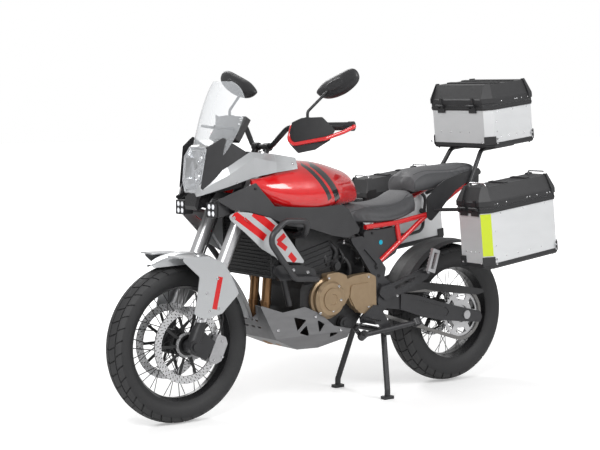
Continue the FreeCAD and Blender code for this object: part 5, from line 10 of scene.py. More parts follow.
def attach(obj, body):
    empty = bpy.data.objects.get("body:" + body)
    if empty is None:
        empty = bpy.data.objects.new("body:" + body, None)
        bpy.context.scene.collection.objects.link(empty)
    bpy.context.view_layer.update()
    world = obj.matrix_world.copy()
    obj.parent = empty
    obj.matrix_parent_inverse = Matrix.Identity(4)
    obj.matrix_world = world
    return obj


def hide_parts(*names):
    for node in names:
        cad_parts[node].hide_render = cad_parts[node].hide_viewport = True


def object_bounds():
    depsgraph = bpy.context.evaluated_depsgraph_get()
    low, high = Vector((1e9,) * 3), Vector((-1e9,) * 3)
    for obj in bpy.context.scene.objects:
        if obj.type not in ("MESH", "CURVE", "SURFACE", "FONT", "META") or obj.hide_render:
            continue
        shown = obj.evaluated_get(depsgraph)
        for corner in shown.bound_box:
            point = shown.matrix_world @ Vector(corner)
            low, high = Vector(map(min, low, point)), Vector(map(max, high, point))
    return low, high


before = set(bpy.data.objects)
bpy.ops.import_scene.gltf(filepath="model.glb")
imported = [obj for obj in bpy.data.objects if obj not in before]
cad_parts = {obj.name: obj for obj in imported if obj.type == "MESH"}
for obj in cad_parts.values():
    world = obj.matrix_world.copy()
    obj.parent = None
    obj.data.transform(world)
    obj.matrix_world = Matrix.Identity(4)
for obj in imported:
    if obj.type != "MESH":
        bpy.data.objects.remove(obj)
cad_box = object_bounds()

# The studio
# The camera stands where the photographer stood, to the left of the front wheel and a little above
# the seat. A white floor and three large soft lamps stand in for the photographic studio.
CAMERA_PLACE = (4.2171, 5.1727, 1.3556)
CAMERA_YAW, CAMERA_PITCH = math.radians(-128.148), math.radians(-5.009)
LENS_MM, FILM_MM = 91.61, 36.0
eye = bpy.data.cameras.new("photographer")
eye.lens, eye.sensor_width, eye.clip_end = LENS_MM, FILM_MM, 200.0
tripod = bpy.data.objects.new("photographer", eye)
tripod.location = CAMERA_PLACE
tripod.rotation_euler = Vector((
    math.cos(CAMERA_PITCH) * math.cos(CAMERA_YAW),
    math.cos(CAMERA_PITCH) * math.sin(CAMERA_YAW),
    math.sin(CAMERA_PITCH))).to_track_quat("-Z", "Y").to_euler()
bpy.context.scene.collection.objects.link(tripod)
bpy.context.scene.camera = tripod
bpy.context.scene.view_settings.view_transform = "Standard"


class Wire:
    """A shader socket to calculate with: each operator adds the Math node that does it."""

    def __init__(self, tree, socket=None):
        self.tree, self.socket = tree, socket

    def node(self, kind, values=(), out=0, **settings):
        """Adds a node: its settings first, then its sockets' values or wires; gives one output."""
        made = self.tree.nodes.new("ShaderNode" + kind)
        for name, value in settings.items():
            setattr(made, name, value)
        for name, value in dict(values).items():
            if isinstance(value, Wire):
                self.tree.links.new(value.socket, made.inputs[name])
            elif isinstance(value, tuple) and kind == "Mix":
                made.inputs[name].default_value = (*value, 1.0)
            else:
                made.inputs[name].default_value = value
        return Wire(self.tree, made.outputs[out])

    def maths(self, operation, *others):
        """Adds one Math node on this wire and the others."""
        return self.node("Math", enumerate((self, *others)), operation=operation)

    def __add__(self, other):
        return self.maths("ADD", other)

    def __sub__(self, other):
        return self.maths("SUBTRACT", other)

    def __rsub__(self, other):
        return self.node("Math", enumerate((other, self)), operation="SUBTRACT")

    def __mul__(self, other):
        return self.maths("MULTIPLY", other)

    def __gt__(self, other):
        return self.maths("GREATER_THAN", other)

    def __lt__(self, other):
        return self.maths("LESS_THAN", other)

    def __abs__(self):
        return self.maths("ABSOLUTE")

    __radd__, __rmul__ = __add__, __mul__

    def either(self, plain, marked):
        """Where this wire is 0 the colour plain, where it is 1 the colour marked."""
        return self.node("Mix", {0: self, 6: plain, 7: marked}, out=2, data_type="RGBA")

    def axes(self):
        """The x, y and z of this place."""
        split = self.node("SeparateXYZ", {0: self})
        made = split.socket.node
        return [Wire(self.tree, made.outputs[k]) for k in range(3)]

    def grain(self, scale, detail=2.0, stretch=(1.0, 1.0, 1.0)):
        """Noise at this place, scale being waves a metre, drawn out along an axis by stretch."""
        place = self.node("Mapping", {"Vector": self, "Scale": stretch})
        return self.node("TexNoise", {"Vector": place, "Scale": scale, "Detail": detail})

    def cells(self, scale):
        """How far this place is from the middle of its cell in a pattern of small cells."""
        return self.node("TexVoronoi", {"Vector": self, "Scale": scale})


def finish(name, surface):
    """A material whose shader gets what surface(place) says, place being metres on the object.

    "Bump" is a pair of a height wire and its depth in metres."""
    made = bpy.data.materials.new(name)
    made.use_nodes = True
    tree = made.node_tree
    shader = tree.nodes["Principled BSDF"]
    place = Wire(tree).node("TexCoord", out="Object")
    for socket, value in surface(place).items():
        if socket == "Bump":
            socket = "Normal"
            value = place.node("Bump", {"Height": value[0], "Distance": value[1], "Strength": 1.0})
        if isinstance(value, Wire):
            tree.links.new(value.socket, shader.inputs[socket])
        elif isinstance(value, tuple):
            shader.inputs[socket].default_value = (*value, 1.0)
        else:
            shader.inputs[socket].default_value = value
    return made


def dress(material, *nodes):
    """Gives the CAD nodes their finish, and keeps their names."""
    for node in nodes:
        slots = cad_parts[node].data.materials
        slots.clear()
        slots.append(material)


FLOOR_HALF, FLOOR_WHITE, FLOOR_GLOW = 30.0, 0.86, 0.32
FLOOR_NEAR, FLOOR_FAR, FLOOR_BELOW = 1.4, 4.5, 0.0005
floor_mesh = bpy.data.meshes.new("studio_floor")
floor_mesh.from_pydata([(x * FLOOR_HALF, y * FLOOR_HALF, cad_box[0][2] - FLOOR_BELOW)
                        for x, y in ((-1, -1), (1, -1), (1, 1), (-1, 1))], [], [(0, 1, 2, 3)])
studio_floor = bpy.data.objects.new("studio_floor", floor_mesh)
bpy.context.scene.collection.objects.link(studio_floor)
floor_paint = finish("floor_paint", lambda place: {
    "Base Color": (FLOOR_WHITE,) * 3, "Roughness": 0.55})
floor_shader = floor_paint.node_tree.nodes["Principled BSDF"]
floor_shader.inputs["Emission Color"].default_value = (1, 1, 1, 1)
floor_wires = Wire(floor_paint.node_tree)
away = floor_wires.node("VectorMath", {0: floor_wires.node("TexCoord", out="Object")}, out="Value",
                        operation="LENGTH")
glow = floor_wires.node("MapRange", {
    "Value": away, "From Min": FLOOR_NEAR, "From Max": FLOOR_FAR, "To Min": FLOOR_GLOW,
    "To Max": 1.0}, interpolation_type="SMOOTHSTEP")
floor_paint.node_tree.links.new(
    (floor_wires.node("LightPath", out="Is Camera Ray") * glow).socket,
    floor_shader.inputs["Emission Strength"])
floor_mesh.materials.append(floor_paint)

studio = bpy.data.worlds.new("studio")
studio.use_nodes = True
bpy.context.scene.world = studio
SKY_SOFT, SKY_MIRRORED = 0.38, 0.62
sky_wires = Wire(studio.node_tree)
seen_directly = sky_wires.node("LightPath", out="Is Camera Ray").maths(
    "MAXIMUM", sky_wires.node("LightPath", out="Is Transmission Ray"))
sky = (seen_directly * (1.0 - SKY_SOFT) + SKY_SOFT).maths(
    "MAXIMUM", sky_wires.node("LightPath", out="Is Glossy Ray") * SKY_MIRRORED)
studio.node_tree.links.new(sky.socket, studio.node_tree.nodes["Background"].inputs["Strength"])
studio.node_tree.nodes["Background"].inputs["Color"].default_value = (1, 1, 1, 1)

LAMPS_AIM = Vector((0, 0, 0.6))
for name, place, size, watts in (("lamp_front", (3.4, 2.6, 3.6), 1.8, 150.0),
                                 ("lamp_side", (-1.6, 4.2, 3.0), 1.8, 110.0),
                                 ("lamp_far", (-0.5, -3.6, 3.4), 2.0, 95.0)):
    softbox = bpy.data.lights.new(name, "AREA")
    softbox.size, softbox.energy = size, watts
    stand = bpy.data.objects.new(name, softbox)
    stand.location = place
    stand.rotation_euler = (LAMPS_AIM - Vector(place)).to_track_quat("-Z", "Y").to_euler()
    bpy.context.scene.collection.objects.link(stand)

# Tyres
# Tubeless tyres, 19 inch in front and 17 inch behind, moulded in black rubber. Each is one closed
# skin: the tread blocks stand up from grooves in the mesh itself, between plain sidewalls.
MIDDLE_X, WHEELBASE = 0.7104845, 1.5
FRONT_AXLE = np.array((WHEELBASE - MIDDLE_X, 0.0, 0.329))
REAR_AXLE = np.array((-MIDDLE_X, 0.0, 0.327))
TREAD_DEPTH, CROWN_SQUARENESS, GROOVE_LEAN = 0.0055, 0.86, 1.35
# From the sidewall to the crown: the lean, the share of the depth that a groove all round is cut to
# there, whether the aslant grooves cross the row, and how many pitches they have shifted by.
TREAD_ROWS = (
    (2.2, 0, 0, 0), (2.0, 0, 0, 0), (1.98, 0, 0, 0), (1.93, 0, 0, 0), (1.91, 0, 0, 0),
    (1.75, 0, 0, 0), (1.6, 0, 0, 0), (1.45, 0, 0, 0), (1.3, 0, 0, 0.9), (1.27, 0, 1, 0.88),
    (1.1, 0, 1, 0.8), (0.9, 0, 1, 0.68), (0.72, 0, 1, 0.56), (0.70, 0, 1, 0.55),
    (0.685, 1, 1, 0.54), (0.635, 1, 1, 0.32), (0.62, 0, 1, 0.31), (0.6, 0, 1, 0.30),
    (0.4, 0, 1, 0.2), (0.2, 0, 1, 0.1), (0.055, 0, 1, 0.03), (0.045, 0.8, 1, 0.02))
# Round the wheel in one pitch: the share of the pitch, and whether the aslant groove lies there.
PITCH_STEPS = ((0.0, 1), (0.085, 1), (0.105, 0), (0.3, 0), (0.5, 0), (0.7, 0), (0.98, 0))
MERGE_NEAR, SLIVER = 2e-6, 1e-7


def skin(points, ring=False, loop=False):
    """Four-cornered faces over a grid of points; its rows may close to a ring, its columns to a
    loop."""
    index = np.arange(points.shape[0] * points.shape[1]).reshape(points.shape[:2])
    if ring:
        index = np.vstack((index, index[:1]))
    if loop:
        index = np.hstack((index, index[:, :1]))
    quads = np.stack((index[:-1, :-1], index[1:, :-1], index[1:, 1:], index[:-1, 1:]), -1)
    return points.reshape(-1, 3), quads.reshape(-1, 4)


def piece(name, skins, material, body, nodes=(), crease=38.0):
    """One object of several skins, its seams merged and its faces turned outwards, on a body."""
    starts = np.cumsum([0] + [len(points) for points, _ in skins[:-1]])
    mesh = bpy.data.meshes.new(name)
    corners = np.vstack([points for points, _ in skins])
    faces = np.vstack([quads + start for (_, quads), start in zip(skins, starts)])
    mesh.from_pydata(corners.tolist(), [], faces.tolist())
    whole = bmesh.new()
    whole.from_mesh(mesh)
    bmesh.ops.remove_doubles(whole, verts=whole.verts, dist=MERGE_NEAR)
    bmesh.ops.dissolve_degenerate(whole, edges=whole.edges, dist=SLIVER)
    bmesh.ops.recalc_face_normals(whole, faces=whole.faces)
    whole.to_mesh(mesh)
    whole.free()
    mesh.polygons.foreach_set("use_smooth", [True] * len(mesh.polygons))
    mesh.set_sharp_from_angle(angle=math.radians(crease))
    mesh.materials.append(material)
    made = bpy.data.objects.new(name, mesh)
    bpy.context.scene.collection.objects.link(made)
    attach(made, body)
    if nodes:
        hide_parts(*nodes)
    return made


def tyre(wheel, axle, crown_r, bead_r, width, rim_width, pitches, rubber):
    """Section by the lean from the crown: y = half width * sin(lean) all the way; the radius is
    wide_r + rise * cos(lean), with one rise above the widest line and another down to the bead.
    Round the wheel a groove comes once a pitch, shifted along by the lean so that it runs aslant."""
    lean_end = math.pi - math.asin(rim_width / width)
    wide_r = (crown_r + bead_r) / 2
    side = [(lean_end, 0, 0, 0)] + [row for row in TREAD_ROWS if row[0] <= lean_end]
    rows = np.array([(-lean, *others) for lean, *others in side] + side[::-1])
    lean, groove, crossed, shift = rows.T
    steps = np.array(PITCH_STEPS)
    turn = (np.arange(pitches)[:, None] + steps[:, 0]).ravel()[:, None] + shift
    across = np.tile(steps[:, 1], pitches)[:, None]
    deep = TREAD_DEPTH * np.maximum(groove, crossed * across)
    above = np.cos(lean) > 0
    rise = np.where(above, crown_r - wide_r, (wide_r - bead_r) / -math.cos(lean_end))
    flat = np.where(above, np.abs(np.cos(lean)) ** CROWN_SQUARENESS, -np.abs(np.cos(lean)))
    radius = wide_r + rise * flat - deep * np.abs(np.cos(lean / GROOVE_LEAN))
    angle = turn * 2 * math.pi / pitches
    y = np.broadcast_to(width / 2 * np.sin(lean), angle.shape) - deep * np.sin(lean / GROOVE_LEAN)
    grid = np.stack((axle[0] + radius * np.cos(angle), y, axle[2] + radius * np.sin(angle)), -1)
    return piece(wheel + "_tyre_treaded", [skin(grid, ring=True, loop=True)], rubber,
                 wheel + "_wheel", [wheel + "_tyre"], 30.0)


def radius_about(place, centre):
    """The radius of a place about a line across the machine, such as an axle."""
    x, _, z = place.axes()
    x, z = x - float(centre[0]), z - float(centre[2])
    return (x.maths("POWER", 2.0) + z.maths("POWER", 2.0)).maths("SQRT")


def tyre_rubber(name, axle, wall_r):
    """Dusty black on the tread, a little blacker and glossier on the sidewalls."""
    return finish(name, lambda p: {
        "Base Color": (radius_about(p, axle) > wall_r).either(
            (0.014, 0.014, 0.015), (0.030, 0.030, 0.031)),
        "Roughness": p.grain(160) * 0.2 + 0.5 + (radius_about(p, axle) > wall_r) * 0.08,
        "Bump": (p.grain(900), 0.0003)})


tyre("front", FRONT_AXLE, crown_r=0.329, bead_r=0.2405, width=0.112, rim_width=0.072, pitches=38,
     rubber=tyre_rubber("front_rubber", FRONT_AXLE, wall_r=0.303))
tyre("rear", REAR_AXLE, crown_r=0.321, bead_r=0.2155, width=0.150, rim_width=0.114, pitches=34,
     rubber=tyre_rubber("rear_rubber", REAR_AXLE, wall_r=0.290))

# Rims, spokes and hubs
# Satin black aluminium rims laced to black hubs with bright stainless spokes. The rim's outer half
# is paint, and all that lies nearer the hub is drawn wire.


def two_tone(name, tones, rough, bump=None, metallic=0.0, coat=0.0):
    """A finish of two tones mixed by noise: (waves a metre, one tone, the other). rough is a number,
    or finer noise times a spread on a base: (waves, spread, base). bump is (waves, metres)."""
    def surface(place):
        waves, one, other = tones
        said = {"Base Color": place.grain(waves).either(one, other), "Roughness": rough,
                "Metallic": metallic, "Coat Weight": coat}
        if isinstance(rough, tuple):
            said["Roughness"] = place.grain(rough[0]) * rough[1] + rough[2]
        if bump:
            said["Bump"] = (place.grain(bump[0]), bump[1])
        return said
    return finish(name, surface)


def rim_finish(name, axle, spoke_r):
    """Black paint beyond the spoke circle, bright wire inside it."""
    return finish(name, lambda p: {
        "Base Color": (radius_about(p, axle) > spoke_r).either(
            (0.62, 0.62, 0.63), (0.012, 0.012, 0.013)),
        "Metallic": radius_about(p, axle) < spoke_r,
        "Roughness": p.grain(420) * 0.08 + 0.24, "Bump": (p.grain(1200), 0.00005)})


dress(rim_finish("front_rim_paint", FRONT_AXLE, 0.2185), "front_rim")
dress(rim_finish("rear_rim_paint", REAR_AXLE, 0.194), "rear_rim")
BLACK_ALLOY = two_tone("black_alloy", (60, (0.017, 0.017, 0.018), (0.026, 0.026, 0.028)),
                       (400, 0.15, 0.35), (1500, 0.0001), metallic=0.35)
dress(BLACK_ALLOY, "front_hub", "rear_hub", "fork_yokes", "handlebar")

# Brake discs, sprocket and chain
# Ground steel discs with a drilled band on black carriers, and a toothed sprocket. The drilled
# plates are cut in the mesh: each hole sits in its own cell of the ring.
DISC_HOLES, DISC_ROWS, HOLE_R, HOLE_RING, ROW_SHIFT = 40, 3, 0.0031, 12, 0.35
DISC_HALF_THICK, DISC_PROUD = 0.0025, 0.0004
SENSOR_IN, SENSOR_OUT = 0.0432, 0.0525


def drilled_ring(axle, y_low, y_high, inner_r, outer_r):
    """Ring of cells, row by row: in a cell the ring of the hole is joined to the cell's edge, the
    edge being a square walked round once in polar shares; both faces and the holes' walls."""
    walk = np.arange(HOLE_RING) / HOLE_RING * 8.0
    square_out = np.clip(np.abs((walk + 2) % 8 - 4) - 2, -1, 1)
    square_round = np.clip(np.abs(walk % 8 - 4) - 2, -1, 1)
    spin = np.arctan2(square_round, square_out)
    depth = (outer_r - inner_r) / DISC_ROWS
    skins = []
    for row in range(DISC_ROWS):
        middle = inner_r + depth * (row + 0.5)
        centre = (np.arange(DISC_HOLES) + ROW_SHIFT * row)[:, None] * 2 * math.pi / DISC_HOLES
        edge = middle + square_out * depth / 2, centre + square_round * math.pi / DISC_HOLES
        hole = middle + HOLE_R * np.cos(spin), centre + HOLE_R * np.sin(spin) / middle
        walls = ((edge, y_low), (hole, y_low), (hole, y_high), (edge, y_high))
        rings = [np.stack((axle[0] + radius * np.cos(angle), np.full(angle.shape, y),
                           axle[2] + radius * np.sin(angle)), -1) for (radius, angle), y in walls]
        skins += [skin(cell, ring=True) for cell in np.stack(rings, 2)]
    return skins


def between(wire, low, high):
    """1 where the wire lies between two values."""
    return (wire > low) * (wire < high)


def disc_finish(name, axle, ring_r):
    """The ring under the drilled plates is painted dark grey: painted shade seen through the holes;
    the carrier is black, with the bright slotted sensor ring near the hub."""
    def surface(place):
        radius = radius_about(place, axle)
        # plain: the black carrier, and the painted shade of the holes on the ring beyond ring_r.
        plain = (radius > ring_r).either((0.02, 0.02, 0.021), (0.05, 0.05, 0.05))
        slotted = place.cells(240).either((0.08, 0.08, 0.08), (0.55, 0.55, 0.56))
        return {"Base Color": between(radius, SENSOR_IN, SENSOR_OUT).either(plain, slotted),
                "Roughness": place.grain(500) * 0.1 + 0.4, "Metallic": 0.3}
    return finish(name, surface)


STEEL = two_tone("ground_steel", (35, (0.52, 0.52, 0.53), (0.66, 0.66, 0.67)), (900, 0.1, 0.26),
                 metallic=0.9)
CHAIN_STEEL = two_tone("chain_steel", (900, (0.07, 0.066, 0.062), (0.34, 0.335, 0.33)), 0.34,
                       metallic=0.85)
for wheel, axle, node, middles, inner_r, outer_r in (
        ("front", FRONT_AXLE, "front_discs", (0.068, -0.068), 0.1265, 0.158),
        ("rear", REAR_AXLE, "rear_disc", (-0.080,), 0.093, 0.122)):
    plates = []
    for middle in middles:
        half = DISC_HALF_THICK + DISC_PROUD
        plates += drilled_ring(axle, middle - half, middle + half, inner_r, outer_r + DISC_PROUD)
    piece(wheel + "_disc_plates", plates, STEEL, wheel + "_wheel")
    dress(disc_finish(wheel + "_disc_carrier_hole_shade", axle, inner_r), node)
dress(STEEL, "rear_sprocket")
dress(CHAIN_STEEL, "drive_chain")

# Forks and brake calipers
# Upside-down fork: satin anodised upper tubes in black yokes, chromed sliders below them, and a
# black axle clamp at the foot. Cast calipers, satin silver, with black brake hoses.
ANODISED = finish("anodised_tube", lambda p: {
    "Base Color": p.grain(24, 2, (1, 1, 0.1)).either((0.50, 0.50, 0.51), (0.62, 0.62, 0.63)),
    "Roughness": p.grain(700) * 0.08 + 0.26, "Metallic": 0.8})
CLAMP_TOP = 0.425
SLIDER = finish("slider_chrome", lambda p: {
    "Base Color": (p.axes()[2] > CLAMP_TOP).either((0.022, 0.022, 0.024), (0.7, 0.7, 0.72)),
    "Metallic": (p.axes()[2] > CLAMP_TOP) * 0.75 + 0.2,
    "Roughness": (p.axes()[2] < CLAMP_TOP) * 0.28 + 0.14})
CALIPER = two_tone("cast_caliper", (90, (0.34, 0.34, 0.35), (0.44, 0.44, 0.45)),
                   (600, 0.15, 0.36), (2400, 0.00012), metallic=0.75)
HOSE_RUBBER = two_tone("hose_rubber", (300, (0.010, 0.010, 0.011), (0.020, 0.020, 0.021)),
                       (220, 0.2, 0.5), (900, 0.0002))
dress(ANODISED, "fork_tubes")
dress(SLIDER, "fork_legs")
dress(CALIPER, "front_calipers", "rear_caliper")
dress(HOSE_RUBBER, "brake_hoses")

# Painted bodywork
# Silver fender, nose panels and radiator wings, a red tank and red hand guards, all moulded and
# lacquered. The wings carry plain red stripes, and the tank two plain black ones on each side.


def outer_face(place):
    """1 on the faces that look away from the machine's middle plane, by the mesh's own normal."""
    turned_out = place.node("TexCoord", out="Normal").axes()[1] * place.axes()[1]
    return turned_out > 0.0


def slanted(place, across, start, end):
    """1 inside a band as wide as across, whose middle line runs from one (x, z) to another."""
    (x0, z0), (x1, z1) = start, end
    length = math.hypot(x1 - x0, z1 - z0)
    ux, uz = (x1 - x0) / length, (z1 - z0) / length
    x, _, z = place.axes()
    x, z = x - (x0 - MIDDLE_X), z - z0
    run = x * ux + z * uz
    off = abs(x * -uz + z * ux)
    return (off < across / 2) * (run > 0.0) * (run < length)


def any_of(*masks):
    """1 where one of the masks is 1."""
    whole = masks[0]
    for mask in masks[1:]:
        whole = whole.maths("MAXIMUM", mask)
    return whole


def silver_flake(place):
    """Fine metal flakes in silver lacquer."""
    return place.cells(5200).either((0.40, 0.41, 0.42), (0.50, 0.51, 0.52))


RED, BLACK_PRINT, CHEEK_DARK = (0.60, 0.004, 0.006), (0.010, 0.010, 0.011), (0.024, 0.024, 0.026)
RED_LACQUER = (40, (0.56, 0.003, 0.005), (0.64, 0.005, 0.008))
# Stripes: how wide each is, and the (x, z) that it runs from and to, x from the rear axle.
WING_BANDS = ((0.030, (1.345, 0.862), (1.205, 0.758)), (0.032, (1.258, 0.864), (1.165, 0.794)),
              (0.022, (1.143, 0.738), (1.106, 0.766)), (0.022, (1.143, 0.738), (1.098, 0.706)),
              (0.026, (1.082, 0.684), (1.050, 0.652)))
TANK_BANDS = ((0.022, (0.952, 1.05), (0.850, 0.900)), (0.034, (0.905, 1.05), (0.790, 0.890)))
FENDER_BAND = (0.024, (1.385, 0.606), (1.416, 0.476))
CHEEK_X, CHEEK_Y = 1.150, 0.1962


def wing_surface(place):
    """Silver with red stripes on its outer face; the moulding behind it, lower in y, is dark."""
    x, y, _ = place.axes()
    moulding = (abs(y) < CHEEK_Y) * (x < CHEEK_X - MIDDLE_X)
    striped = any_of(*[slanted(place, *band) for band in WING_BANDS]) * outer_face(place)
    return {"Base Color": moulding.either(striped.either(silver_flake(place), RED), CHEEK_DARK),
            "Roughness": place.grain(30) * 0.06 + 0.3, "Metallic": 0.3, "Coat Weight": 0.4}


def fender_surface(place, *bands):
    """Silver lacquer, with a red stripe on the outer face for each band."""
    silver = silver_flake(place)
    for band in bands:
        silver = (slanted(place, *band) * outer_face(place)).either(silver, RED)
    return {"Base Color": silver, "Roughness": place.grain(30) * 0.06 + 0.3,
            "Metallic": 0.5, "Coat Weight": 0.5}


def tank_surface(place):
    """Deep red lacquer with two black bands over each flank."""
    waves, one, other = RED_LACQUER
    printed = any_of(*[slanted(place, *band) for band in TANK_BANDS])
    return {"Base Color": printed.either(place.grain(waves).either(one, other), BLACK_PRINT),
            "Roughness": place.grain(60) * 0.04 + 0.18, "Coat Weight": 1.0}


dress(finish("silver_paint", fender_surface), "nose_panels")
dress(finish("fender_paint", lambda place: fender_surface(place, FENDER_BAND)), "front_fender")
dress(finish("wing_paint", wing_surface), "radiator_shrouds")
dress(finish("tank_paint", tank_surface), "fuel_tank")
dress(two_tone("red_paint", RED_LACQUER, (60, 0.04, 0.2), coat=1.0), "guard_hoops")

# Plastics, frame and engine
# Grained black and dark grey mouldings, the dark grey main frame and the red rear frame, the black
# engine block with its bronze covers, tinted header pipes and the brushed skid plate.
BLACK_PLASTIC = two_tone("black_plastic", (30, (0.015, 0.015, 0.016), (0.024, 0.024, 0.026)),
                         (800, 0.1, 0.42), (2200, 0.00012))
DARK_TONES = (20, (0.022, 0.022, 0.024), (0.034, 0.034, 0.036))
DARK_PLASTIC = two_tone("dark_plastic", DARK_TONES, (800, 0.12, 0.46), (1800, 0.00016))
FRAME_TONES = (25, (0.030, 0.030, 0.032), (0.044, 0.044, 0.047))
FRAME_PAINT = two_tone("frame_paint", FRAME_TONES, 0.38, (1300, 0.0001), metallic=0.3)
RED_FRAME = two_tone("red_frame_paint", (40, (0.50, 0.005, 0.007), (0.60, 0.007, 0.010)),
                     0.26, (700, 0.00005), coat=0.7)
ENGINE_BLACK = two_tone("engine_black", (70, (0.016, 0.016, 0.017), (0.036, 0.036, 0.038)),
                        (300, 0.16, 0.36), (1600, 0.0002), metallic=0.35)
BRONZE = two_tone("bronze_paint", (45, (0.27, 0.19, 0.115), (0.34, 0.25, 0.155)),
                  (500, 0.1, 0.32), (1400, 0.0001), metallic=0.6)
POWDER = two_tone("powder_coat", (50, (0.026, 0.026, 0.028), (0.040, 0.040, 0.043)),
                  0.4, (2500, 0.00008), metallic=0.2)
BADGE_CENTRE, BADGE_R, BADGE_BLUE = (0.5104 - MIDDLE_X, 0.0, 0.692), 0.0105, (0.0, 0.36, 0.52)
CAN_FRONT_X = 0.335
NUT_R, NUT_OUT_Y, NUT_STEEL = 0.0205, 0.1445, (0.5, 0.5, 0.51)
PEG_OUT_Y, PEG_LOW_Z = 0.216, 0.5
MIRROR_BACK_X, MIRROR_LOW_Z, MIRROR_SILVER = 0.9335, 1.30, (0.75, 0.77, 0.80)


def side_surface(place):
    """Dark moulding with the plain blue badge on the side cover."""
    waves, one, other = DARK_TONES
    badge = radius_about(place, BADGE_CENTRE) < BADGE_R
    return {"Base Color": badge.either(place.grain(waves).either(one, other), BADGE_BLUE),
            "Roughness": place.grain(800) * 0.12 + 0.44, "Bump": (place.grain(1800), 0.00016)}


def exhaust_surface(place):
    """Header pipes tinted brown by heat, and the dark brushed silencer behind them."""
    pipes = place.grain(18, stretch=(1, 1, 0.4)).either((0.20, 0.10, 0.045), (0.34, 0.20, 0.10))
    can = place.grain(90, stretch=(0.1, 1, 1)).either((0.10, 0.10, 0.105), (0.16, 0.16, 0.165))
    return {"Base Color": (place.axes()[0] < CAN_FRONT_X - MIDDLE_X).either(pipes, can),
            "Roughness": place.grain(200) * 0.12 + 0.26, "Metallic": 0.9}


def arm_surface(place):
    """The frame's paint, and the bare steel of the axle's nuts at the swingarm's ends."""
    waves, one, other = FRAME_TONES
    near = radius_about(place, REAR_AXLE) < NUT_R
    nut = near * (abs(place.axes()[1]) > NUT_OUT_Y)
    return {"Base Color": nut.either(place.grain(waves).either(one, other), NUT_STEEL),
            "Roughness": 0.36, "Metallic": near * 0.6 + 0.3, "Bump": (place.grain(1300), 0.0001)}


def core_surface(place):
    """The radiator's core: its small cells are painted shade, darker than the webs between them."""
    web = place.cells(170) > 0.42
    return {"Base Color": web.either((0.003, 0.003, 0.003), (0.030, 0.030, 0.031)),
            "Roughness": 0.46, "Metallic": 0.3}


def plate_surface(place):
    """Brushed grey plate."""
    lines = place.grain(40, 3, (0.2, 1, 1))
    return {"Base Color": lines.either((0.15, 0.15, 0.155), (0.24, 0.24, 0.245)),
            "Roughness": place.grain(200, stretch=(0.1, 1, 1)) * 0.1 + 0.34, "Metallic": 0.7}


def peg_surface(place):
    """Black hangers, and the bare cast pegs of the passenger."""
    _, y, z = place.axes()
    black = place.grain(90).either((0.030, 0.030, 0.032), (0.055, 0.055, 0.058))
    bare = place.grain(300).either((0.34, 0.34, 0.35), (0.46, 0.46, 0.47))
    return {"Base Color": ((abs(y) > PEG_OUT_Y) * (z > PEG_LOW_Z)).either(black, bare),
            "Roughness": 0.4, "Metallic": 0.5, "Bump": (place.grain(1800), 0.0001)}


def mirror_surface(place):
    """Black housings and stems, and silvered glass on the side that faces the rider."""
    x, _, z = place.axes()
    glass = (x < MIRROR_BACK_X - MIDDLE_X) * (z > MIRROR_LOW_Z)
    black = place.grain(30).either((0.015, 0.015, 0.016), (0.024, 0.024, 0.026))
    return {"Base Color": glass.either(black, MIRROR_SILVER), "Metallic": glass,
            "Roughness": (x > MIRROR_BACK_X - MIDDLE_X) * 0.4 + 0.03}


for material, nodes in (
        (BLACK_PLASTIC, "cockpit fog_lamps hand_guards case_trim top_case_lid pannier_left_lid "
                        "pannier_right_lid"),
        (finish("side_moulding", side_surface), "side_panels"), (DARK_PLASTIC, "rear_mudguard"),
        (FRAME_PAINT, "main_frame"), (finish("arm_paint", arm_surface), "swingarm"),
        (RED_FRAME, "subframe"), (ENGINE_BLACK, "crankcase"), (BRONZE, "engine_covers"),
        (finish("header_heat", exhaust_surface), "exhaust"),
        (finish("black_core_cell_shade", core_surface), "radiator"),
        (POWDER, "crash_bars luggage_rack centre_stand side_stand rear_shock"),
        (finish("cast_peg", peg_surface), "footpegs"),
        (finish("plate_grey", plate_surface), "skid_plate"),
        (finish("mirror_moulding", mirror_surface), "mirrors")):
    dress(material, *nodes.split())

# Seats
# Rider's and passenger's pads: foam under a grained grey cover. Each starts as its solid, slightly
# smaller, is blown up as cloth against a cap, and gets its sewn seams laid on afterwards.
PAD_VOXEL, PAD_SHRINK, PAD_CAP, PAD_FRAMES, PAD_PRESSURE = 0.006, 0.004, 0.007, 20, 4.0
CLOTH_STEPS, CLOTH_MASS, CLOTH_STIFF, CLOTH_BEND = 5, 0.25, 18.0, 1.2
FACES_DOWN, PAD_MERGE, LEAST_MOVE = -0.55, 1e-5, 1e-9
TOP_HALF_WIDTH = 0.088
COVER = finish("seat_cover", lambda p: {
    "Base Color": (abs(p.axes()[1]) < TOP_HALF_WIDTH).either(
        p.grain(50).either((0.045, 0.046, 0.049), (0.062, 0.063, 0.067)),
        p.grain(50).either((0.085, 0.086, 0.090), (0.112, 0.113, 0.118))),
    "Roughness": p.grain(300) * 0.12 + 0.52, "Bump": (p.cells(620), 0.00035)})


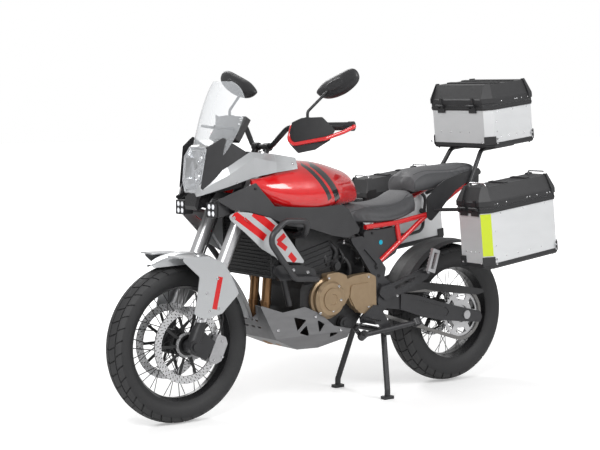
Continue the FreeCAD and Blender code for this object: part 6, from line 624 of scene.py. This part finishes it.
def pad(name, node):
    """The solid, shrunk and remeshed, pressed outwards as cloth and held back to the cap."""
    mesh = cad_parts[node].data.copy()
    mesh.materials.clear()
    made = bpy.data.objects.new(name, mesh)
    bpy.context.scene.collection.objects.link(made)
    whole = bmesh.new()
    whole.from_mesh(mesh)
    bmesh.ops.remove_doubles(whole, verts=whole.verts, dist=PAD_MERGE)
    bmesh.ops.recalc_face_normals(whole, faces=whole.faces)
    whole.to_mesh(mesh)
    whole.free()
    remesh = made.modifiers.new("even", "REMESH")
    remesh.mode, remesh.voxel_size = "VOXEL", PAD_VOXEL
    ready = made.evaluated_get(bpy.context.evaluated_depsgraph_get())
    even = bpy.data.meshes.new_from_object(ready)
    made.modifiers.clear()
    made.data = even
    count = len(even.vertices)
    start, ways = np.empty((count, 3)), np.empty((count, 3))
    even.vertices.foreach_get("co", start.ravel())
    even.vertices.foreach_get("normal", ways.ravel())
    start -= ways * PAD_SHRINK
    even.vertices.foreach_set("co", start.ravel())
    held = made.vertex_groups.new(name="base")
    held.add(np.nonzero(ways[:, 2] < FACES_DOWN)[0].tolist(), 1.0, "REPLACE")
    cloth = made.modifiers.new("cloth", "CLOTH")
    cloth.settings.quality = CLOTH_STEPS
    cloth.settings.mass = CLOTH_MASS
    cloth.settings.tension_stiffness = cloth.settings.compression_stiffness = CLOTH_STIFF
    cloth.settings.bending_stiffness = CLOTH_BEND
    cloth.settings.use_pressure = True
    cloth.settings.uniform_pressure_force = PAD_PRESSURE
    cloth.settings.effector_weights.gravity = 0.0
    cloth.settings.vertex_group_mass = "base"
    cloth.point_cache.frame_start, cloth.point_cache.frame_end = 1, PAD_FRAMES
    for step in range(1, PAD_FRAMES + 1):
        bpy.context.scene.frame_set(step)
    blown = made.evaluated_get(bpy.context.evaluated_depsgraph_get()).data
    moved = np.empty((count, 3))
    blown.vertices.foreach_get("co", moved.ravel())
    moved -= start
    far = np.linalg.norm(moved, axis=1, keepdims=True)
    start += moved * np.minimum(1.0, PAD_CAP / np.maximum(far, LEAST_MOVE))
    made.modifiers.clear()
    made.vertex_groups.clear()
    even.vertices.foreach_set("co", start.ravel())
    bpy.context.scene.frame_set(1)
    even.polygons.foreach_set("use_smooth", [True] * len(even.polygons))
    even.materials.append(COVER)
    smooth = made.modifiers.new("smooth", "SUBSURF")
    smooth.levels = smooth.render_levels = 1
    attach(made, "root")
    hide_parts(node)
    return made


rider_pad = pad("rider_pad", "rider_seat")
passenger_pad = pad("passenger_pad", "passenger_seat")

# Seams of the seats
# Sewn seams where the top panel meets the side panels: a raised cord under the cover, which lies on
# the finished pad. Each runs along the pad at a share of its half width.
OFF_AXIS = (0.31, 0.17, 0.93)


def pipe(path, radius, sides=8, closed=False):
    """Round bar along a path of points: at each point a circle square to the run there, its centre
    on the path; an open bar's ends are drawn in to a point."""
    path = np.asarray(path, float)
    if closed:
        run = np.roll(path, -1, 0) - np.roll(path, 1, 0)
    else:
        run = np.gradient(path, axis=0)
    run /= np.linalg.norm(run, axis=1, keepdims=True)
    side = np.cross(run, OFF_AXIS)
    side /= np.linalg.norm(side, axis=1, keepdims=True)
    rise = np.cross(side, run)
    angle = np.arange(sides) * 2 * math.pi / sides
    thick = np.full(len(path), radius)
    if not closed:
        path = np.vstack((path[:1], path, path[-1:]))
        side, rise = (np.vstack((v[:1], v, v[-1:])) for v in (side, rise))
        thick = np.concatenate(((0.0,), thick, (0.0,)))
    rings = path[:, None] + thick[:, None, None] * (
        np.cos(angle)[:, None] * side[:, None] + np.sin(angle)[:, None] * rise[:, None])
    return skin(rings, ring=closed, loop=True)


def tree_of(made):
    """A finder of surface points on an object's own mesh."""
    mesh = made.data
    return BVHTree.FromPolygons([tuple(v.co) for v in mesh.vertices],
                                [tuple(p.vertices) for p in mesh.polygons])


def met(tree, starts, way):
    """Where rays from the starts along way first meet the surface, with the normals there."""
    places, normals = [], []
    for start in starts:
        place, normal, _, _ = tree.ray_cast(Vector(start), Vector(way))
        if place is not None:
            places.append(place)
            normals.append(normal if normal.dot(Vector(way)) < 0 else -normal)
    return np.array(places).reshape(-1, 3), np.array(normals).reshape(-1, 3)


SEAM_R, SEAM_SHARE, SEAM_ENDS, SEAM_POINTS, SEAM_SUNK = 0.0022, 0.72, 0.06, 40, 0.35
SEAM_BACK, SEAM_SPAN, ABOVE_SEAT = 0.16, 0.66, 0.1
SEAM_THREAD = two_tone("seam_cord", (400, (0.030, 0.030, 0.032), (0.050, 0.050, 0.053)),
                       0.6, (1500, 0.0003))
for name, made in (("rider_seams", rider_pad), ("passenger_seams", passenger_pad)):
    corners = np.array([v.co for v in made.data.vertices])
    low, high = corners.min(0), corners.max(0)
    tree = tree_of(made)
    share = np.linspace(SEAM_ENDS, 1 - SEAM_ENDS, SEAM_POINTS)
    taper = np.sin(math.pi * (SEAM_BACK + SEAM_SPAN * (1 - share))) ** 0.5
    wide = (high[1] - low[1]) / 2 * SEAM_SHARE * taper
    seams = []
    for side in (-1, 1):
        line = np.stack((low[0] + (high[0] - low[0]) * share, side * wide,
                         np.full(SEAM_POINTS, high[2] + ABOVE_SEAT)), -1)
        places, normals = met(tree, line, (0, 0, -1))
        seams.append(pipe(places - normals * SEAM_R * SEAM_SUNK, SEAM_R, 6))
    piece(name, seams, SEAM_THREAD, "root")

# Bolts and screws
# Stainless and black socket-head screws that hold the fender, wings, frame plates, engine covers,
# skid plate, side and nose panels, calipers and footpegs. Each head is a turned cap with its
# socket, set on the surface.
HEAD = ((0, 0.0), (1.0, 0.0), (1.0, 0.42), (0.86, 0.66), (0.46, 0.72), (0.46, 0.30), (0, 0.30))
OFF_WAY = (0.11, 0.23, 0.967)


def turned(profile, sides=12, size=1.0):
    """A profile of (radius, height) pairs turned about the z axis."""
    angle = (np.arange(sides) * 2 * math.pi / sides)[:, None]
    radius, height = np.asarray(profile, float).T * size
    return skin(np.stack((np.cos(angle) * radius, np.sin(angle) * radius,
                          np.broadcast_to(height, (sides, len(height)))), -1), ring=True)


def stood(shape, places, ways):
    """The shape repeated, its z axis along each way, at each place."""
    points, quads = shape
    places, ways = np.asarray(places, float), np.asarray(ways, float)
    ways = ways / np.linalg.norm(ways, axis=1, keepdims=True)
    side = np.cross(ways, OFF_WAY)
    side /= np.linalg.norm(side, axis=1, keepdims=True)
    basis = np.stack((side, np.cross(ways, side), ways), 1)
    moved = np.einsum("ni,kij->knj", points, basis) + places[:, None]
    steps = np.arange(len(places))[:, None, None] * len(points)
    return moved.reshape(-1, 3), (quads[None] + steps).reshape(-1, 4)


def round_about(centre, radius, count, first=0.0):
    """Places (x, z) spaced round a centre."""
    return [(centre[0] + radius * math.cos(first + 2 * math.pi * k / count),
             centre[1] + radius * math.sin(first + 2 * math.pi * k / count)) for k in range(count)]


SCREW_STEEL = two_tone("screw_steel", (300, (0.50, 0.50, 0.51), (0.62, 0.62, 0.63)), 0.24,
                       metallic=0.9)
SCREW_BLACK = two_tone("screw_black", (300, (0.018, 0.018, 0.019), (0.032, 0.032, 0.034)), 0.36,
                       metallic=0.5)
RAY_START_Y = 0.4
COVER_RING = round_about((0.857, 0.488), 0.0765, 8, 0.3)
# Each set: its name, the node it sits on, its body, the heads' radius, finish and slot, and where
# the heads are as (x, z), x from the rear axle; both sides of the machine get them.
for name, node, body, size, material, slot, spots in (
        ("fender_screws", "front_fender", "steering", 0.0058, SCREW_STEEL, "silver_alloy",
         ((1.452, 0.545), (1.440, 0.470), (1.395, 0.478), (1.400, 0.600))),
        ("wing_screws", "radiator_shrouds", "root", 0.0075, SCREW_STEEL, "silver_alloy",
         ((1.054, 0.615), (0.978, 0.600), (1.345, 0.846))),
        ("frame_screws", "main_frame", "root", 0.0072, SCREW_BLACK, "dark_frame",
         ((0.545, 0.549), (0.539, 0.510), (0.545, 0.400), (0.572, 0.470), (0.560, 0.585),
          (0.560, 0.350))),
        ("cover_screws", "engine_covers", "root", 0.0062, SCREW_STEEL, "silver_alloy",
         (*COVER_RING, (0.70, 0.56), (0.61, 0.55), (0.61, 0.42), (0.68, 0.40))),
        ("skid_screws", "skid_plate", "root", 0.0070, SCREW_STEEL, "silver_alloy",
         ((0.900, 0.400), (0.800, 0.370), (1.000, 0.400), (0.760, 0.330), (1.100, 0.360))),
        ("panel_screws", "side_panels", "root", 0.0058, SCREW_BLACK, "dark_plastic",
         ((1.240, 0.960), (0.560, 0.735), (0.470, 0.640), (0.700, 0.845))),
        ("nose_screws", "nose_panels", "root", 0.0050, SCREW_STEEL, "silver_alloy",
         ((1.035, 1.056), (1.300, 0.985))),
        ("caliper_screws", "front_calipers", "steering", 0.0062, SCREW_STEEL, "silver_alloy",
         ((1.352, 0.335), (1.352, 0.270), (1.392, 0.335), (1.392, 0.262))),
        ("peg_screws", "footpegs", "root", 0.0060, SCREW_STEEL, "silver_alloy",
         ((0.452, 0.455), (0.478, 0.415), (0.395, 0.500), (0.330, 0.560)))):
    tree = tree_of(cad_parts[node])
    heads = []
    for side in (1, -1):
        starts = [(x - MIDDLE_X, side * RAY_START_Y, z) for x, z in spots]
        places, normals = met(tree, starts, (0, -side, 0))
        if len(places):
            heads.append(stood(turned(HEAD, size=size), places, normals))
    piece(name, heads, material, body)

# Air box, hoses and inner cowl
# The black moulded air box stands behind the cylinder, with rubber hoses held by steel clamps from
# the cylinder to it. Thin black inner panels close the nose behind the silver ones.


BOX_SQUARENESS, BOX_RIBS, BOX_RIB, BOX_ROWS, BOX_COLUMNS = 0.35, 5, 0.0022, 40, 48
BOX_SHOULDER, BOX_WALL_SHARE, HOSE_POINTS = 0.92, 0.96, 24


def rounded_box(low, high):
    """Ribbed box: at each height x and y follow a superellipse, cos and sin to a small power, which
    the ribs swell by the fourth power of a sine; the first and last rows are points and close it."""
    low, high = np.array(low), np.array(high)
    middle, half = (low + high) / 2, (high - low) / 2
    angle = np.arange(BOX_COLUMNS) * 2 * math.pi / BOX_COLUMNS
    ways = np.stack((np.cos(angle), np.sin(angle)), 1)
    outline = np.sign(ways) * np.abs(ways) ** BOX_SQUARENESS
    rise = np.linspace(-1.0, 1.0, BOX_ROWS)
    swell = np.pad(BOX_RIB * np.sin(rise * math.pi * BOX_RIBS) ** 4, 2)
    wide = np.concatenate(((0.0, BOX_SHOULDER), np.ones(BOX_ROWS), (BOX_SHOULDER, 0.0)))
    height = middle[2] + half[2] * np.concatenate(((-1.0, -1.0), rise * BOX_WALL_SHARE, (1.0, 1.0)))
    reach = (half[:2] - BOX_RIB + swell[:, None]) * wide[:, None]
    level = middle[:2] + outline * reach[:, None]
    height = np.broadcast_to(height[:, None, None], (*level.shape[:2], 1))
    return skin(np.concatenate((level, height), 2), loop=True)


def bend(points):
    """Bezier curve over its own control points: each weighted by its binomial share."""
    points = np.array(points)
    order = len(points) - 1
    share = np.linspace(0.0, 1.0, HOSE_POINTS)[:, None]
    return sum(math.comb(order, k) * share ** k * (1 - share) ** (order - k) * points[k]
               for k in range(order + 1))


LINING_THICK, LINING_BOW, LINING_ROWS = 0.003, 0.004, 12


def lining(stations, side):
    """Thin panel: columns run straight from foot to top at each station (x, y, foot z, top z), bowed
    out by a half sine, and its inner wall is the same grid set in by the thickness, which is 0 at
    both ends."""
    stations = np.array(stations)
    x, y, foot, top = np.vstack((stations[:1], stations, stations[-1:])).T[:, :, None]
    share = np.linspace(0.0, 1.0, LINING_ROWS)[None]
    z = foot + (top - foot) * share
    bowed = y + LINING_BOW * np.sin(share * math.pi)
    step = np.full((len(x), 1), LINING_THICK)
    step[[0, -1]] = 0.0
    outer, inner = (np.stack((np.broadcast_to(x, z.shape), side * wall, z), -1)
                    for wall in (bowed, bowed - step))
    return skin(np.concatenate((outer, inner[:, ::-1]), 1), loop=True)


piece("air_box", [rounded_box((-0.163, -0.068, 0.545), (-0.062, 0.068, 0.800))],
      BLACK_PLASTIC, "root")
# Each hose: its radius, and the points that its curve is bent by, from the cylinder to the box.
HOSE_PATHS = (
    (0.0095, ((0.020, 0.075, 0.700), (-0.040, 0.125, 0.720), (-0.100, 0.120, 0.640),
              (-0.105, 0.060, 0.600))),
    (0.0075, ((0.010, 0.080, 0.640), (-0.030, 0.120, 0.640), (-0.050, 0.125, 0.560),
              (-0.020, 0.085, 0.500))),
    (0.0060, ((-0.010, 0.070, 0.760), (-0.070, 0.120, 0.770), (-0.120, 0.110, 0.700),
              (-0.110, 0.060, 0.680))),
    (0.0095, ((0.020, -0.075, 0.700), (-0.040, -0.125, 0.720), (-0.100, -0.120, 0.640),
              (-0.105, -0.060, 0.600))))
piece("intake_hoses", [pipe(bend(path), radius, sides=14) for radius, path in HOSE_PATHS],
      HOSE_RUBBER, "root")
CLAMP_HALF_WIDTH, CLAMP_THICK = 0.0035, 0.0012
clamps = []
for radius, path in HOSE_PATHS:
    route = bend(path)
    inside, outside = radius - CLAMP_THICK, radius + CLAMP_THICK
    band = turned([(inside, -CLAMP_HALF_WIDTH), (outside, -CLAMP_HALF_WIDTH),
                   (outside, CLAMP_HALF_WIDTH), (inside, CLAMP_HALF_WIDTH),
                   (inside, -CLAMP_HALF_WIDTH)], sides=20)
    spots = np.array((4, len(route) - 6))
    clamps.append(stood(band, route[spots], route[spots + 1] - route[spots - 1]))
piece("hose_clamps", clamps, SCREW_STEEL, "root")
# The linings' stations, from behind forwards: x, y, foot and top.
NOSE_STATIONS = ((0.552, 0.120, 0.965, 1.058), (0.585, 0.117, 0.958, 1.072),
                 (0.620, 0.108, 0.952, 1.070), (0.655, 0.097, 0.946, 1.052),
                 (0.690, 0.080, 0.940, 1.010))
piece("nose_linings", [lining(NOSE_STATIONS, side) for side in (-1, 1)],
      BLACK_PLASTIC, "root")

# Lamps and screen
# Six-sided headlight: bright reflectors in a dark shell behind a clear domed glass with a frosted
# rim. Fog lamps with four clear lenses each, a red rear lamp, and a clear windscreen.
LAMP_FACE_X, LAMP_RAKE, LAMP_LOW_Z, LAMP_HEIGHT, LAMP_HALF = 1.440, 0.044, 0.872, 0.266, 0.092
GLASS_OUTLINE = ((0.0, 0.96), (0.60, 0.95), (0.92, 0.81), (0.79, 0.43), (0.50, 0.27), (0.0, 0.27))
OUTLINE_CENTRE, GLASS_DOME, GLASS_STEPS, EDGE_STEPS = np.array((0.0, 0.62)), 0.007, 10, 8
BOWLS_HALF_Y, BOWLS_LOW_Z, BOWLS_HIGH_Z = 0.066, 0.945, 1.122
RIM_R, RIM_INNER, RIM_INNER_R, RIM_INNER_OUT = 0.0032, (0.84, 0.86), 0.0018, 0.003


def lamp_surface(place):
    """Dark shell, and bright reflectors where the well with the two bowls is."""
    bowls = (between(place.axes()[1], -BOWLS_HALF_Y, BOWLS_HALF_Y)
             * between(place.axes()[2], BOWLS_LOW_Z, BOWLS_HIGH_Z))
    return {"Base Color": bowls.either((0.014, 0.014, 0.015), (0.62, 0.63, 0.65)),
            "Metallic": bowls * 0.9, "Roughness": place.grain(200) * 0.05 + 0.14}


def lamp_place(share_y, share_z, out):
    """A place on the raked lamp face: across by a share of its half width, up by one of its height,
    and out from it by a distance."""
    return np.stack(np.broadcast_arrays(
        LAMP_FACE_X - MIDDLE_X + out - LAMP_RAKE * share_z, LAMP_HALF * share_y,
        LAMP_LOW_Z + LAMP_HEIGHT * share_z), -1)


# The whitish glass turns more opaque where it is seen edge-on: a painted reflection.
CLEAR_GLASS_SHEEN = finish("clear_glass_sheen", lambda p: {
    "Base Color": (0.93, 0.95, 0.97), "Roughness": 0.03,
    "Alpha": p.node("LayerWeight", {"Blend": 0.35}, out="Facing") * 0.5 + 0.12})
FROSTED_RIM = finish("frosted_rim", lambda p: {
    "Base Color": p.grain(120).either((0.52, 0.53, 0.55), (0.72, 0.73, 0.75)),
    "Roughness": 0.16, "Alpha": 0.75})
dress(finish("lamp_inside", lamp_surface), "headlight")
corners = np.array(GLASS_OUTLINE)
corners = np.vstack((corners, corners[-2:0:-1] * (-1, 1)))
steps = np.linspace(0, 1, EDGE_STEPS, endpoint=False)[:, None]
outline = np.concatenate([one + (other - one) * steps
                          for one, other in zip(corners, np.roll(corners, -1, 0))])
share = np.linspace(0.0, 1.0, GLASS_STEPS)[:, None]
glass = OUTLINE_CENTRE + (outline[None] - OUTLINE_CENTRE) * share[:, :, None]
piece("headlight_glass",
      [skin(lamp_place(glass[..., 0], glass[..., 1], GLASS_DOME * (1 - share ** 2)), loop=True)],
      CLEAR_GLASS_SHEEN, "root")
inner = OUTLINE_CENTRE + (outline - OUTLINE_CENTRE) * RIM_INNER
piece("headlight_rim", [pipe(lamp_place(*outline.T, 0.0), RIM_R, closed=True),
                        pipe(lamp_place(*inner.T, RIM_INNER_OUT), RIM_INNER_R, closed=True)],
      FROSTED_RIM, "root")
LENS_DOME = ((0, 0.30), (0.35, 0.26), (0.65, 0.17), (0.88, 0.06), (1.0, 0.0), (0.6, -0.2), (0, -0.2))
# The fog lenses' faint emission is a painted glint.
LENS_GLINT_GLASS = finish("fog_lens", lambda p: {
    "Base Color": p.cells(260).either((0.70, 0.72, 0.75), (0.95, 0.96, 0.98)),
    "Roughness": 0.08, "Emission Color": (0.9, 0.93, 1.0), "Emission Strength": 0.25,
    "Coat Weight": 1.0})
LENS_X, LENS_R, FOG_Y, FOG_Z, LENS_APART = 1.4095, 0.0112, 0.112, 0.876, 0.0138
lens_places = [(LENS_X - MIDDLE_X, side * (FOG_Y + across * LENS_APART), FOG_Z + up * LENS_APART)
               for side in (1, -1) for across in (1, -1) for up in (1, -1)]
piece("fog_lenses",
      [stood(turned(LENS_DOME, 20, LENS_R), lens_places, [(1, 0, 0)] * len(lens_places))],
      LENS_GLINT_GLASS, "root")
# The whitish screen turns more opaque where it is seen edge-on: a painted reflection.
SCREEN_SHEEN = finish("clear_screen", lambda p: {
    "Base Color": (0.86, 0.89, 0.92), "Roughness": 0.04,
    "Alpha": p.node("LayerWeight", {"Blend": 0.4}, out="Facing") * 0.45 + 0.14})
dress(SCREEN_SHEEN, "windscreen")
TAIL_LAMP_X, TAIL_LAMP_LOW_Z, TAIL_LAMP_HALF = -0.180, 0.915, 0.061


def tail_surface(place):
    """Dark moulding, and the red lamp at its end."""
    x, y, z = place.axes()
    lamp = (x < TAIL_LAMP_X - MIDDLE_X) * (z > TAIL_LAMP_LOW_Z) * (abs(y) < TAIL_LAMP_HALF)
    waves, one, other = DARK_TONES
    red = place.cells(180).either((0.42, 0.004, 0.004), (0.60, 0.01, 0.01))
    return {"Base Color": lamp.either(place.grain(waves).either(one, other), red),
            "Roughness": place.grain(800) * 0.1 + 0.34, "Bump": (place.grain(1800), 0.0001)}


dress(finish("tail_moulding", tail_surface), "tail")

# Luggage
# Brushed aluminium cases with black moulded lids and fittings: silver rivets and screws, folding
# wire handles on the lids, and a yellow-green reflective strip down the panniers' front corners.
CASE_TILT = math.radians(6.5)
PANNIER = {"base": (-0.280, 0.305, 0.584), "pivot": (0.185, 0.0, 0.584), "length": 0.465,
           "width": 0.168, "height": 0.262, "lid": 0.088}
TOP_CASE = {"base": (-0.405, -0.199, 1.099), "pivot": (-0.090, 0.0, 1.099), "length": 0.315,
            "width": 0.398, "height": 0.190, "lid": 0.092}
LID_GAP, LID_BAND, CORNER_CUT, GUARD_THICK = 0.0006, 0.004, 0.032, 0.007
RIVET = ((0, 0.55), (0.5, 0.47), (0.85, 0.25), (1.0, 0.0), (0.6, -0.1), (0, -0.1))
RIVET_R, GUARD_SCREW_R, RIVET_SIDES = 0.0034, 0.0052, 10
HANDLE_R, HANDLE_RISE, HANDLE_IN, HANDLE_CORNER, HANDLE_FOOT, HANDLE_END = (
    0.0036, 0.016, 0.034, 0.012, 0.006, 0.044)
STRIP_THICK, STRIP_LOW, STRIP_HIGH = 0.0008, 0.050, 0.236
CASE = finish("case_aluminium", lambda p: {
    "Base Color": p.grain(18, 2, (0.3, 0.3, 1)).either((0.66, 0.67, 0.68), (0.76, 0.77, 0.78)),
    "Metallic": 0.45, "Roughness": p.grain(160, 3, (0.04, 0.04, 1)) * 0.14 + 0.34,
    "Bump": (p.grain(700, 2, (0.03, 0.03, 1)), 0.00004)})
dress(CASE, "top_case_body", "pannier_bodies")


def leant(points, case, side=1, turn_only=False):
    """Places given level in a case, x forward from its back, y outwards from its inner wall, z up
    from its floor, leant back with the luggage, and mirrored for the right side."""
    points = np.asarray(points, float)
    if not turn_only:
        points = points + case["base"] - np.asarray(case["pivot"])
    x, y, z = points[:, 0], points[:, 1], points[:, 2]
    turned_back = np.stack((x * math.cos(CASE_TILT) + z * math.sin(CASE_TILT), y,
                            z * math.cos(CASE_TILT) - x * math.sin(CASE_TILT)), -1)
    if not turn_only:
        turned_back += np.asarray(case["pivot"]) - (MIDDLE_X, 0, 0)
    return turned_back * (1, side, 1)


def studs(shape, case, spots, side):
    """The shape stood at spots of a case, each a place and the way that it faces."""
    places, ways = zip(*spots)
    return stood(shape, leant(places, case, side), leant(ways, case, side, turn_only=True))


def case_spots(case):
    """Rivets along the foot and the corners of a case's walls; screws on its corner guards. Each
    spot is a place in the case and the way it faces."""
    length, width, height = case["length"], case["width"], case["height"]
    out, ahead = (0, 1, 0), (1, 0, 0)
    rivets = [((length * s, width, 0.040), out) for s in (0.28, 0.44, 0.60, 0.76)]
    rivets += [((length, width * s, 0.066), ahead) for s in (0.2, 0.36, 0.52, 0.68)]
    rivets += [((length * s, width, height - 0.032), out) for s in (0.2, 0.5, 0.8)]
    rivets += [((length - CORNER_CUT * 1.6, width, height * s), out) for s in (0.35, 0.6)]
    screws = [((x, width + GUARD_THICK, z), out)
              for x in (length - 0.042, 0.042) for z in (0.014, 0.034)]
    screws += [((length + GUARD_THICK, y, 0.020), ahead) for y in (width - 0.040, 0.016)]
    return rivets, screws


def lid_spots(case):
    """Small screws in the lid's rim band."""
    z = case["height"] + LID_GAP + case["lid"] * 0.15
    return [((case["length"] * s, case["width"] + LID_BAND, z), (0, 1, 0))
            for s in (0.12, 0.16, 0.30, 0.40, 0.44, 0.72, 0.84, 0.88)]


def both_walls(spots):
    """The top case's spots, and the same on its other side wall."""
    return spots + [((x, TOP_CASE["width"] - y, z), (ahead, -out, up))
                    for (x, y, z), (ahead, out, up) in spots if out]


def handle(case, x, side):
    """Wire handle across a lid: up, over with rounded corners, and down into the lid's top."""
    top = case["height"] + LID_GAP + case["lid"]
    turn = np.linspace(0, math.pi / 2, 6)
    rise = np.concatenate(((-HANDLE_FOOT,), HANDLE_RISE - HANDLE_CORNER * (1 - np.sin(turn))))
    over = np.concatenate(((0.0,), HANDLE_CORNER * (1 - np.cos(turn))))
    across = np.concatenate((HANDLE_IN + over, (case["width"] - HANDLE_IN - over)[::-1]))
    path = np.stack((np.full(len(across), x), across, top + np.concatenate((rise, rise[::-1]))), -1)
    return pipe(leant(path, case, side), HANDLE_R, 10)


pannier_rivets, pannier_screws = case_spots(PANNIER)
top_rivets, top_screws = case_spots(TOP_CASE)
rivet, guard_screw = turned(RIVET, RIVET_SIDES, RIVET_R), turned(HEAD, size=GUARD_SCREW_R)
for name, shape, pannier_spots, top_spots in (
        ("case_rivets", rivet, pannier_rivets, top_rivets),
        ("guard_screws", guard_screw, pannier_screws, top_screws)):
    piece(name, [studs(shape, PANNIER, pannier_spots, side) for side in (1, -1)]
          + [studs(shape, TOP_CASE, both_walls(top_spots), 1)], SCREW_STEEL, "root")
for name, side in (("pannier_left_lid", 1), ("pannier_right_lid", -1)):
    fittings = [studs(rivet, PANNIER, lid_spots(PANNIER), side)]
    fittings += [handle(PANNIER, x, side) for x in (HANDLE_END, PANNIER["length"] - HANDLE_END)]
    piece(name + "_fittings", fittings, SCREW_STEEL, name)
piece("top_case_lid_fittings", [studs(rivet, TOP_CASE, both_walls(lid_spots(TOP_CASE)), 1)],
      SCREW_STEEL, "top_case_lid")
STRIP = finish("reflective_strip", lambda p: {
    "Base Color": p.cells(900).either((0.50, 0.62, 0.008), (0.58, 0.70, 0.012)),
    "Roughness": 0.35, "Coat Weight": 0.4})
strips = []
for side in (1, -1):
    front_edge = np.array((PANNIER["length"] + STRIP_THICK, PANNIER["width"] - CORNER_CUT, 0.0))
    side_edge = np.array((PANNIER["length"] - CORNER_CUT, PANNIER["width"] + STRIP_THICK, 0.0))
    out = np.array((1, 1, 0)) / math.sqrt(2) * STRIP_THICK
    section = [front_edge - out * 2, front_edge, side_edge, side_edge - out * 2]
    rings = [leant([point + (0, 0, z) for point in section], PANNIER, side)
             for z in (STRIP_LOW, STRIP_HIGH)]
    caps = [np.repeat(ring.mean(0)[None], len(section), 0) for ring in rings]
    strips.append(skin(np.array([caps[0], *rings, caps[1]]), loop=True))
piece("reflective_strips", strips, STRIP, "root")
